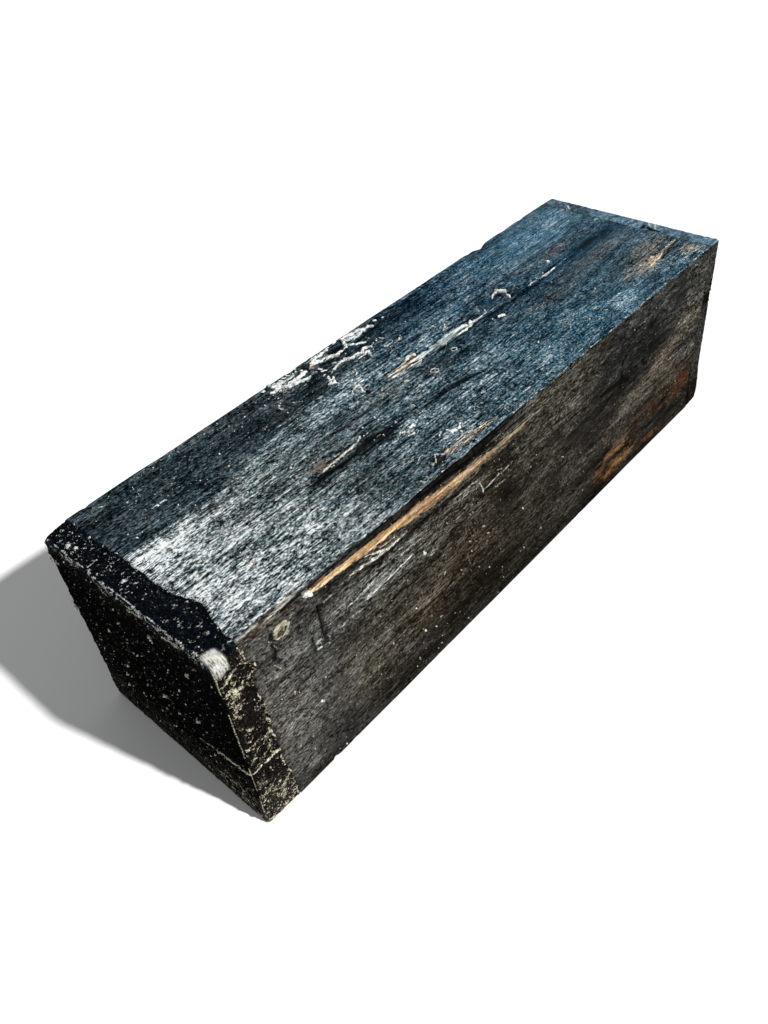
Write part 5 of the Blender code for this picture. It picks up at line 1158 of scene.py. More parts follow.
SLIVER_MARKS = [
    # tan end of the long sliver, split in strips
    ([(-12.6, 7.5), (-9.0, 7.5), (-5.0, 7.4), (-2.4, 7.6)], [0.25, 0.5, 0.4, 0.3], CR, 0.7),
    ([(-3.4, 7.5), (0.0, 7.4), (2.6, 7.6)], [0.4, 0.6, 0.4], (244, 226, 204), 0.8),
    ([(-12.0, 8.4), (-7.0, 8.6), (-2.0, 8.6)], [0.2, 0.3, 0.25], TN, 0.5), ([(-2.0, 9.2), (0.0, 9.7), (2.6, 9.1)], [0.35, 0.5, 0.4], CR, 0.7),
    ([(-8.4, 7.0), (-5.0, 6.9), (-3.4, 6.9)], [0.2, 0.25, 0.2], TN, 0.5),
    ([(-14.0, 5.9), (-11.6, 6.1), (-9.0, 5.8), (-6.0, 5.8), (-2.0, 5.6), (2.0, 5.4)], [0.2, 0.5, 0.55, 0.35, 0.4, 0.3], (246, 244, 236), 0.7),
    ([(-9.2, 5.0), (-6.8, 4.9)], [0.3, 0.3], W, 0.4), ([(-2.8, 4.5), (-0.8, 4.1), (0.6, 4.6)], [0.7, 0.8, 0.5], PG, 0.5),
    ([(-3.2, 8.6), (2.0, 8.35)], [0.16, 0.16], BK, 0.45), ([(-9.2, 6.5), (-5.0, 6.45), (1.4, 6.3)], [0.15, 0.16, 0.16], BK, 0.4),
    # pale middle
    ([(1.0, 6.6), (6.0, 6.7), (12.0, 6.5), (18.0, 6.3), (23.5, 5.9)], [0.7, 1.5, 1.7, 1.6, 1.2], (168, 184, 186), 0.30),
    ([(2.6, 6.9), (4.6, 7.1), (7.0, 7.0)], [1.2, 1.3, 1.0], PG, 0.6), ([(7.0, 6.8), (10.0, 6.9), (13.0, 6.6)], [1.2, 1.5, 1.3], (190, 204, 202), 0.6),
    ([(13.4, 7.4), (16.0, 7.2), (19.0, 7.4)], [1.0, 1.2, 1.1], (206, 216, 212), 0.7), ([(13.0, 5.4), (16.0, 5.4), (20.0, 5.4)], [0.6, 0.7, 0.9], (170, 186, 186), 0.5),
    ([(20.4, 6.9), (22.6, 6.8), (25.0, 6.2), (26.6, 5.6)], [1.3, 1.5, 1.2, 0.7], (216, 226, 218), 0.85),
    ([(19.0, 4.6), (22.0, 4.3), (25.0, 4.2), (28.0, 4.4)], [0.4, 0.6, 0.6, 0.5], (228, 234, 226), 0.7),
    ([(12.8, 4.8), (13.4, 4.2)], [0.35, 0.35], PG, 0.4), ([(28.0, 5.0), (29.2, 5.8)], [0.6, 0.75], (246, 248, 242), 1.0),
    ([(28.4, 4.6), (31.0, 4.5), (34.6, 4.6), (37.0, 4.4)], [0.45, 0.35, 0.35, 0.45], (238, 242, 238), 0.6),
    ([(37.0, 4.6), (37.8, 6.0), (38.6, 7.0)], [0.35, 0.4, 0.25], (220, 226, 222), 0.6), ([(36.2, 8.4), (37.0, 9.2), (36.0, 7.4)], [0.7, 0.6, 0.5], (170, 184, 184), 0.5),
    ([(37.4, 4.3), (41.0, 4.2), (45.0, 3.9)], [0.25, 0.22, 0.15], (170, 190, 196), 0.35), ([(34.4, 10.0), (34.8, 11.4)], [0.3, 0.2], (160, 176, 180), 0.3),
    # second lens
    ([(60.0, 3.0), (62.6, 3.3), (65.0, 3.0)], [0.3, 0.7, 0.5], (196, 210, 212), 0.5), ([(63.4, 4.4), (65.4, 5.6)], [0.8, 0.5], (120, 140, 148), 0.4),
    ([(68.6, 2.9), (70.6, 2.5), (73.4, 2.7), (76.4, 2.8)], [0.4, 0.75, 0.5, 0.3], (226, 234, 234), 0.7), ([(66.4, 4.6), (68.4, 5.2), (70.0, 4.6)], [0.5, 0.8, 0.7], (112, 132, 136), 0.45),
    ([(76.4, 2.8), (80.0, 2.7), (84.6, 3.0)], [0.3, 0.25, 0.15], (180, 198, 204), 0.4), ([(72.0, 3.4), (71.0, 4.2)], [0.4, 0.4], (150, 166, 168), 0.4),
    # tan sliver at the right edge, strands
    ([(-33.2, -32.8), (-29.0, -32.7), (-24.0, -32.9), (-18.0, -33.4), (-13.6, -34.2)], [0.20, 0.30, 0.28, 0.28, 0.14], (232, 220, 198), 0.6),
    ([(-32.6, -33.9), (-28.0, -34.0), (-24.0, -34.5), (-20.0, -34.6)], [0.16, 0.24, 0.22, 0.14], (214, 194, 166), 0.5),
    ([(-26.0, -31.9), (-21.0, -31.9), (-17.4, -32.4)], [0.12, 0.18, 0.12], CR, 0.4), ([(-22.0, -33.8), (-18.0, -34.3), (-12.0, -35.0)], [0.14, 0.2, 0.12], (206, 186, 158), 0.45),
    ([(-37.6, -31.2), (-36.4, -32.8), (-34.8, -33.6), (-33.4, -33.4)], [0.7, 1.0, 0.9, 0.5], (14, 15, 16), 0.12), ([(-44.6, -34.6), (-44.2, -35.6)], [0.6, 0.6], (16, 17, 18), 0.12),
    ([(-31.8, -32.4), (-30.8, -32.8)], [0.4, 0.4], (176, 122, 84), 0.45), ([(-28.0, -34.5), (-25.6, -34.9)], [0.2, 0.2], CR, 0.35),
    ([(-16.0, -33.2), (-11.4, -34.4), (-9.8, -35.0)], [0.2, 0.25, 0.15], (206, 196, 176), 0.4),
    # ridge at the far right
    ([(80.2, -23.6), (83.0, -23.8), (86.0, -24.6)], [0.3, 0.5, 0.3], (170, 160, 138), 0.3), ([(95.6, -26.8), (98.0, -26.6), (100.4, -25.6)], [0.5, 0.8, 0.5], (222, 208, 174), 0.5),
    ([(99.0, -23.9), (102.0, -23.4)], [0.5, 0.5], (206, 186, 152), 0.35), ([(101.0, -26.2), (104.0, -25.6), (107.6, -24.4), (112.0, -24.1), (117.6, -23.9)], [0.7, 0.8, 0.4, 0.3, 0.3], (210, 200, 172), 0.5),
]

CHIP_MARKS = [
    # the chip like a staple
    ([(46.5, 9.3), (47.5, 9.8), (50.4, 10.3)], [0.3, 0.38, 0.36], (206, 212, 208), 1.2),
    ([(50.5, 10.7), (51.4, 9.3), (52.2, 7.7)], [0.55, 0.6, 0.62], (240, 242, 238), 1.3),
    ([(51.6, 10.8), (52.2, 12.2)], [0.4, 0.2], (130, 150, 158), 1.0), ([(50.3, 5.5), (50.0, 4.2)], [0.5, 0.5], (230, 234, 230), 1.0),
    # loose chip below the sliver
    ([(36.9, -0.8), (38.0, -1.3), (38.8, -1.8)], [0.5, 0.55, 0.5], (236, 238, 232), 1.0),
    ([(79.0, 7.9), (78.7, 7.0)], [0.6, 0.7], (226, 240, 246), 0.9), ([(80.6, 9.0), (82.4, 10.6)], [0.2, 0.2], (92, 112, 120), 0.3),
    ([(76.4, 9.6), (77.2, 9.0)], [0.5, 0.4], (110, 124, 132), 0.3), ([(121.2, 25.4), (122.6, 27.0)], [0.5, 0.6], (196, 206, 196), 0.6),
    # rings
    ([(-2.7, -3.0), (-2.2, -4.3), (-0.9, -4.6), (0.0, -3.5), (-0.2, -2.2), (-1.4, -1.8), (-2.5, -2.4)], [0.26] * 7, (206, 212, 210), 0.35),
    ([(-1.8, -3.6), (-1.0, -3.0)], [0.25, 0.25], (150, 160, 162), 0.3),
    ([(11.0, -0.6), (11.6, 0.2), (12.8, 0.3), (13.3, -0.7), (12.6, -1.5), (11.5, -1.4), (11.0, -0.6)], [0.27] * 7, (206, 212, 212), 0.35),
    ([(-11.4, 0.9), (-10.6, 0.4)], [0.55, 0.5], (200, 206, 204), 0.45),
    ([(-21.0, -9.6), (-20.6, -10.6), (-19.8, -10.3), (-19.8, -9.4), (-20.6, -9.1)], [0.25] * 5, (200, 206, 204), 0.3),
    ([(-39.6, -28.6), (-38.4, -27.8), (-37.2, -27.9), (-37.2, -29.0)], [0.22, 0.28, 0.25, 0.2], (190, 196, 194), 0.3),
    ([(-11.0, -27.0), (-10.0, -25.9), (-9.2, -26.4), (-9.4, -27.6)], [0.2] * 4, (180, 190, 192), 0.25),
    ([(57.0, 5.6), (56.6, 6.8), (57.6, 7.6), (58.4, 7.2)], [0.25, 0.3, 0.3, 0.2], (112, 134, 144), 0.3),
    ([(-44.4, -34.2), (-43.8, -35.4), (-44.8, -36.4), (-46.0, -36.2), (-46.6, -35.0)], [0.25] * 5, (188, 196, 194), 0.35),
    ([(15.0, -0.6), (15.8, -1.4)], [0.3, 0.35], (120, 132, 142), 0.25), ([(-7.2, -6.4), (-6.2, -7.4)], [0.25, 0.25], (130, 140, 146), 0.25),
]

RIGHT_MARKS = [
    # the ring with a brown heart, and its tail
    ([(-107.6, 67.6), (-107.0, 69.4), (-105.6, 70.2), (-104.0, 69.6), (-103.2, 67.8), (-103.8, 66.0), (-105.4, 65.6)], [0.62, 0.95, 1.05, 0.95, 0.85, 0.75, 0.60], (172, 166, 146), 0.62),
    ([(-106.8, 68.6), (-105.8, 68.8)], [0.7, 0.6], (158, 148, 122), 0.5), ([(-106.2, 67.4), (-105.4, 67.2)], [0.5, 0.4], (74, 60, 46), 0.75),
    ([(-104.8, 67.6), (-104.4, 68.6)], [0.6, 0.6], (140, 134, 122), 0.4), ([(-107.8, 66.6), (-107.2, 66.0), (-105.8, 66.2)], [0.3, 0.3, 0.3], (196, 186, 158), 0.5),
    ([(-108.4, 64.6), (-108.2, 63.8)], [0.22, 0.2], (190, 190, 182), 0.35), ([(-110.2, 58.6), (-109.4, 57.0), (-108.6, 55.4)], [0.2, 0.3, 0.22], (196, 192, 172), 0.45),
    # flake in the notch
    ([(-95.8, 53.0), (-94.2, 52.8)], [0.5, 0.5], (196, 208, 202), 0.4), ([(-95.8, 50.8), (-94.6, 50.2)], [0.6, 0.5], (206, 214, 208), 0.45),
    ([(-91.6, 52.6), (-90.8, 50.8)], [0.3, 0.35], (170, 172, 164), 0.35), ([(-87.2, 51.6), (-86.0, 51.0), (-85.2, 50.8)], [0.4, 0.5, 0.4], (196, 204, 196), 0.4),
    ([(-91.2, 65.4), (-89.0, 65.3), (-87.0, 65.2)], [0.25, 0.3, 0.15], (160, 164, 160), 0.35),
    # raised fibres
    ([(-80.4, 66.4), (-78.6, 66.0)], [0.3, 0.25], (226, 228, 222), 0.5), ([(-76.6, 65.6), (-75.4, 65.8)], [0.5, 0.4], (236, 236, 228), 0.6),
    ([(-74.4, 68.4), (-71.8, 67.6), (-69.8, 66.2), (-67.2, 65.4), (-65.0, 64.2)], [0.25, 0.35, 0.4, 0.45, 0.3], (220, 216, 200), 0.6),
    ([(-72.6, 65.0), (-70.0, 64.6), (-66.0, 64.6), (-62.0, 64.2), (-57.0, 64.8)], [0.3, 0.4, 0.35, 0.4, 0.2], (206, 204, 192), 0.5),
    ([(-68.0, 67.0), (-64.0, 66.4), (-61.0, 66.0)], [0.2, 0.3, 0.2], (212, 196, 166), 0.45),
    ([(-75.6, 52.7), (-70.0, 53.1), (-65.0, 53.6), (-58.0, 54.1)], [0.25, 0.40, 0.35, 0.2], (206, 212, 210), 0.5),
    ([(-78.0, 56.4), (-74.4, 57.0), (-71.0, 57.4)], [0.2, 0.4, 0.25], (190, 194, 188), 0.45), ([(-75.4, 59.6), (-70.4, 59.2)], [0.25, 0.2], (170, 172, 168), 0.4),
    ([(-60.4, 57.4), (-56.4, 57.9), (-51.6, 57.5)], [0.15, 0.35, 0.15], (176, 178, 172), 0.45), ([(-64.0, 52.4), (-58.0, 52.9)], [0.2, 0.2], (150, 154, 150), 0.35),
    ([(-82.0, 51.4), (-78.0, 50.6)], [0.3, 0.25], (166, 170, 166), 0.35), ([(-69.8, 51.4), (-68.6, 51.2)], [0.3, 0.3], (176, 180, 174), 0.35),
    ([(-51.2, 51.6), (-50.6, 50.2)], [0.4, 0.55], (206, 214, 210), 0.5), ([(-49.0, 58.8), (-48.6, 59.8)], [0.25, 0.3], (166, 166, 158), 0.4),
    ([(-48.6, 47.6), (-46.8, 47.4)], [0.25, 0.25], (196, 196, 188), 0.4), ([(-41.2, 53.0)], [0.35], (180, 180, 172), 0.35),
    ([(-40.2, 54.8), (-39.4, 53.8)], [0.3, 0.25], (176, 176, 166), 0.35), ([(-27.8, 53.0)], [0.4], (206, 206, 198), 0.45), ([(-28.9, 49.8)], [0.35], (196, 196, 188), 0.4),
    ([(-23.6, 58.8), (-22.8, 57.0), (-22.0, 55.0), (-22.0, 53.8)], [0.2, 0.3, 0.35, 0.25], (196, 200, 186), 0.6),
    ([(-21.4, 54.6), (-18.6, 54.9), (-15.6, 55.2), (-13.6, 55.8)], [0.2, 0.3, 0.3, 0.2], (184, 188, 178), 0.5), ([(-12.4, 55.0), (-9.0, 55.6), (-6.6, 55.8)], [0.2, 0.2, 0.12], (170, 172, 164), 0.4),
    ([(-15.8, 51.6), (-14.6, 51.2)], [0.3, 0.3], (190, 184, 166), 0.4), ([(-13.6, 51.4), (-10.6, 51.2)], [0.25, 0.2], (176, 176, 166), 0.35),
    ([(-35.6, 61.4), (-32.0, 60.9), (-28.0, 61.2), (-24.4, 60.7)], [0.25, 0.4, 0.3, 0.2], (160, 160, 152), 0.4), ([(-14.8, 58.0), (-12.2, 56.9)], [0.25, 0.3], (156, 158, 150), 0.35),
    # fibres of the tuft
    ([(-31.6, 45.6), (-31.0, 42.6)], [0.14, 0.22], (128, 114, 96), 0.35), ([(-30.2, 46.4), (-29.5, 43.4), (-29.0, 41.4)], [0.14, 0.22, 0.12], (138, 124, 106), 0.35),
    ([(-28.6, 46.2), (-27.7, 43.2)], [0.14, 0.22], (132, 118, 100), 0.35), ([(-26.9, 41.2), (-26.4, 38.6)], [0.2, 0.16], (120, 106, 90), 0.3), ([(-27.0, 45.2), (-26.2, 43.4)], [0.14, 0.2], (122, 108, 92), 0.3),
    ([(-25.4, 44.8), (-24.6, 43.2)], [0.14, 0.18], (112, 100, 86), 0.3), ([(-32.6, 42.0), (-32.3, 40.0)], [0.14, 0.16], (110, 98, 82), 0.3), ([(-29.4, 38.2), (-29.0, 36.4)], [0.2, 0.14], (120, 108, 90), 0.3),
    ([(-31.0, 35.0), (-30.8, 33.2)], [0.2, 0.26], (106, 94, 78), 0.3), ([(-30.4, 31.0), (-30.2, 28.6)], [0.22, 0.26], (110, 98, 80), 0.3), ([(-29.8, 25.8), (-29.0, 23.8)], [0.28, 0.22], (116, 104, 86), 0.3),
    # black cracks across the grain
    ([(-108.3, 69.0), (-108.7, 66.6), (-108.4, 64.0), (-109.0, 61.6), (-109.3, 59.8), (-108.4, 58.4)], [0.30, 0.42, 0.36, 0.40, 0.55, 0.25], (10, 10, 10), 0.12),
    ([(-109.2, 60.2), (-107.6, 58.4), (-106.8, 57.6)], [0.4, 0.35, 0.15], (12, 12, 12), 0.12), ([(-107.4, 55.0), (-107.0, 52.8)], [0.2, 0.35], (14, 13, 12), 0.12),
    ([(-107.4, 50.2), (-106.6, 48.8)], [0.4, 0.3], (12, 12, 12), 0.12), ([(-92.5, 65.2), (-92.2, 60.0), (-92.4, 55.6), (-92.1, 51.6)], [0.28, 0.36, 0.30, 0.34], (12, 12, 12), 0.12),
    ([(-96.6, 55.8), (-96.4, 51.2)], [0.2, 0.28], (16, 15, 14), 0.12), ([(-74.2, 51), (-74.0, 46.8)], [0.18, 0.2], (14, 14, 13), 0.12), ([(-72.9, 49.0), (-72.8, 46.6)], [0.15, 0.2], (14, 14, 13), 0.12),
    ([(-103.6, 66.4), (-103.4, 68.6), (-104.4, 70.4)], [0.12, 0.16, 0.1], (20, 18, 16), 0.12), ([(-89.8, 18.0), (-89.9, 14.4)], [0.15, 0.15], (16, 15, 14), 0.12),
    ([(-29.8, 38.6), (-29.0, 38.0)], [0.35, 0.3], (196, 184, 164), 0.5), ([(-26.8, 36.4), (-26.0, 35.6)], [0.3, 0.3], (176, 160, 140), 0.45),
    ([(-22.8, 39.8), (-21.6, 39.0)], [0.25, 0.3], (176, 184, 182), 0.4), ([(-20.2, 34.8), (-19.4, 34.2)], [0.35, 0.3], (190, 188, 172), 0.4), ([(-17.4, 34.4), (-16.6, 34.0)], [0.3, 0.25], (176, 160, 140), 0.35),
    # specks
    ([(-98.7, 29.8), (-98.4, 29.1)], [0.62, 0.58], (250, 250, 248), 0.9), ([(-56.9, 31.5), (-56.4, 30.6)], [0.35, 0.3], (236, 230, 220), 0.6),
    ([(-53.9, 18.0), (-53.3, 16.8)], [0.35, 0.35], (244, 240, 232), 0.6), ([(-49.0, 15.2), (-48.4, 14.6)], [0.4, 0.35], (206, 196, 176), 0.5),
    ([(-45.8, 17.2)], [0.5], (180, 166, 140), 0.45), ([(-50.2, 22.0), (-50.0, 21.4)], [0.3, 0.3], (188, 176, 150), 0.4), ([(-42.4, 34.6)], [0.75], (160, 160, 146), 0.4),
    ([(-0.8, 31.4), (-0.3, 30.5)], [0.35, 0.35], (240, 240, 232), 0.6), ([(3.0, 46.2), (4.4, 46.8)], [0.35, 0.3], (180, 184, 172), 0.4), ([(0.0, 11.6), (0.8, 10.8)], [0.35, 0.3], (176, 172, 160), 0.4),
    ([(22.8, 37.8), (23.4, 37.2)], [0.4, 0.4], (226, 222, 212), 0.5), ([(28.0, 33.2)], [0.35], (180, 178, 170), 0.4), ([(22.0, 27.0)], [0.3], (170, 168, 160), 0.35),
    ([(-57.9, 7.9), (-57.4, 6.4)], [0.4, 0.4], (166, 158, 144), 0.4), ([(-49.4, 1.2), (-49.1, 0.6)], [0.4, 0.4], (200, 198, 188), 0.5), ([(-32.2, 3.8)], [0.55], (168, 160, 142), 0.45),
    ([(-105.0, 13.2), (-105.0, 12.4)], [0.4, 0.3], (196, 192, 180), 0.4), ([(-109.0, 34.0)], [0.45], (206, 198, 182), 0.4),
    ([(-110.8, 31.6), (-110.0, 32.2), (-109.4, 31.8), (-110.2, 30.6), (-111.2, 30.2)], [0.3, 0.35, 0.3, 0.25, 0.25], (186, 182, 168), 0.4), ([(-108.8, 32.8), (-108.6, 32.2)], [0.2, 0.2], (170, 168, 160), 0.3),
    ([(-106.6, 43.0), (-106.4, 42.0)], [0.4, 0.35], (206, 196, 186), 0.4), ([(-107.4, 39.8), (-106.8, 39.6)], [0.3, 0.3], (176, 170, 160), 0.35),
    ([(-96.0, 72.8), (-94.6, 72.2), (-93.8, 71.0)], [0.8, 1.0, 0.6], (244, 240, 230), 0.7), ([(-101.8, 70.4), (-100.4, 70.0)], [0.35, 0.35], (150, 144, 132), 0.35),
    ([(-109.6, 73.2)], [0.45], (190, 188, 180), 0.45), ([(-0.8, 37.0)], [0.25], (160, 158, 150), 0.3), ([(10.6, 24.0)], [0.25], (150, 146, 136), 0.3),
    ([(127.0 - 18.6, 72.0), (110.0, 71.4)], [0.5, 0.3], (140, 138, 128), 0.3),
]

LEFT_MARKS = [
    ([(-44, 71.2), (-38, 70.6), (-31, 71.2), (-26, 70.4)], [0.6, 1.6, 1.4, 0.5], W, 0.7), ([(-33, 68.4), (-31.4, 66.2)], [0.8, 0.3], W, 0.5),
    ([(-16, 71.6), (-10, 71.0), (-3, 71.6), (5, 71.0)], [0.5, 1.3, 1.5, 0.5], W, 0.7), ([(-6, 69.4), (-4.8, 66.4), (-5.6, 64.6)], [0.8, 0.5, 0.2], W, 0.5),
    ([(-24, 61.0), (-22, 62.4), (-20.4, 61.6)], [0.4, 0.9, 0.4], W, 0.6), ([(57, 44), (60, 44.8), (63, 44.0)], [0.3, 0.8, 0.3], (214, 220, 216), 0.5),
    ([(-70, 36.0), (-52, 36.8), (-30, 37.0)], [0.2, 0.5, 0.2], (180, 188, 186), 0.4), ([(34, 19.4), (52, 18.4), (80, 19.2)], [0.2, 0.6, 0.2], (222, 190, 150), 0.5),
    ([(42, 17.4), (66, 17.0)], [0.3, 0.3], (200, 160, 120), 0.4), ([(-98, 23.6), (-96, 22.0)], [0.5, 0.5], (210, 208, 196), 0.5), ([(92, 12.4), (98, 12.0)], [0.4, 0.4], (176, 176, 166), 0.4),
    ([(12.0, 30.0)], [0.5], W, 0.5), ([(-62, 58.0)], [0.45], W, 0.5), ([(76, 61.0), (77, 60.0)], [0.4, 0.3], W, 0.5), ([(30, 8.0)], [0.5], (200, 196, 184), 0.5),
]

wax_mat = crust_material("old_wax", 0.55, 0.0)
sliver_mat = crust_material("bare_wood", 0.18, 0.34)
chip_mat = crust_material("chips", 0.25, 0.0)
grit_mat = crust_material("caught_fibres", 0.25, 0.16)
for obj, mat in (
    (crust("wax_flakes_top", "top", WAX_MARKS, 0.22, 0.62, 200, 0.0, 0.5, 0.55, 0.5), wax_mat),
    (crust("slivers_top", "top", SLIVER_MARKS, 0.22, 0.40, 230, 0.30, 0.5, 0.45, 0.45), sliver_mat),
    (crust("chips_and_rings_top", "top", CHIP_MARKS, 0.18, 0.20, 260, 0.0, 0.35, 0.0, 0.6), chip_mat),
    (crust("fibres_and_specks_right", "right", RIGHT_MARKS, 0.22, 0.42, 290, 0.0, 0.5, 0.45, 0.4), grit_mat),
    (crust("wax_flakes_left", "left", LEFT_MARKS, 0.32, 0.55, 320, 0.0, 0.5, 0.4, 0.7), wax_mat),
):
    obj.data.materials.append(mat)
    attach(obj, "root")


# =============================================================== end seals
SEAL_SEC = Section((96, 150, 150, 96), 10)


def build_seal(reach, radii, bevel, band_rows, face_rows, edge_noise):
    sec = SEAL_SEC
    n, s = sec.n, sec.u
    one = np.ones(n)

    def rows(layer, share_list, turns, face_share):
        store = []
        half, low, high = WIDTH / 2 - layer, layer, HEIGHT - layer
        b = np.maximum(0.3, bevel(s) - layer * (2 - math.sqrt(2)))
        edge = reach(s) + edge_noise(s)
        d1 = layer + b
        for share in share_list:
            d = edge + (d1 - edge) * share
            x, z, nx, nz = sec.ring(half * one, low * one, high * one, np.maximum(0.25, radii(d) - layer))
            store.append((x, d, z, nx, 0 * x, nz, share + 0 * x))
        for turn in turns:
            t = math.radians(turn)
            inset = b * (1 - math.cos(t))
            d = layer + b * (1 - math.sin(t))
            r = np.maximum(0.15, radii(d) - layer - inset[:, None])
            x, z, nx, nz = sec.ring(half - inset, low + inset, high - inset, r)
            store.append((x, d, z, nx * math.cos(t), -math.sin(t) + 0 * x, nz * math.cos(t), 1 + 0 * x))
        x0, z0 = store[-1][0], store[-1][2]
        for share in face_share:
            store.append((x0 * share, layer + 0 * x0, HEIGHT / 2 + (z0 - HEIGHT / 2) * share, 0 * x0, -1 + 0 * x0, 0 * x0, 1 + 0 * x0))
        return store

    outer = rows(0.0, np.linspace(0, 1, band_rows, endpoint=False), (0, 18, 36, 54, 72, 90), np.linspace(1, 0, face_rows + 1)[1:-1])
    inner = rows(0.9, (0.0, 0.5), (0, 90), ())
    return [np.array([row[k] for row in outer]) for k in range(7)], inner


def fine_edge_front(s):
    return 1.2 * (fbm(s * 74.0, 0 * s, 0 * s, 3, 71) - 0.5) * (1 - 0.5 * smooth(1.45, 1.25, s)) + 1.1 * (fbm(s * 21, 0 * s, 0 * s + 4, 2, 72) - 0.5)


def fine_edge_rear(s):
    return 0.6 * (fbm(s * 60.0, 0 * s, 0 * s, 3, 73) - 0.5) + 1.0 * (fbm(s * 18, 0 * s, 0 * s + 4, 2, 74) - 0.5)


def make_seal(name, sign, reach, radii, bevel, band_rows, face_rows, fine_edge, shape, node):
    (x, d, z, nx, nd, nz, share), inner = build_seal(reach, radii, bevel, band_rows, face_rows, fine_edge)
    y = sign * (END - d)
    layers, disp = shape(x, y, z, nx, nd, nz, share, d)
    # the underside of the lap stays level with the wood, so the block rests flat
    disp = np.where(nz < -0.5, -np.abs(disp) * 0.5, disp)
    px, pz, py = x + nx * disp, np.maximum(z + nz * disp, 0.0), sign * (END - (d + nd * disp))
    n = SEAL_SEC.n
    out_rows = [np.stack([px[i], py[i], pz[i]], -1) for i in range(len(px))]
    in_rows = [np.stack([r[0], sign * (END - r[1]), r[2]], -1) for r in inner]
    verts = np.concatenate(out_rows + [np.array([[0.0, sign * (END - 0.1), HEIGHT / 2]])] + in_rows
                           + [np.array([[0.0, sign * (END - 0.9), HEIGHT / 2]])])
    ro, ri = len(out_rows), len(in_rows)
    hub_o = ro * n
    first_in = hub_o + 1
    hub_i = first_in + ri * n
    i = np.arange(n)
    j = (i + 1) % n
    q = np.concatenate([tube_faces(ro, n), tube_faces(ri, n, first_in)[:, ::-1],
                        np.stack([i, first_in + i, first_in + j, j], -1)])
    t = np.concatenate([np.stack([(ro - 1) * n + i, (ro - 1) * n + j, np.full(n, hub_o)], -1),
                        np.stack([first_in + (ri - 1) * n + j, first_in + (ri - 1) * n + i, np.full(n, hub_i)], -1)])
    if sign > 0:      # rows run the other way at the far end
        q, t = q[:, ::-1], t[:, ::-1]
    obj = link_mesh(name, verts, q, t)
    full = {}
    for key, val in layers.items():
        val = np.asarray(val, float)
        rim = val[0]
        full[key] = np.concatenate([val.reshape((-1,) + val.shape[2:]), val[-1].mean(0, keepdims=True)] + [rim] * ri + [rim.mean(0, keepdims=True)])
    give(obj, **full)
    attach(obj, "root")
    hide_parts(node)
    return obj


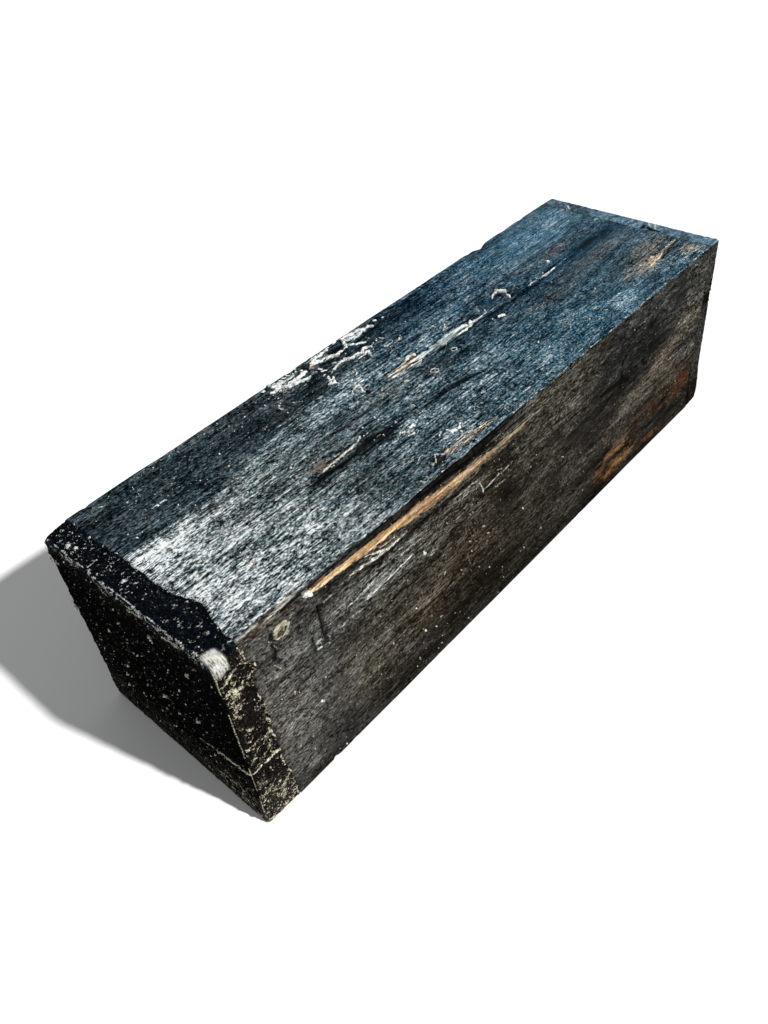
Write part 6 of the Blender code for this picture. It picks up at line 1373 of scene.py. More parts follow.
def front_shape(x, y, z, nx, nd, nz, share, d):
    """Lumps, ridges, lips and crumbs of the near seal, and where it is pale."""
    face = smooth(0.3, 0.9, -nd)
    side = 1 - face
    top = smooth(0.5, 0.9, nz) * side
    right = smooth(0.5, 0.9, nx) * side
    left = smooth(0.5, 0.9, -nx) * side
    bottom = smooth(0.5, 0.9, -nz) * side
    wy = y + 0.7 * (fbm(x / 1.6, y / 1.6, z / 1.6, 2, 96) - 0.5)
    wz = z + 0.9 * (fbm(x / 1.6, y / 1.6, z / 1.6, 2, 97) - 0.5)
    wx = x + 0.9 * (fbm(x / 1.6, y / 1.6, z / 1.6, 2, 98) - 0.5)
    lump = fbm(x / 2.6, y / 2.6, z / 2.6, 4, 81) - 0.5
    fine = fbm(x / 0.9, y / 0.9, z / 0.9, 3, 82) - 0.5
    f1, f2, who = worley(x / 1.3, y / 1.3, z / 1.3, 83)
    crumb = smooth(0.46, 0.20, f1) * (who > 0.76)
    skew = z + 0.8 * (y + 127)
    g1, g2, gw = worley(x / 3.0, (y + 0.3 * z) / 2.6, skew / 2.2, 84)
    web = smooth(0.17, 0.03, g2 - g1)                    # a net of ridges
    disp = 0.32 * lump + 0.34 * fine
    disp = disp + face * (0.45 * crumb + 0.25 * lump)
    disp = disp + top * (0.34 * crumb + 0.10 * web)
    ridge = fbm(x / 1.4, (y + 0.35 * z) / 4.2, (z - 0.55 * y) / 1.35, 3, 99)      # slanting ridges of the brush
    disp = disp + right * (0.26 * web - 0.15 * smooth(0.2, 0.6, g2 - g1) + 0.20 * crumb + 1.3 * (ridge - 0.5))
    disp = disp + 0.5 * smooth(18, 2, z) * face
    disp = disp * (1 - 0.55 * smooth(0.4, 0.8, -nx)) * (1 - 0.5 * smooth(8, 2, z) * (1 - right)) * (1 - 0.7 * smooth(7, 1, z) * right)
    lip = smooth(0.10, 0.02, share) * side
    disp = disp + 0.26 * lip
    lap = np.maximum(face * stroke(wx, wz, [(22, 24.2), (28, 24.8), (34, 25.8), (38, 27)], [0.35, 0.5, 0.55, 0.6]),
                     right * stroke(y, wz, [(-127, 27), (-122, 26.6), (-115.8, 26.8)], [0.5, 0.5, 0.5]))
    lap = np.maximum(lap, 0.8 * face * stroke(wx, wz, [(14, 22.6), (18, 23.4), (22, 24.2)], [0.2, 0.25, 0.3]))
    disp = disp + 0.34 * lap
    n1 = fbm(x / 1.6, y / 1.6, z / 1.6, 3, 85)
    n2 = fbm(x / 0.8, y / 0.8, z / 0.8, 2, 89)
    # cream on the right lap: pale crumbs of the coat, and a painted highlight on the crests of its ridges
    marks = [
        ([(-124.5, 66.5), (-122.6, 67.4), (-121.8, 66.4)], [0.5, 0.6, 0.4], 0.9), ([(-124.4, 64.4), (-122.4, 64.4), (-121, 63.2), (-119.8, 62.6)], [0.4, 0.55, 0.5, 0.4], 0.72),
        ([(-123.8, 61.6), (-122.6, 61.2), (-121.2, 60.8)], [0.6, 0.75, 0.5], 1.0), ([(-122.4, 59.6), (-122.2, 57.4)], [0.45, 0.35], 0.8),
        ([(-124.8, 56.2), (-122.8, 56.6), (-121, 55.6)], [0.4, 0.45, 0.3], 0.66), ([(-119.6, 69.0), (-117.6, 67.4), (-115.2, 66.8), (-114.0, 66.0)], [0.4, 0.5, 0.5, 0.4], 0.85),
        ([(-114.2, 66.0), (-116.0, 64.8), (-117.6, 64.2), (-118.6, 63.2)], [0.35, 0.4, 0.4, 0.3], 0.8), ([(-117.6, 71.8)], [0.9], 0.95), ([(-120.8, 72.4), (-121.4, 70.8)], [0.5, 0.5], 0.66),
        ([(-118.6, 62.0), (-116.8, 61.4)], [0.4, 0.35], 0.72), ([(-120.4, 50.0), (-118.6, 48.6), (-116.6, 49.4), (-116.4, 46.8)], [0.3, 0.35, 0.4, 0.35], 0.66),
        ([(-123.6, 45.0), (-122.2, 43.4), (-120.6, 41.8)], [0.45, 0.55, 0.4], 0.85), ([(-117.4, 44.6), (-116.8, 41.0), (-117.4, 38.6), (-116.9, 36.0)], [0.5, 0.65, 0.5, 0.6], 0.85),
        ([(-126.0, 37.2), (-123.4, 37.4), (-121.0, 37.6), (-120.4, 36.2)], [0.7, 0.8, 0.5, 0.5], 0.72), ([(-118.4, 35.2), (-118.2, 31.0), (-118.0, 28.0)], [1.2, 1.7, 1.5], 0.66),
        ([(-116.2, 36.0), (-116.2, 30.0)], [0.45, 0.45], 0.8), ([(-124.2, 32.4), (-123.2, 31.0)], [0.35, 0.4], 0.8), ([(-121.6, 48.8), (-121.0, 47.4)], [0.3, 0.3], 0.6),
        ([(-123.4, 22.0), (-122.8, 25.6)], [0.3, 0.3], 0.6), ([(-123.4, 17.6), (-121.8, 17.8), (-120.0, 18.6)], [0.5, 0.6, 0.4], 0.8), ([(-120.4, 16.4), (-119.2, 15.2)], [0.4, 0.4], 0.6),
        ([(-116.2, 24.6), (-115.4, 20.0), (-115.0, 15.0), (-114.4, 11.0), (-114.2, 6.0), (-115.0, 3.4), (-117.0, 1.2)], [0.4, 0.4, 0.5, 0.6, 0.6, 0.6, 0.6], 0.8),
        ([(-119.6, 14.2), (-118.2, 13.2)], [0.6, 0.6], 0.85), ([(-121.4, 12.2), (-120.4, 11.4)], [0.5, 0.4], 0.72), ([(-125.4, 11.8), (-124.4, 11.0)], [0.5, 0.4], 0.6),
        ([(-124.2, 0.8), (-124.2, 5.0), (-123.8, 9.0), (-121.4, 9.8), (-120.2, 9.2)], [0.45, 0.35, 0.35, 0.4, 0.3], 0.66), ([(-119.4, 9.2), (-118.2, 8.2)], [0.6, 0.5], 0.8),
        ([(-121.8, 1.6), (-120.4, 2.4), (-119.0, 1.4), (-117.6, 2.8)], [0.5, 0.6, 0.6, 0.6], 0.66), ([(-118.4, 5.6), (-117.4, 4.4)], [0.4, 0.4], 0.5),
        ([(-117.0, 18.4), (-116.4, 20.6)], [0.4, 0.3], 0.6), ([(-118.6, 22.0), (-117.4, 20.0)], [0.3, 0.3], 0.5),
    ]
    cream = 0 * x
    for points, widths, amount in marks:
        cream = np.maximum(cream, right * amount * np.exp(-(reach_of(wy, wz, points, widths) ** 2) * 0.9))
    # brighter on the crests of the brush ridges and of the web: painted highlight on them, over the coat's pale crumbs
    cream = cream * (0.35 + 0.65 * smooth(0.40, 0.60, ridge))
    cream = np.maximum(cream, right * 0.46 * web * smooth(0.46, 0.62, n1 + 0.10 * bump(z, 64, 9) + 0.08 * bump(z, 8, 8)))
    cream = np.maximum(cream, right * (0.34 + 0.26 * bump(z, 61, 9) + 0.16 * bump(z, 36, 6) + 0.26 * bump(z, 8, 9)) * smooth(0.53, 0.67, ridge))
    cream = np.maximum(cream, right * smooth(24, 10, z) * (0.05 + 0.26 * smooth(0.53, 0.66, n2)))
    cream = np.maximum(cream, right * 0.66 * lip * smooth(0.40, 0.55, fbm(z / 2.4, 0 * z, 0 * z + 6, 2, 87)))
    cream = np.maximum(cream, 1.05 * lap)
    # pale rims of the end face: right edge, top edge, left edge dashes, bottom edge; on the top edge the pale is partly
    # flecks of the coat and partly a painted highlight where the rounded edge catches the light
    rim_r = smooth(0.10, 0.40, nx) * bump(-nd, 0.80, 0.13)
    cream = np.maximum(cream, 0.74 * rim_r * smooth(0.32, 0.46, fbm(z / 2.8, 0 * z, 0 * z + 2, 3, 86) + 0.10 * bump(z, 44, 5) + 0.10 * bump(z, 65, 5)) * smooth(1, 5, z))
    rim_t = smooth(0.10, 0.40, nz) * bump(-nd, 0.56, 0.14)
    cream = np.maximum(cream, 0.80 * rim_t * smooth(0.46, 0.56, fbm(x / 1.5, 0 * z, z / 1.5, 3, 79) + 0.07 * bump(x, 12, 20)))
    # a painted highlight along the rounded top of the end face, flecked
    top_rim_highlight = face * smooth(70.0, 72.8, z)
    cream = np.maximum(cream, 0.60 * top_rim_highlight * smooth(0.50, 0.60, fbm(x / 1.1, 0 * x, z / 0.8, 3, 78) + 0.06 * bump(x, 14, 14)))
    cream = np.maximum(cream, face * 0.75 * np.maximum.reduce([stroke(wx, wz, [(2, 70.6), (8, 71.6)], [0.5, 0.6]), stroke(wx, wz, [(-12, 72.2), (-9, 70.4), (-7.4, 69.8)], [0.4, 0.4, 0.4]),
                                                              stroke(wx, wz, [(18, 71.4), (24, 71.0)], [0.4, 0.5])]))
    cream = np.maximum(cream, face * 0.52 * np.maximum.reduce([spot(wx, wz, 30, 71.4, 5, 1.6), spot(wx, wz, -8, 70.5, 4, 2.2), spot(wx, wz, 6, 71.4, 2.4, 1.2), spot(wx, wz, -36.4, 44, 1.0, 2.0)]) * smooth(0.44, 0.58, n2))
    rim_b = face * smooth(3.4, 0.8, z)
    cream = np.maximum(cream, 0.5 * rim_b * smooth(0.50, 0.62, n2))
    cream = np.maximum(cream, face * (0.42 * smooth(24, 6, z) + 0.30 * smooth(30, 8, z) * smooth(14, 30, x)) * smooth(0.53, 0.66, n2))
    cream = np.maximum(cream, smooth(0.3, 0.6, -nx) * smooth(0.1, 0.5, -nd) * np.maximum(spot(wy, wz, -126.6, 46, 2.0, 2.4), 0.8 * spot(wy, wz, -126.6, 64, 2.0, 1.6)) * 1.1)
    # crumbs on the top lap
    patches = 0.9 * spot(y, -x, -123.0, 27, 4, 9) + 0.6 * spot(y, -x, -122, 3.4, 2, 3) + 0.6 * spot(y, -x, -121, 14, 5, 6) + 0.5 * spot(y, -x, -120.5, 34, 4, 4) + 0.25 * spot(y, -x, -122, -24, 4, 7)
    cream = np.maximum(cream, top * np.maximum(crumb * 0.50 * np.clip(0.10 + patches, 0, 1), 0.42 * smooth(0.65, 0.73, n2 + 0.075 * np.clip(patches, 0, 1.2))))
    for cu, cv, r, a in ((-122.4, 3.2, 0.8, 1.0), (-124.2, 27.4, 0.9, 0.9), (-123.4, 24.6, 0.7, 0.9), (-118.6, 24.8, 0.6, 0.8), (-126.0, 14.4, 0.6, 0.7), (-117.4, 13.6, 0.7, 0.7),
                         (-119.6, 16.0, 0.5, 0.7), (-118.0, -18.6, 0.5, 0.9), (-123.0, -21.4, 0.5, 0.8), (-120.0, -28.8, 0.4, 0.7), (-124.6, -30.4, 0.5, 0.7), (-125.0, 1.2, 0.6, 0.6),
                         (-121.4, -36.0, 0.6, 0.6)):
        cream = np.maximum(cream, top * a * np.exp(-(np.hypot(wy - cu, -wx - cv) / r) ** 2))
        disp = disp + 0.35 * top * np.exp(-(np.hypot(wy - cu, -wx - cv) / r) ** 2)
    for vv, a0, a1 in ((31.2, -125.4, -119.0), (24.0, -125.4, -119.6), (16.0, -125.6, -119.4), (11.2, -125.8, -118.6)):
        cream = np.maximum(cream, top * 0.56 * stroke(wy, -wx, [(a0, vv), (a1, vv + 0.2)], [0.35, 0.3]) * smooth(0.40, 0.56, n2))
    # specks on the end face
    for cx, cz, r in ((2, 32.5, 0.9), (-16, 32.3, 0.7), (-23, 17, 0.8), (18, 34.3, 0.7), (23, 59.6, 0.9), (9.4, 65, 0.7), (-12, 66, 0.5), (-7.4, 64, 0.5), (-34, 66, 0.8),
                      (-8, 58, 0.5), (-4.4, 19.6, 0.5), (14.6, 46, 0.5), (29.4, 67.6, 0.5), (-18, 47.4, 0.6), (-20, 25, 0.6), (7.6, 29, 0.5), (20.6, 20, 0.5), (-13.6, 20.4, 0.5), (1, 16.4, 0.5),
                      (-26, 40, 0.4), (12, 52, 0.4), (27, 41, 0.45), (-3, 42, 0.4), (-30, 30, 0.45), (31, 12, 0.45), (-10, 9, 0.5), (22, 8, 0.5), (5, 56, 0.4), (-24, 56, 0.4), (-7.5, 30, 0.55)):
        g = face * np.exp(-((np.hypot(wx - cx, (wz - cz) * 0.8) / r) ** 4))
        cream = np.maximum(cream, g)
        disp = disp + 0.5 * g
    # brightness of the coat, 0 to 1, with a painted highlight along the top of the end face
    tone = 0.036 + 0.03 * face * smooth(58, 74, z) + 0.12 * face * (smooth(22, 4, z) + 0.6 * smooth(34, 12, z) * smooth(12, 30, x)) * smooth(0.34, 0.6, n1) + 0.028 * top + 0.05 * left + 0.034 * right + 0.03 * bottom
    tone = tone + 0.03 * face * smooth(-20, -36, x) * smooth(46, 20, z)
    tone = tone + 0.05 * right * smooth(22, 8, z) + 0.07 * top_rim_highlight + 0.05 * rim_b
    # the knocked-off corner: a smooth facet, silvery and streaked; the silver is a painted glint of the key light,
    # dimmer lower down where the facet turns away
    corner = np.hypot(38 - x, HEIGHT - z) + 0.5 * (n1 - 0.5)
    facet = smooth(5.3, 4.4, corner + 0.22 * (d - 2)) * smooth(4.9, 4.2, d + 0.5 * (n2 - 0.5)) * smooth(0.9, 0.55, -nd)
    facet = facet * (1 - 0.5 * smooth(72.4, 69.6, z + 1.6 * (n1 - 0.5))) * (0.78 + 0.22 * smooth(0.40, 0.55, n2))
    ball = np.exp(-((np.hypot(y + 119.0, np.hypot(x - 35.6, z - 73.4)) / 1.9) ** 4))
    disp = disp * (1 - 0.85 * facet) + 0.9 * ball
    # the lump is dark and glossy: its lighter tone and the pale spots laid on it are painted highlights
    tone = tone * (1 + 0.6 * ball)
    cream = cream * (1 - 0.9 * facet) * (1 - 0.7 * ball) + 0.40 * ball * smooth(0.54, 0.66, n2)
    brown = np.clip(face * smooth(30, 4, z) * 0.3 + right * 0.45, 0, 1)
    # painted sky reflection: blue laid on the top lap and the top rim of the coat
    sky_blue_sheen = np.clip(top * 0.9 + 0.7 * top_rim_highlight + 0.7 * rim_t, 0, 1)
    fleck = np.clip(0.80 * face + 0.35 * face * smooth(22, 2, z) + 0.3 * face * smooth(60, 74, z) + top * (0.30 + 0.35 * smooth(6, 16, -x)) + 0.8 * left + 0.7 * right + 0.5 * bottom, 0, 1.15)
    cream = cream * (1 - 0.6 * smooth(0.3, 0.9, facet))
    return dict(cream=cream, tone=tone, facet=facet, brown=brown, sky_blue_sheen=sky_blue_sheen, fleck=fleck), disp


def rear_shape(x, y, z, nx, nd, nz, share, d):
    face = smooth(0.3, 0.9, -nd)
    side = 1 - face
    top = smooth(0.5, 0.9, nz) * side
    right = smooth(0.5, 0.9, nx) * side
    left = smooth(0.5, 0.9, -nx) * side
    lump = fbm(x / 3.0, y / 3.0, z / 3.0, 4, 91) - 0.5
    fine = fbm(x / 1.0, y / 1.0, z / 1.0, 3, 92) - 0.5
    f1, f2, who = worley(x / 1.5, y / 1.5, z / 1.5, 93)
    crumb = smooth(0.44, 0.2, f1) * (who > 0.82)
    brush = fbm(x / 14, y / 2, z / 0.9, 3, 94) - 0.5
    disp = 0.12 * lump + 0.14 * fine + 0.25 * (fbm(x / 0.9, y / 3.0, z / 0.9, 3, 88) - 0.5) + face * (0.34 * crumb + 0.30 * brush + 0.20 * fine)
    disp = disp + (right + face * smooth(24, 36, x)) * 0.7 * bump(z, 8, 8)
    chip = right * smooth(120.6, 121.4, y + 0.5 * lump) * smooth(48.0, 48.8, z + 0.25 * (y - 121)) * smooth(53.2, 52.4, z)
    disp = disp - 0.75 * chip
    n1 = fbm(x / 1.8, y / 1.8, z / 1.8, 3, 95)
    cream = face * crumb * 0.55 * (who > 0.90)
    cream = np.maximum(cream, top * 0.62 * stroke(y, -x, [(119.8, 24.8), (121.6, 26.2), (124.0, 28.0)], [0.6, 0.9, 0.5]))
    cream = np.maximum(cream, top * 0.8 * np.maximum(stroke(y, -x, [(123.6, -10), (126, -8.8)], [0.6, 0.4]),
                                                     stroke(y, -x, [(122.4, -13.4), (125.4, -11.6)], [0.6, 0.9])))
    cream = np.maximum(cream, top * 0.72 * spot(y, -x, 120.4, -24.2, 1.5, 0.9))
    cream = np.maximum(cream, right * 0.6 * spot(y, z, 126.4, 19, 0.9, 1.2))
    cream = np.maximum(cream, left * crumb * 0.6)
    dark = np.maximum.reduce([right * spot(y, z, 126.0, 57, 1.5, 1.7), right * spot(y, z, 126.0, 44, 1.5, 1.3),
                              top * stroke(y, -x, [(120.6, -8.6), (123.0, -8.4)], [0.7, 0.6]), top * stroke(y, -x, [(122.0, -10.4), (121.0, -12.6), (121.2, -15.2)], [0.6, 0.7, 0.6])])
    # the lap has worn thin, so that much of the wood's own colour shows through it; its top is lighter also as a
    # painted sky reflection
    tone = 0.05 + 0.02 * face + top * (0.40 + 0.05 * smooth(-4, -16, -x) * smooth(120, 122, y) + 0.04 * spot(y, -x, 123, 4, 4, 18) - 0.05 * smooth(10, 25, -x)) + right * 0.085 + left * 0.06
    tone = tone + right * (0.05 * bump(z, 66, 9) + 0.03 * bump(z, 30, 16))
    tone = tone + 0.06 * top * (bump(-x, -6, 4) - bump(-x, 24, 4) - bump(-x, -27, 4)) + (0.55 * top + 0.16 * right) * (fbm(x / 0.8, y / 2.6, z / 0.8, 3, 101) - 0.5)
    tone = tone * (1 - 0.9 * np.clip(dark * 1.5, 0, 1)) + 0.10 * top * (n1 - 0.5)
    tone = tone * (1 - 0.45 * right * smooth(24, 6, z)) * (1 - 0.62 * chip)
    tone = np.maximum(tone, 0.015)
    brown = np.clip(right * (0.35 + 0.6 * smooth(34, 10, z)) + chip, 0, 1)
    # painted sky reflection: blue laid on the top of the coat, a little on its left side
    sky_blue_sheen = np.clip(top * 0.85 + left * 0.3, 0, 1)
    fleck = np.clip(0.5 * face + 0.2 * top + 0.15 * right + 0.5 * left, 0, 1)
    return dict(cream=cream, tone=tone, facet=0 * x, brown=brown, sky_blue_sheen=sky_blue_sheen, fleck=fleck), disp


def seal_material():
    m = Nodes("end_seal")
    lump = m.noise(m.scaled(0.55, 0.55, 0.55), 4.0, 0.6)
    grit = m.noise(m.scaled(1.7, 1.7, 1.7, (4, 1, 2)), 3.0, 0.65)
    fine = m.noise(m.scaled(4.2, 4.2, 4.2, (1, 5, 3)), 2.0, 0.6)
    tone = m.attr("tone")
    fleck_in = m.attr("fleck")
    swing = m.total(cent(m, grit, 0.50), cent(m, fine, 0.40), cent(m, lump, 0.25))
    level = m.math("MULTIPLY", tone, m.math("EXPONENT", m.math("MULTIPLY", swing, m.step(tone, 0.1, 0.3, 1.0, 0.42))))
    # flecks: two sizes, each with its own brightness
    for cells, big, few, bright, shift in ((1.15, 0.26, 0.58, 0.66, 3), (2.1, 0.30, 0.50, 0.46, 7), (0.62, 0.16, 0.74, 0.90, 5), (0.36, 0.42, 0.60, 0.11, 9)):
        v = m.voronoi(m.scaled(cells, cells, cells, (shift, 2, 1)))
        f = m.math("MULTIPLY", m.step(v.outputs["Distance"], big * 0.45, big, 1.0, 0.0), m.step(v.outputs["Color"], few, 1.0))
        f = m.math("MULTIPLY", m.math("MULTIPLY", f, fleck_in), bright)
        level = m.math("MAXIMUM", level, f)
    level = m.math("MINIMUM", m.math("MAXIMUM", level, 0.01), 0.98)
    grey = m.ramp(level, grey_stops())
    warm = m.mix(m.attr("brown"), (1.0, 0.985, 0.95), (1.0, 0.86, 0.70))
    # painted sky reflection: the coat turns blue where it faces the sky, and its pale specks there turn cooler
    tint = m.mix(m.attr("sky_blue_sheen"), warm, (0.42, 0.68, 1.0))
    tint = m.mix(m.step(level, 0.2, 0.5), tint, (1.0, 0.985, 0.95))
    colour = m.mix(1.0, grey, m.mix(m.step(tone, 0.2, 0.35, 0.0, 1.0), tint, m.mix(m.attr("sky_blue_sheen"), warm, (0.34, 0.70, 1.0))), "MULTIPLY")
    cream_in = m.attr("cream")
    along = m.noise(m.scaled(1.9, 0.75, 1.9, (5, 2, 8)), 3.0, 0.68, 0.3)
    depth = m.total(cream_in, cent(m, grit, 0.13), cent(m, fine, 0.10), cent(m, along, 0.12))
    cream = m.step(depth, 0.36, 0.54)
    cream = m.math("MULTIPLY", cream, m.step(cream_in, 0.06, 0.2))
    shade = m.total(m.math("MULTIPLY", depth, 0.72), cent(m, fine, 0.09), cent(m, along, 0.07), cent(m, lump, 0.03))
    warm_pale = m.ramp(shade, [(0.16, lin(46, 40, 32)), (0.28, lin(86, 78, 62)), (0.40, lin(132, 122, 100)), (0.54, lin(182, 174, 150)), (0.68, lin(226, 222, 206))])
    cool_pale = m.ramp(shade, [(0.16, lin(44, 50, 54)), (0.28, lin(92, 100, 104)), (0.40, lin(150, 156, 156)), (0.52, lin(204, 208, 204)), (0.64, lin(238, 240, 236))])
    pale = m.mix(m.attr("sky_blue_sheen"), warm_pale, cool_pale)
    colour = m.mix(m.math("MULTIPLY", cream, 0.94), colour, pale)
    # painted glint of the key light on the smooth facet, in silvery streaks
    facet = m.attr("facet")
    streak = m.noise(m.scaled(0.40, 2.0, 0.40, (3, 3, 3)), 3.0, 0.65, 0.3)
    facet_glint = m.ramp(m.total(streak, cent(m, grit, 0.02)), [(0.33, lin(96, 98, 90)), (0.41, lin(158, 162, 154)), (0.48, lin(208, 210, 200)), (0.55, lin(244, 243, 234)), (0.62, lin(206, 202, 184)), (0.70, lin(120, 112, 92))])
    colour = m.mix(facet, colour, facet_glint)
    rough = m.math("MULTIPLY_ADD", grit, 0.4, 0.45, clamp=True)
    h = m.total(m.math("MULTIPLY", lump, 0.5), m.math("MULTIPLY", grit, 0.6), m.math("MULTIPLY", fine, 0.35), m.math("MULTIPLY", cream, 0.25))
    return m.finish(colour, rough, m.bump(h, 0.45, 0.8), 0.0)


seal_mat = seal_material()
front = make_seal("front_end_seal", -1, front_reach, front_radii, front_bevel, 28, 60, fine_edge_front, front_shape, "end_seal_front")
rear = make_seal("rear_end_seal", 1, rear_reach, rear_radii, rear_bevel, 18, 46, fine_edge_rear, rear_shape, "end_seal_rear")
for o in (front, rear):
    o.data.materials.append(seal_mat)


# =============================================================== crumbs
def ball_mesh():
    """A coarse ball: 12 corners, 20 faces."""
    p = (1 + math.sqrt(5)) / 2
    v = np.array([(-1, p, 0), (1, p, 0), (-1, -p, 0), (1, -p, 0), (0, -1, p), (0, 1, p), (0, -1, -p), (0, 1, -p), (p, 0, -1), (p, 0, 1), (-p, 0, -1), (-p, 0, 1)], float)
    v /= np.linalg.norm(v[0])
    t = np.array([(0, 11, 5), (0, 5, 1), (0, 1, 7), (0, 7, 10), (0, 10, 11), (1, 5, 9), (5, 11, 4), (11, 10, 2), (10, 7, 6), (7, 1, 8),
                  (3, 9, 4), (3, 4, 2), (3, 2, 6), (3, 6, 8), (3, 8, 9), (4, 9, 5), (2, 4, 11), (6, 2, 10), (8, 6, 7), (9, 8, 1)])
    return v, t


def scatter(name, centres, sizes, colours, seed):
    """Crumbs of uneven shape, each sunk a little in what it sticks to."""
    rng = np.random.default_rng(seed)
    v, t = ball_mesh()
    count = len(centres)
    shape = 1 + 0.45 * (rng.random((count, 12, 1)) - 0.5)
    squash = 0.6 + 0.8 * rng.random((count, 1, 3))
    verts = centres[:, None, :] + v[None] * shape * squash * sizes[:, None, None]
    tris = t[None] + (np.arange(count) * 12)[:, None, None]
    obj = link_mesh(name, verts.reshape(-1, 3), np.zeros((0, 4)), tris.reshape(-1, 3))
    give(obj, ink=np.repeat(colours, 12, axis=0), lift=np.full(count * 12, 1.0))
    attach(obj, "root")
    return obj


rng = np.random.default_rng(77)


def crumbs_on(face, count, u0, u1, v0, v1, small, big, shades, weight=None):
    """Random crumbs on one face, thinned by weight(u, v)."""
    u = rng.uniform(u0, u1, count * 4)
    v = rng.uniform(v0, v1, count * 4)
    w = weight(u, v) if weight else np.ones(len(u))
    keep = rng.random(len(u)) < w
    u, v = u[keep][:count], v[keep][:count]
    r = small + (big - small) * rng.random(len(u)) ** 3
    base = wood_relief(face, u, v)
    c = surface(face, u, v, base + r * 0.15)
    pick = rng.integers(0, len(shades), len(u))
    col = linear(np.array(shades)[pick]) * (0.55 + 0.6 * rng.random((len(u), 1)))
    return c, r, col


top_w = lambda u, v: np.clip(0.25 + 0.6 * smooth(30, -30, u) + 0.5 * spot(u, v, -100, 26, 26, 12) + 0.5 * spot(u, v, -20, 26, 30, 14), 0, 1)
PALE = [(206, 208, 202), (170, 176, 176), (222, 214, 196), (140, 146, 150), (236, 238, 236)]
WARM = [(170, 164, 150), (140, 132, 118), (200, 194, 182), (120, 112, 100), (224, 220, 210)]
DARK = [(22, 22, 24), (34, 32, 30), (14, 14, 16)]
parts = [
    crumbs_on("top", 620, -116, 116, -36.5, 36.5, 0.13, 0.42, PALE, top_w),
    crumbs_on("top", 260, -116, 110, -36.5, 36.5, 0.15, 0.40, DARK, top_w),
    crumbs_on("right", 300, -112, 116, 1.5, 72, 0.12, 0.34, WARM, lambda u, v: 0.35 + 0.6 * smooth(40, -60, u)),
    crumbs_on("right", 160, -112, 116, 1.5, 72, 0.14, 0.36, DARK, None),
    crumbs_on("left", 260, -112, 116, 1.5, 72, 0.14, 0.42, PALE, None),
    crumbs_on("left", 120, -112, 116, 1.5, 72, 0.16, 0.42, DARK, None),
]
loose = scatter("crumbs_on_wood", np.concatenate([p[0] for p in parts]), np.concatenate([p[1] for p in parts]), np.concatenate([p[2] for p in parts]), 5)


def crumbs_on_end(sign, count, small, big, shades, weight):
    x = rng.uniform(-36.4, 36.4, count * 3)
    z = rng.uniform(1.4, 72.6, count * 3)
    keep = rng.random(len(x)) < weight(x, z)
    x, z = x[keep][:count], z[keep][:count]
    r = small + (big - small) * rng.random(len(x)) ** 3
    c = np.stack([x, sign * (END + 0.05 + 0 * x), z], -1)
    pick = rng.integers(0, len(shades), len(x))
    return c, r, linear(np.array(shades)[pick]) * (0.4 + 0.7 * rng.random((len(x), 1)))


def crumbs_on_lap(count, small, big, shades):
    """Crumbs on the near seal's lap, on its right and top faces."""
    s = rng.uniform(0, 4, count)
    s = s[(s > 1.02) & (s < 3.05)]
    share = rng.random(len(s)) ** 0.8
    d = 0.9 + (front_reach(s) - 1.4) * share
    x = np.select([s < 2, s < 3], [38.0 + 0 * s, 38 - 76 * (s - 2)], -38.0 + 0 * s)
    z = np.select([s < 2, s < 3], [74.3 * (s - 1), 74.3 + 0 * s], 74.3 * (4 - s))
    ok = (np.hypot(38 - np.abs(x), 74.3 - z) > 6.0) & (z > 1.6)
    x, z, d = x[ok], z[ok], d[ok]
    r = small + (big - small) * rng.random(len(x)) ** 3
    pick = rng.integers(0, len(shades), len(x))
    return np.stack([x, -(END - d), z], -1), r, linear(np.array(shades)[pick]) * (0.4 + 0.7 * rng.random((len(x), 1)))


SEALP = [(206, 204, 196), (160, 156, 146), (116, 114, 108), (232, 232, 226), (92, 90, 86)]
front_w = lambda x, z: np.clip(0.30 + 0.5 * smooth(20, 2, z) + 0.5 * smooth(60, 73, z) + 0.3 * spot(x, z, 0, 40, 30, 20), 0, 1)
parts = [
    crumbs_on_end(-1, 620, 0.12, 0.36, SEALP, front_w), crumbs_on_end(-1, 500, 0.2, 0.55, DARK, front_w),
    crumbs_on_lap(300, 0.12, 0.34, SEALP), crumbs_on_lap(420, 0.2, 0.5, DARK),
    crumbs_on_end(1, 260, 0.14, 0.40, SEALP, front_w), crumbs_on_end(1, 260, 0.2, 0.5, DARK, front_w),
]
parts.append((np.array([[-38.0, -127.0, 46.1], [-38.1, -127.1, 45.2], [-38.1, -127.1, 44.2], [-38.0, -127.1, 43.3], [-37.7, -127.1, 42.5], [-38.0, -127.0, 65.2], [-38.0, -127.0, 64.2]]),
              np.array([0.50, 0.62, 0.66, 0.58, 0.40, 0.35, 0.3]), linear(np.array([(238, 238, 232)] * 5 + [(180, 180, 170)] * 2))))
bright = [(2.0, 32.5, 0.50), (2.5, 33.3, 0.40), (-16.0, 32.3, 0.36), (18.0, 34.3, 0.46), (23.0, 59.6, 0.42), (9.4, 65.0, 0.40), (9.9, 64.2, 0.36), (10.4, 63.5, 0.30), (-4.4, 46.6, 0.34),
          (-8.0, 58.0, 0.30), (14.6, 46.0, 0.30), (-23.0, 17.0, 0.30), (7.6, 29.0, 0.28), (-20.0, 25.0, 0.28), (1.0, 16.4, 0.28), (20.6, 20.0, 0.30), (-18.0, 47.4, 0.30), (27.0, 41.0, 0.26)]
parts.append((np.array([[bx, -127.15, bz] for bx, bz, br in bright]), np.array([br for bx, bz, br in bright]), linear(np.array([(226, 226, 222)] * len(bright)))))
stuck = scatter("crumbs_on_seals", np.concatenate([p[0] for p in parts]), np.concatenate([p[1] for p in parts]), np.concatenate([p[2] for p in parts]), 6)
crumb_mat = crust_material("crumbs", 0.2, 0.0)
loose.data.materials.append(crumb_mat)
stuck.data.materials.append(crumb_mat)


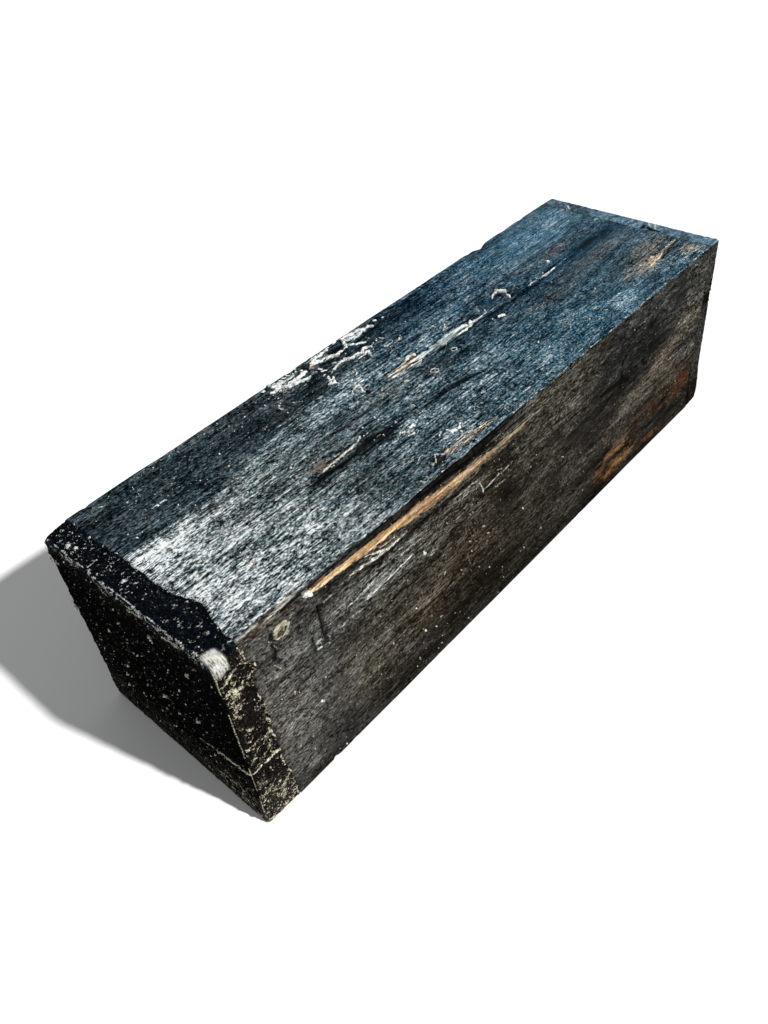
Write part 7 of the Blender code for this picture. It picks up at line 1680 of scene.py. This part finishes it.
# =============================================================== floor, light, camera
def make_floor():
    s, n = 4000.0, 9
    g = np.linspace(-s, s, n)
    xs, ys = np.meshgrid(g, g)
    verts = np.stack([xs.ravel(), ys.ravel(), np.full(n * n, -0.02)], -1)
    f = [(a * n + b, a * n + b + 1, (a + 1) * n + b + 1, (a + 1) * n + b) for a in range(n - 1) for b in range(n - 1)]
    obj = link_mesh("floor", verts, f, (), False)
    m = Nodes("floor_paper")
    cloud = m.noise(m.scaled(0.004, 0.004, 0.004), 2.0)
    obj.data.materials.append(m.finish(m.mix(cloud, (0.80, 0.80, 0.80), (0.82, 0.82, 0.82)), 0.9, None, 0.0))


make_floor()

sun_data = bpy.data.lights.new("key", "SUN")
sun_data.energy = 5.22
sun_data.angle = math.radians(2.2)
sun_data.color = (1.0, 0.995, 0.985)
sun = bpy.data.objects.new("key", sun_data)
toward = Vector((1.14, 0.29, 1.0)).normalized()
sun.rotation_euler = toward.to_track_quat("Z", "Y").to_euler()
bpy.context.scene.collection.objects.link(sun)

world = bpy.data.worlds.new("world")
bpy.context.scene.world = world
world.use_nodes = True
bg = next(nd for nd in world.node_tree.nodes if nd.type == "BACKGROUND")
bg.inputs["Color"].default_value = (0.98, 0.99, 1.0, 1.0)
bg.inputs["Strength"].default_value = 0.36

cam_data = bpy.data.cameras.new("camera")
cam_data.sensor_fit = "VERTICAL"
cam_data.sensor_height = 24.0
cam_data.lens = 24.0 * 884.4 / 1024.0
cam_data.clip_start = 0.01
cam_data.clip_end = 50.0
cam = bpy.data.objects.new("camera", cam_data)
bpy.context.scene.collection.objects.link(cam)


def aim(cam, right, down, place):
    """A camera with these directions to the right and down in its picture."""
    right = right.normalized()
    up = (-down - right * (-down).dot(right)).normalized()
    back = right.cross(up)
    cam.matrix_world = Matrix((
        (right.x, up.x, back.x, place[0] * MM),
        (right.y, up.y, back.y, place[1] * MM),
        (right.z, up.z, back.z, place[2] * MM),
        (0, 0, 0, 1),
    ))


aim(cam, Vector((0.74113082, 0.66404653, -0.09882972)), Vector((0.39976635, -0.55476875, -0.72967013)), (166.035, -183.753, 238.584))
bpy.context.scene.camera = cam
bpy.context.scene.view_settings.view_transform = "Standard"
bpy.context.scene.view_settings.look = "None"
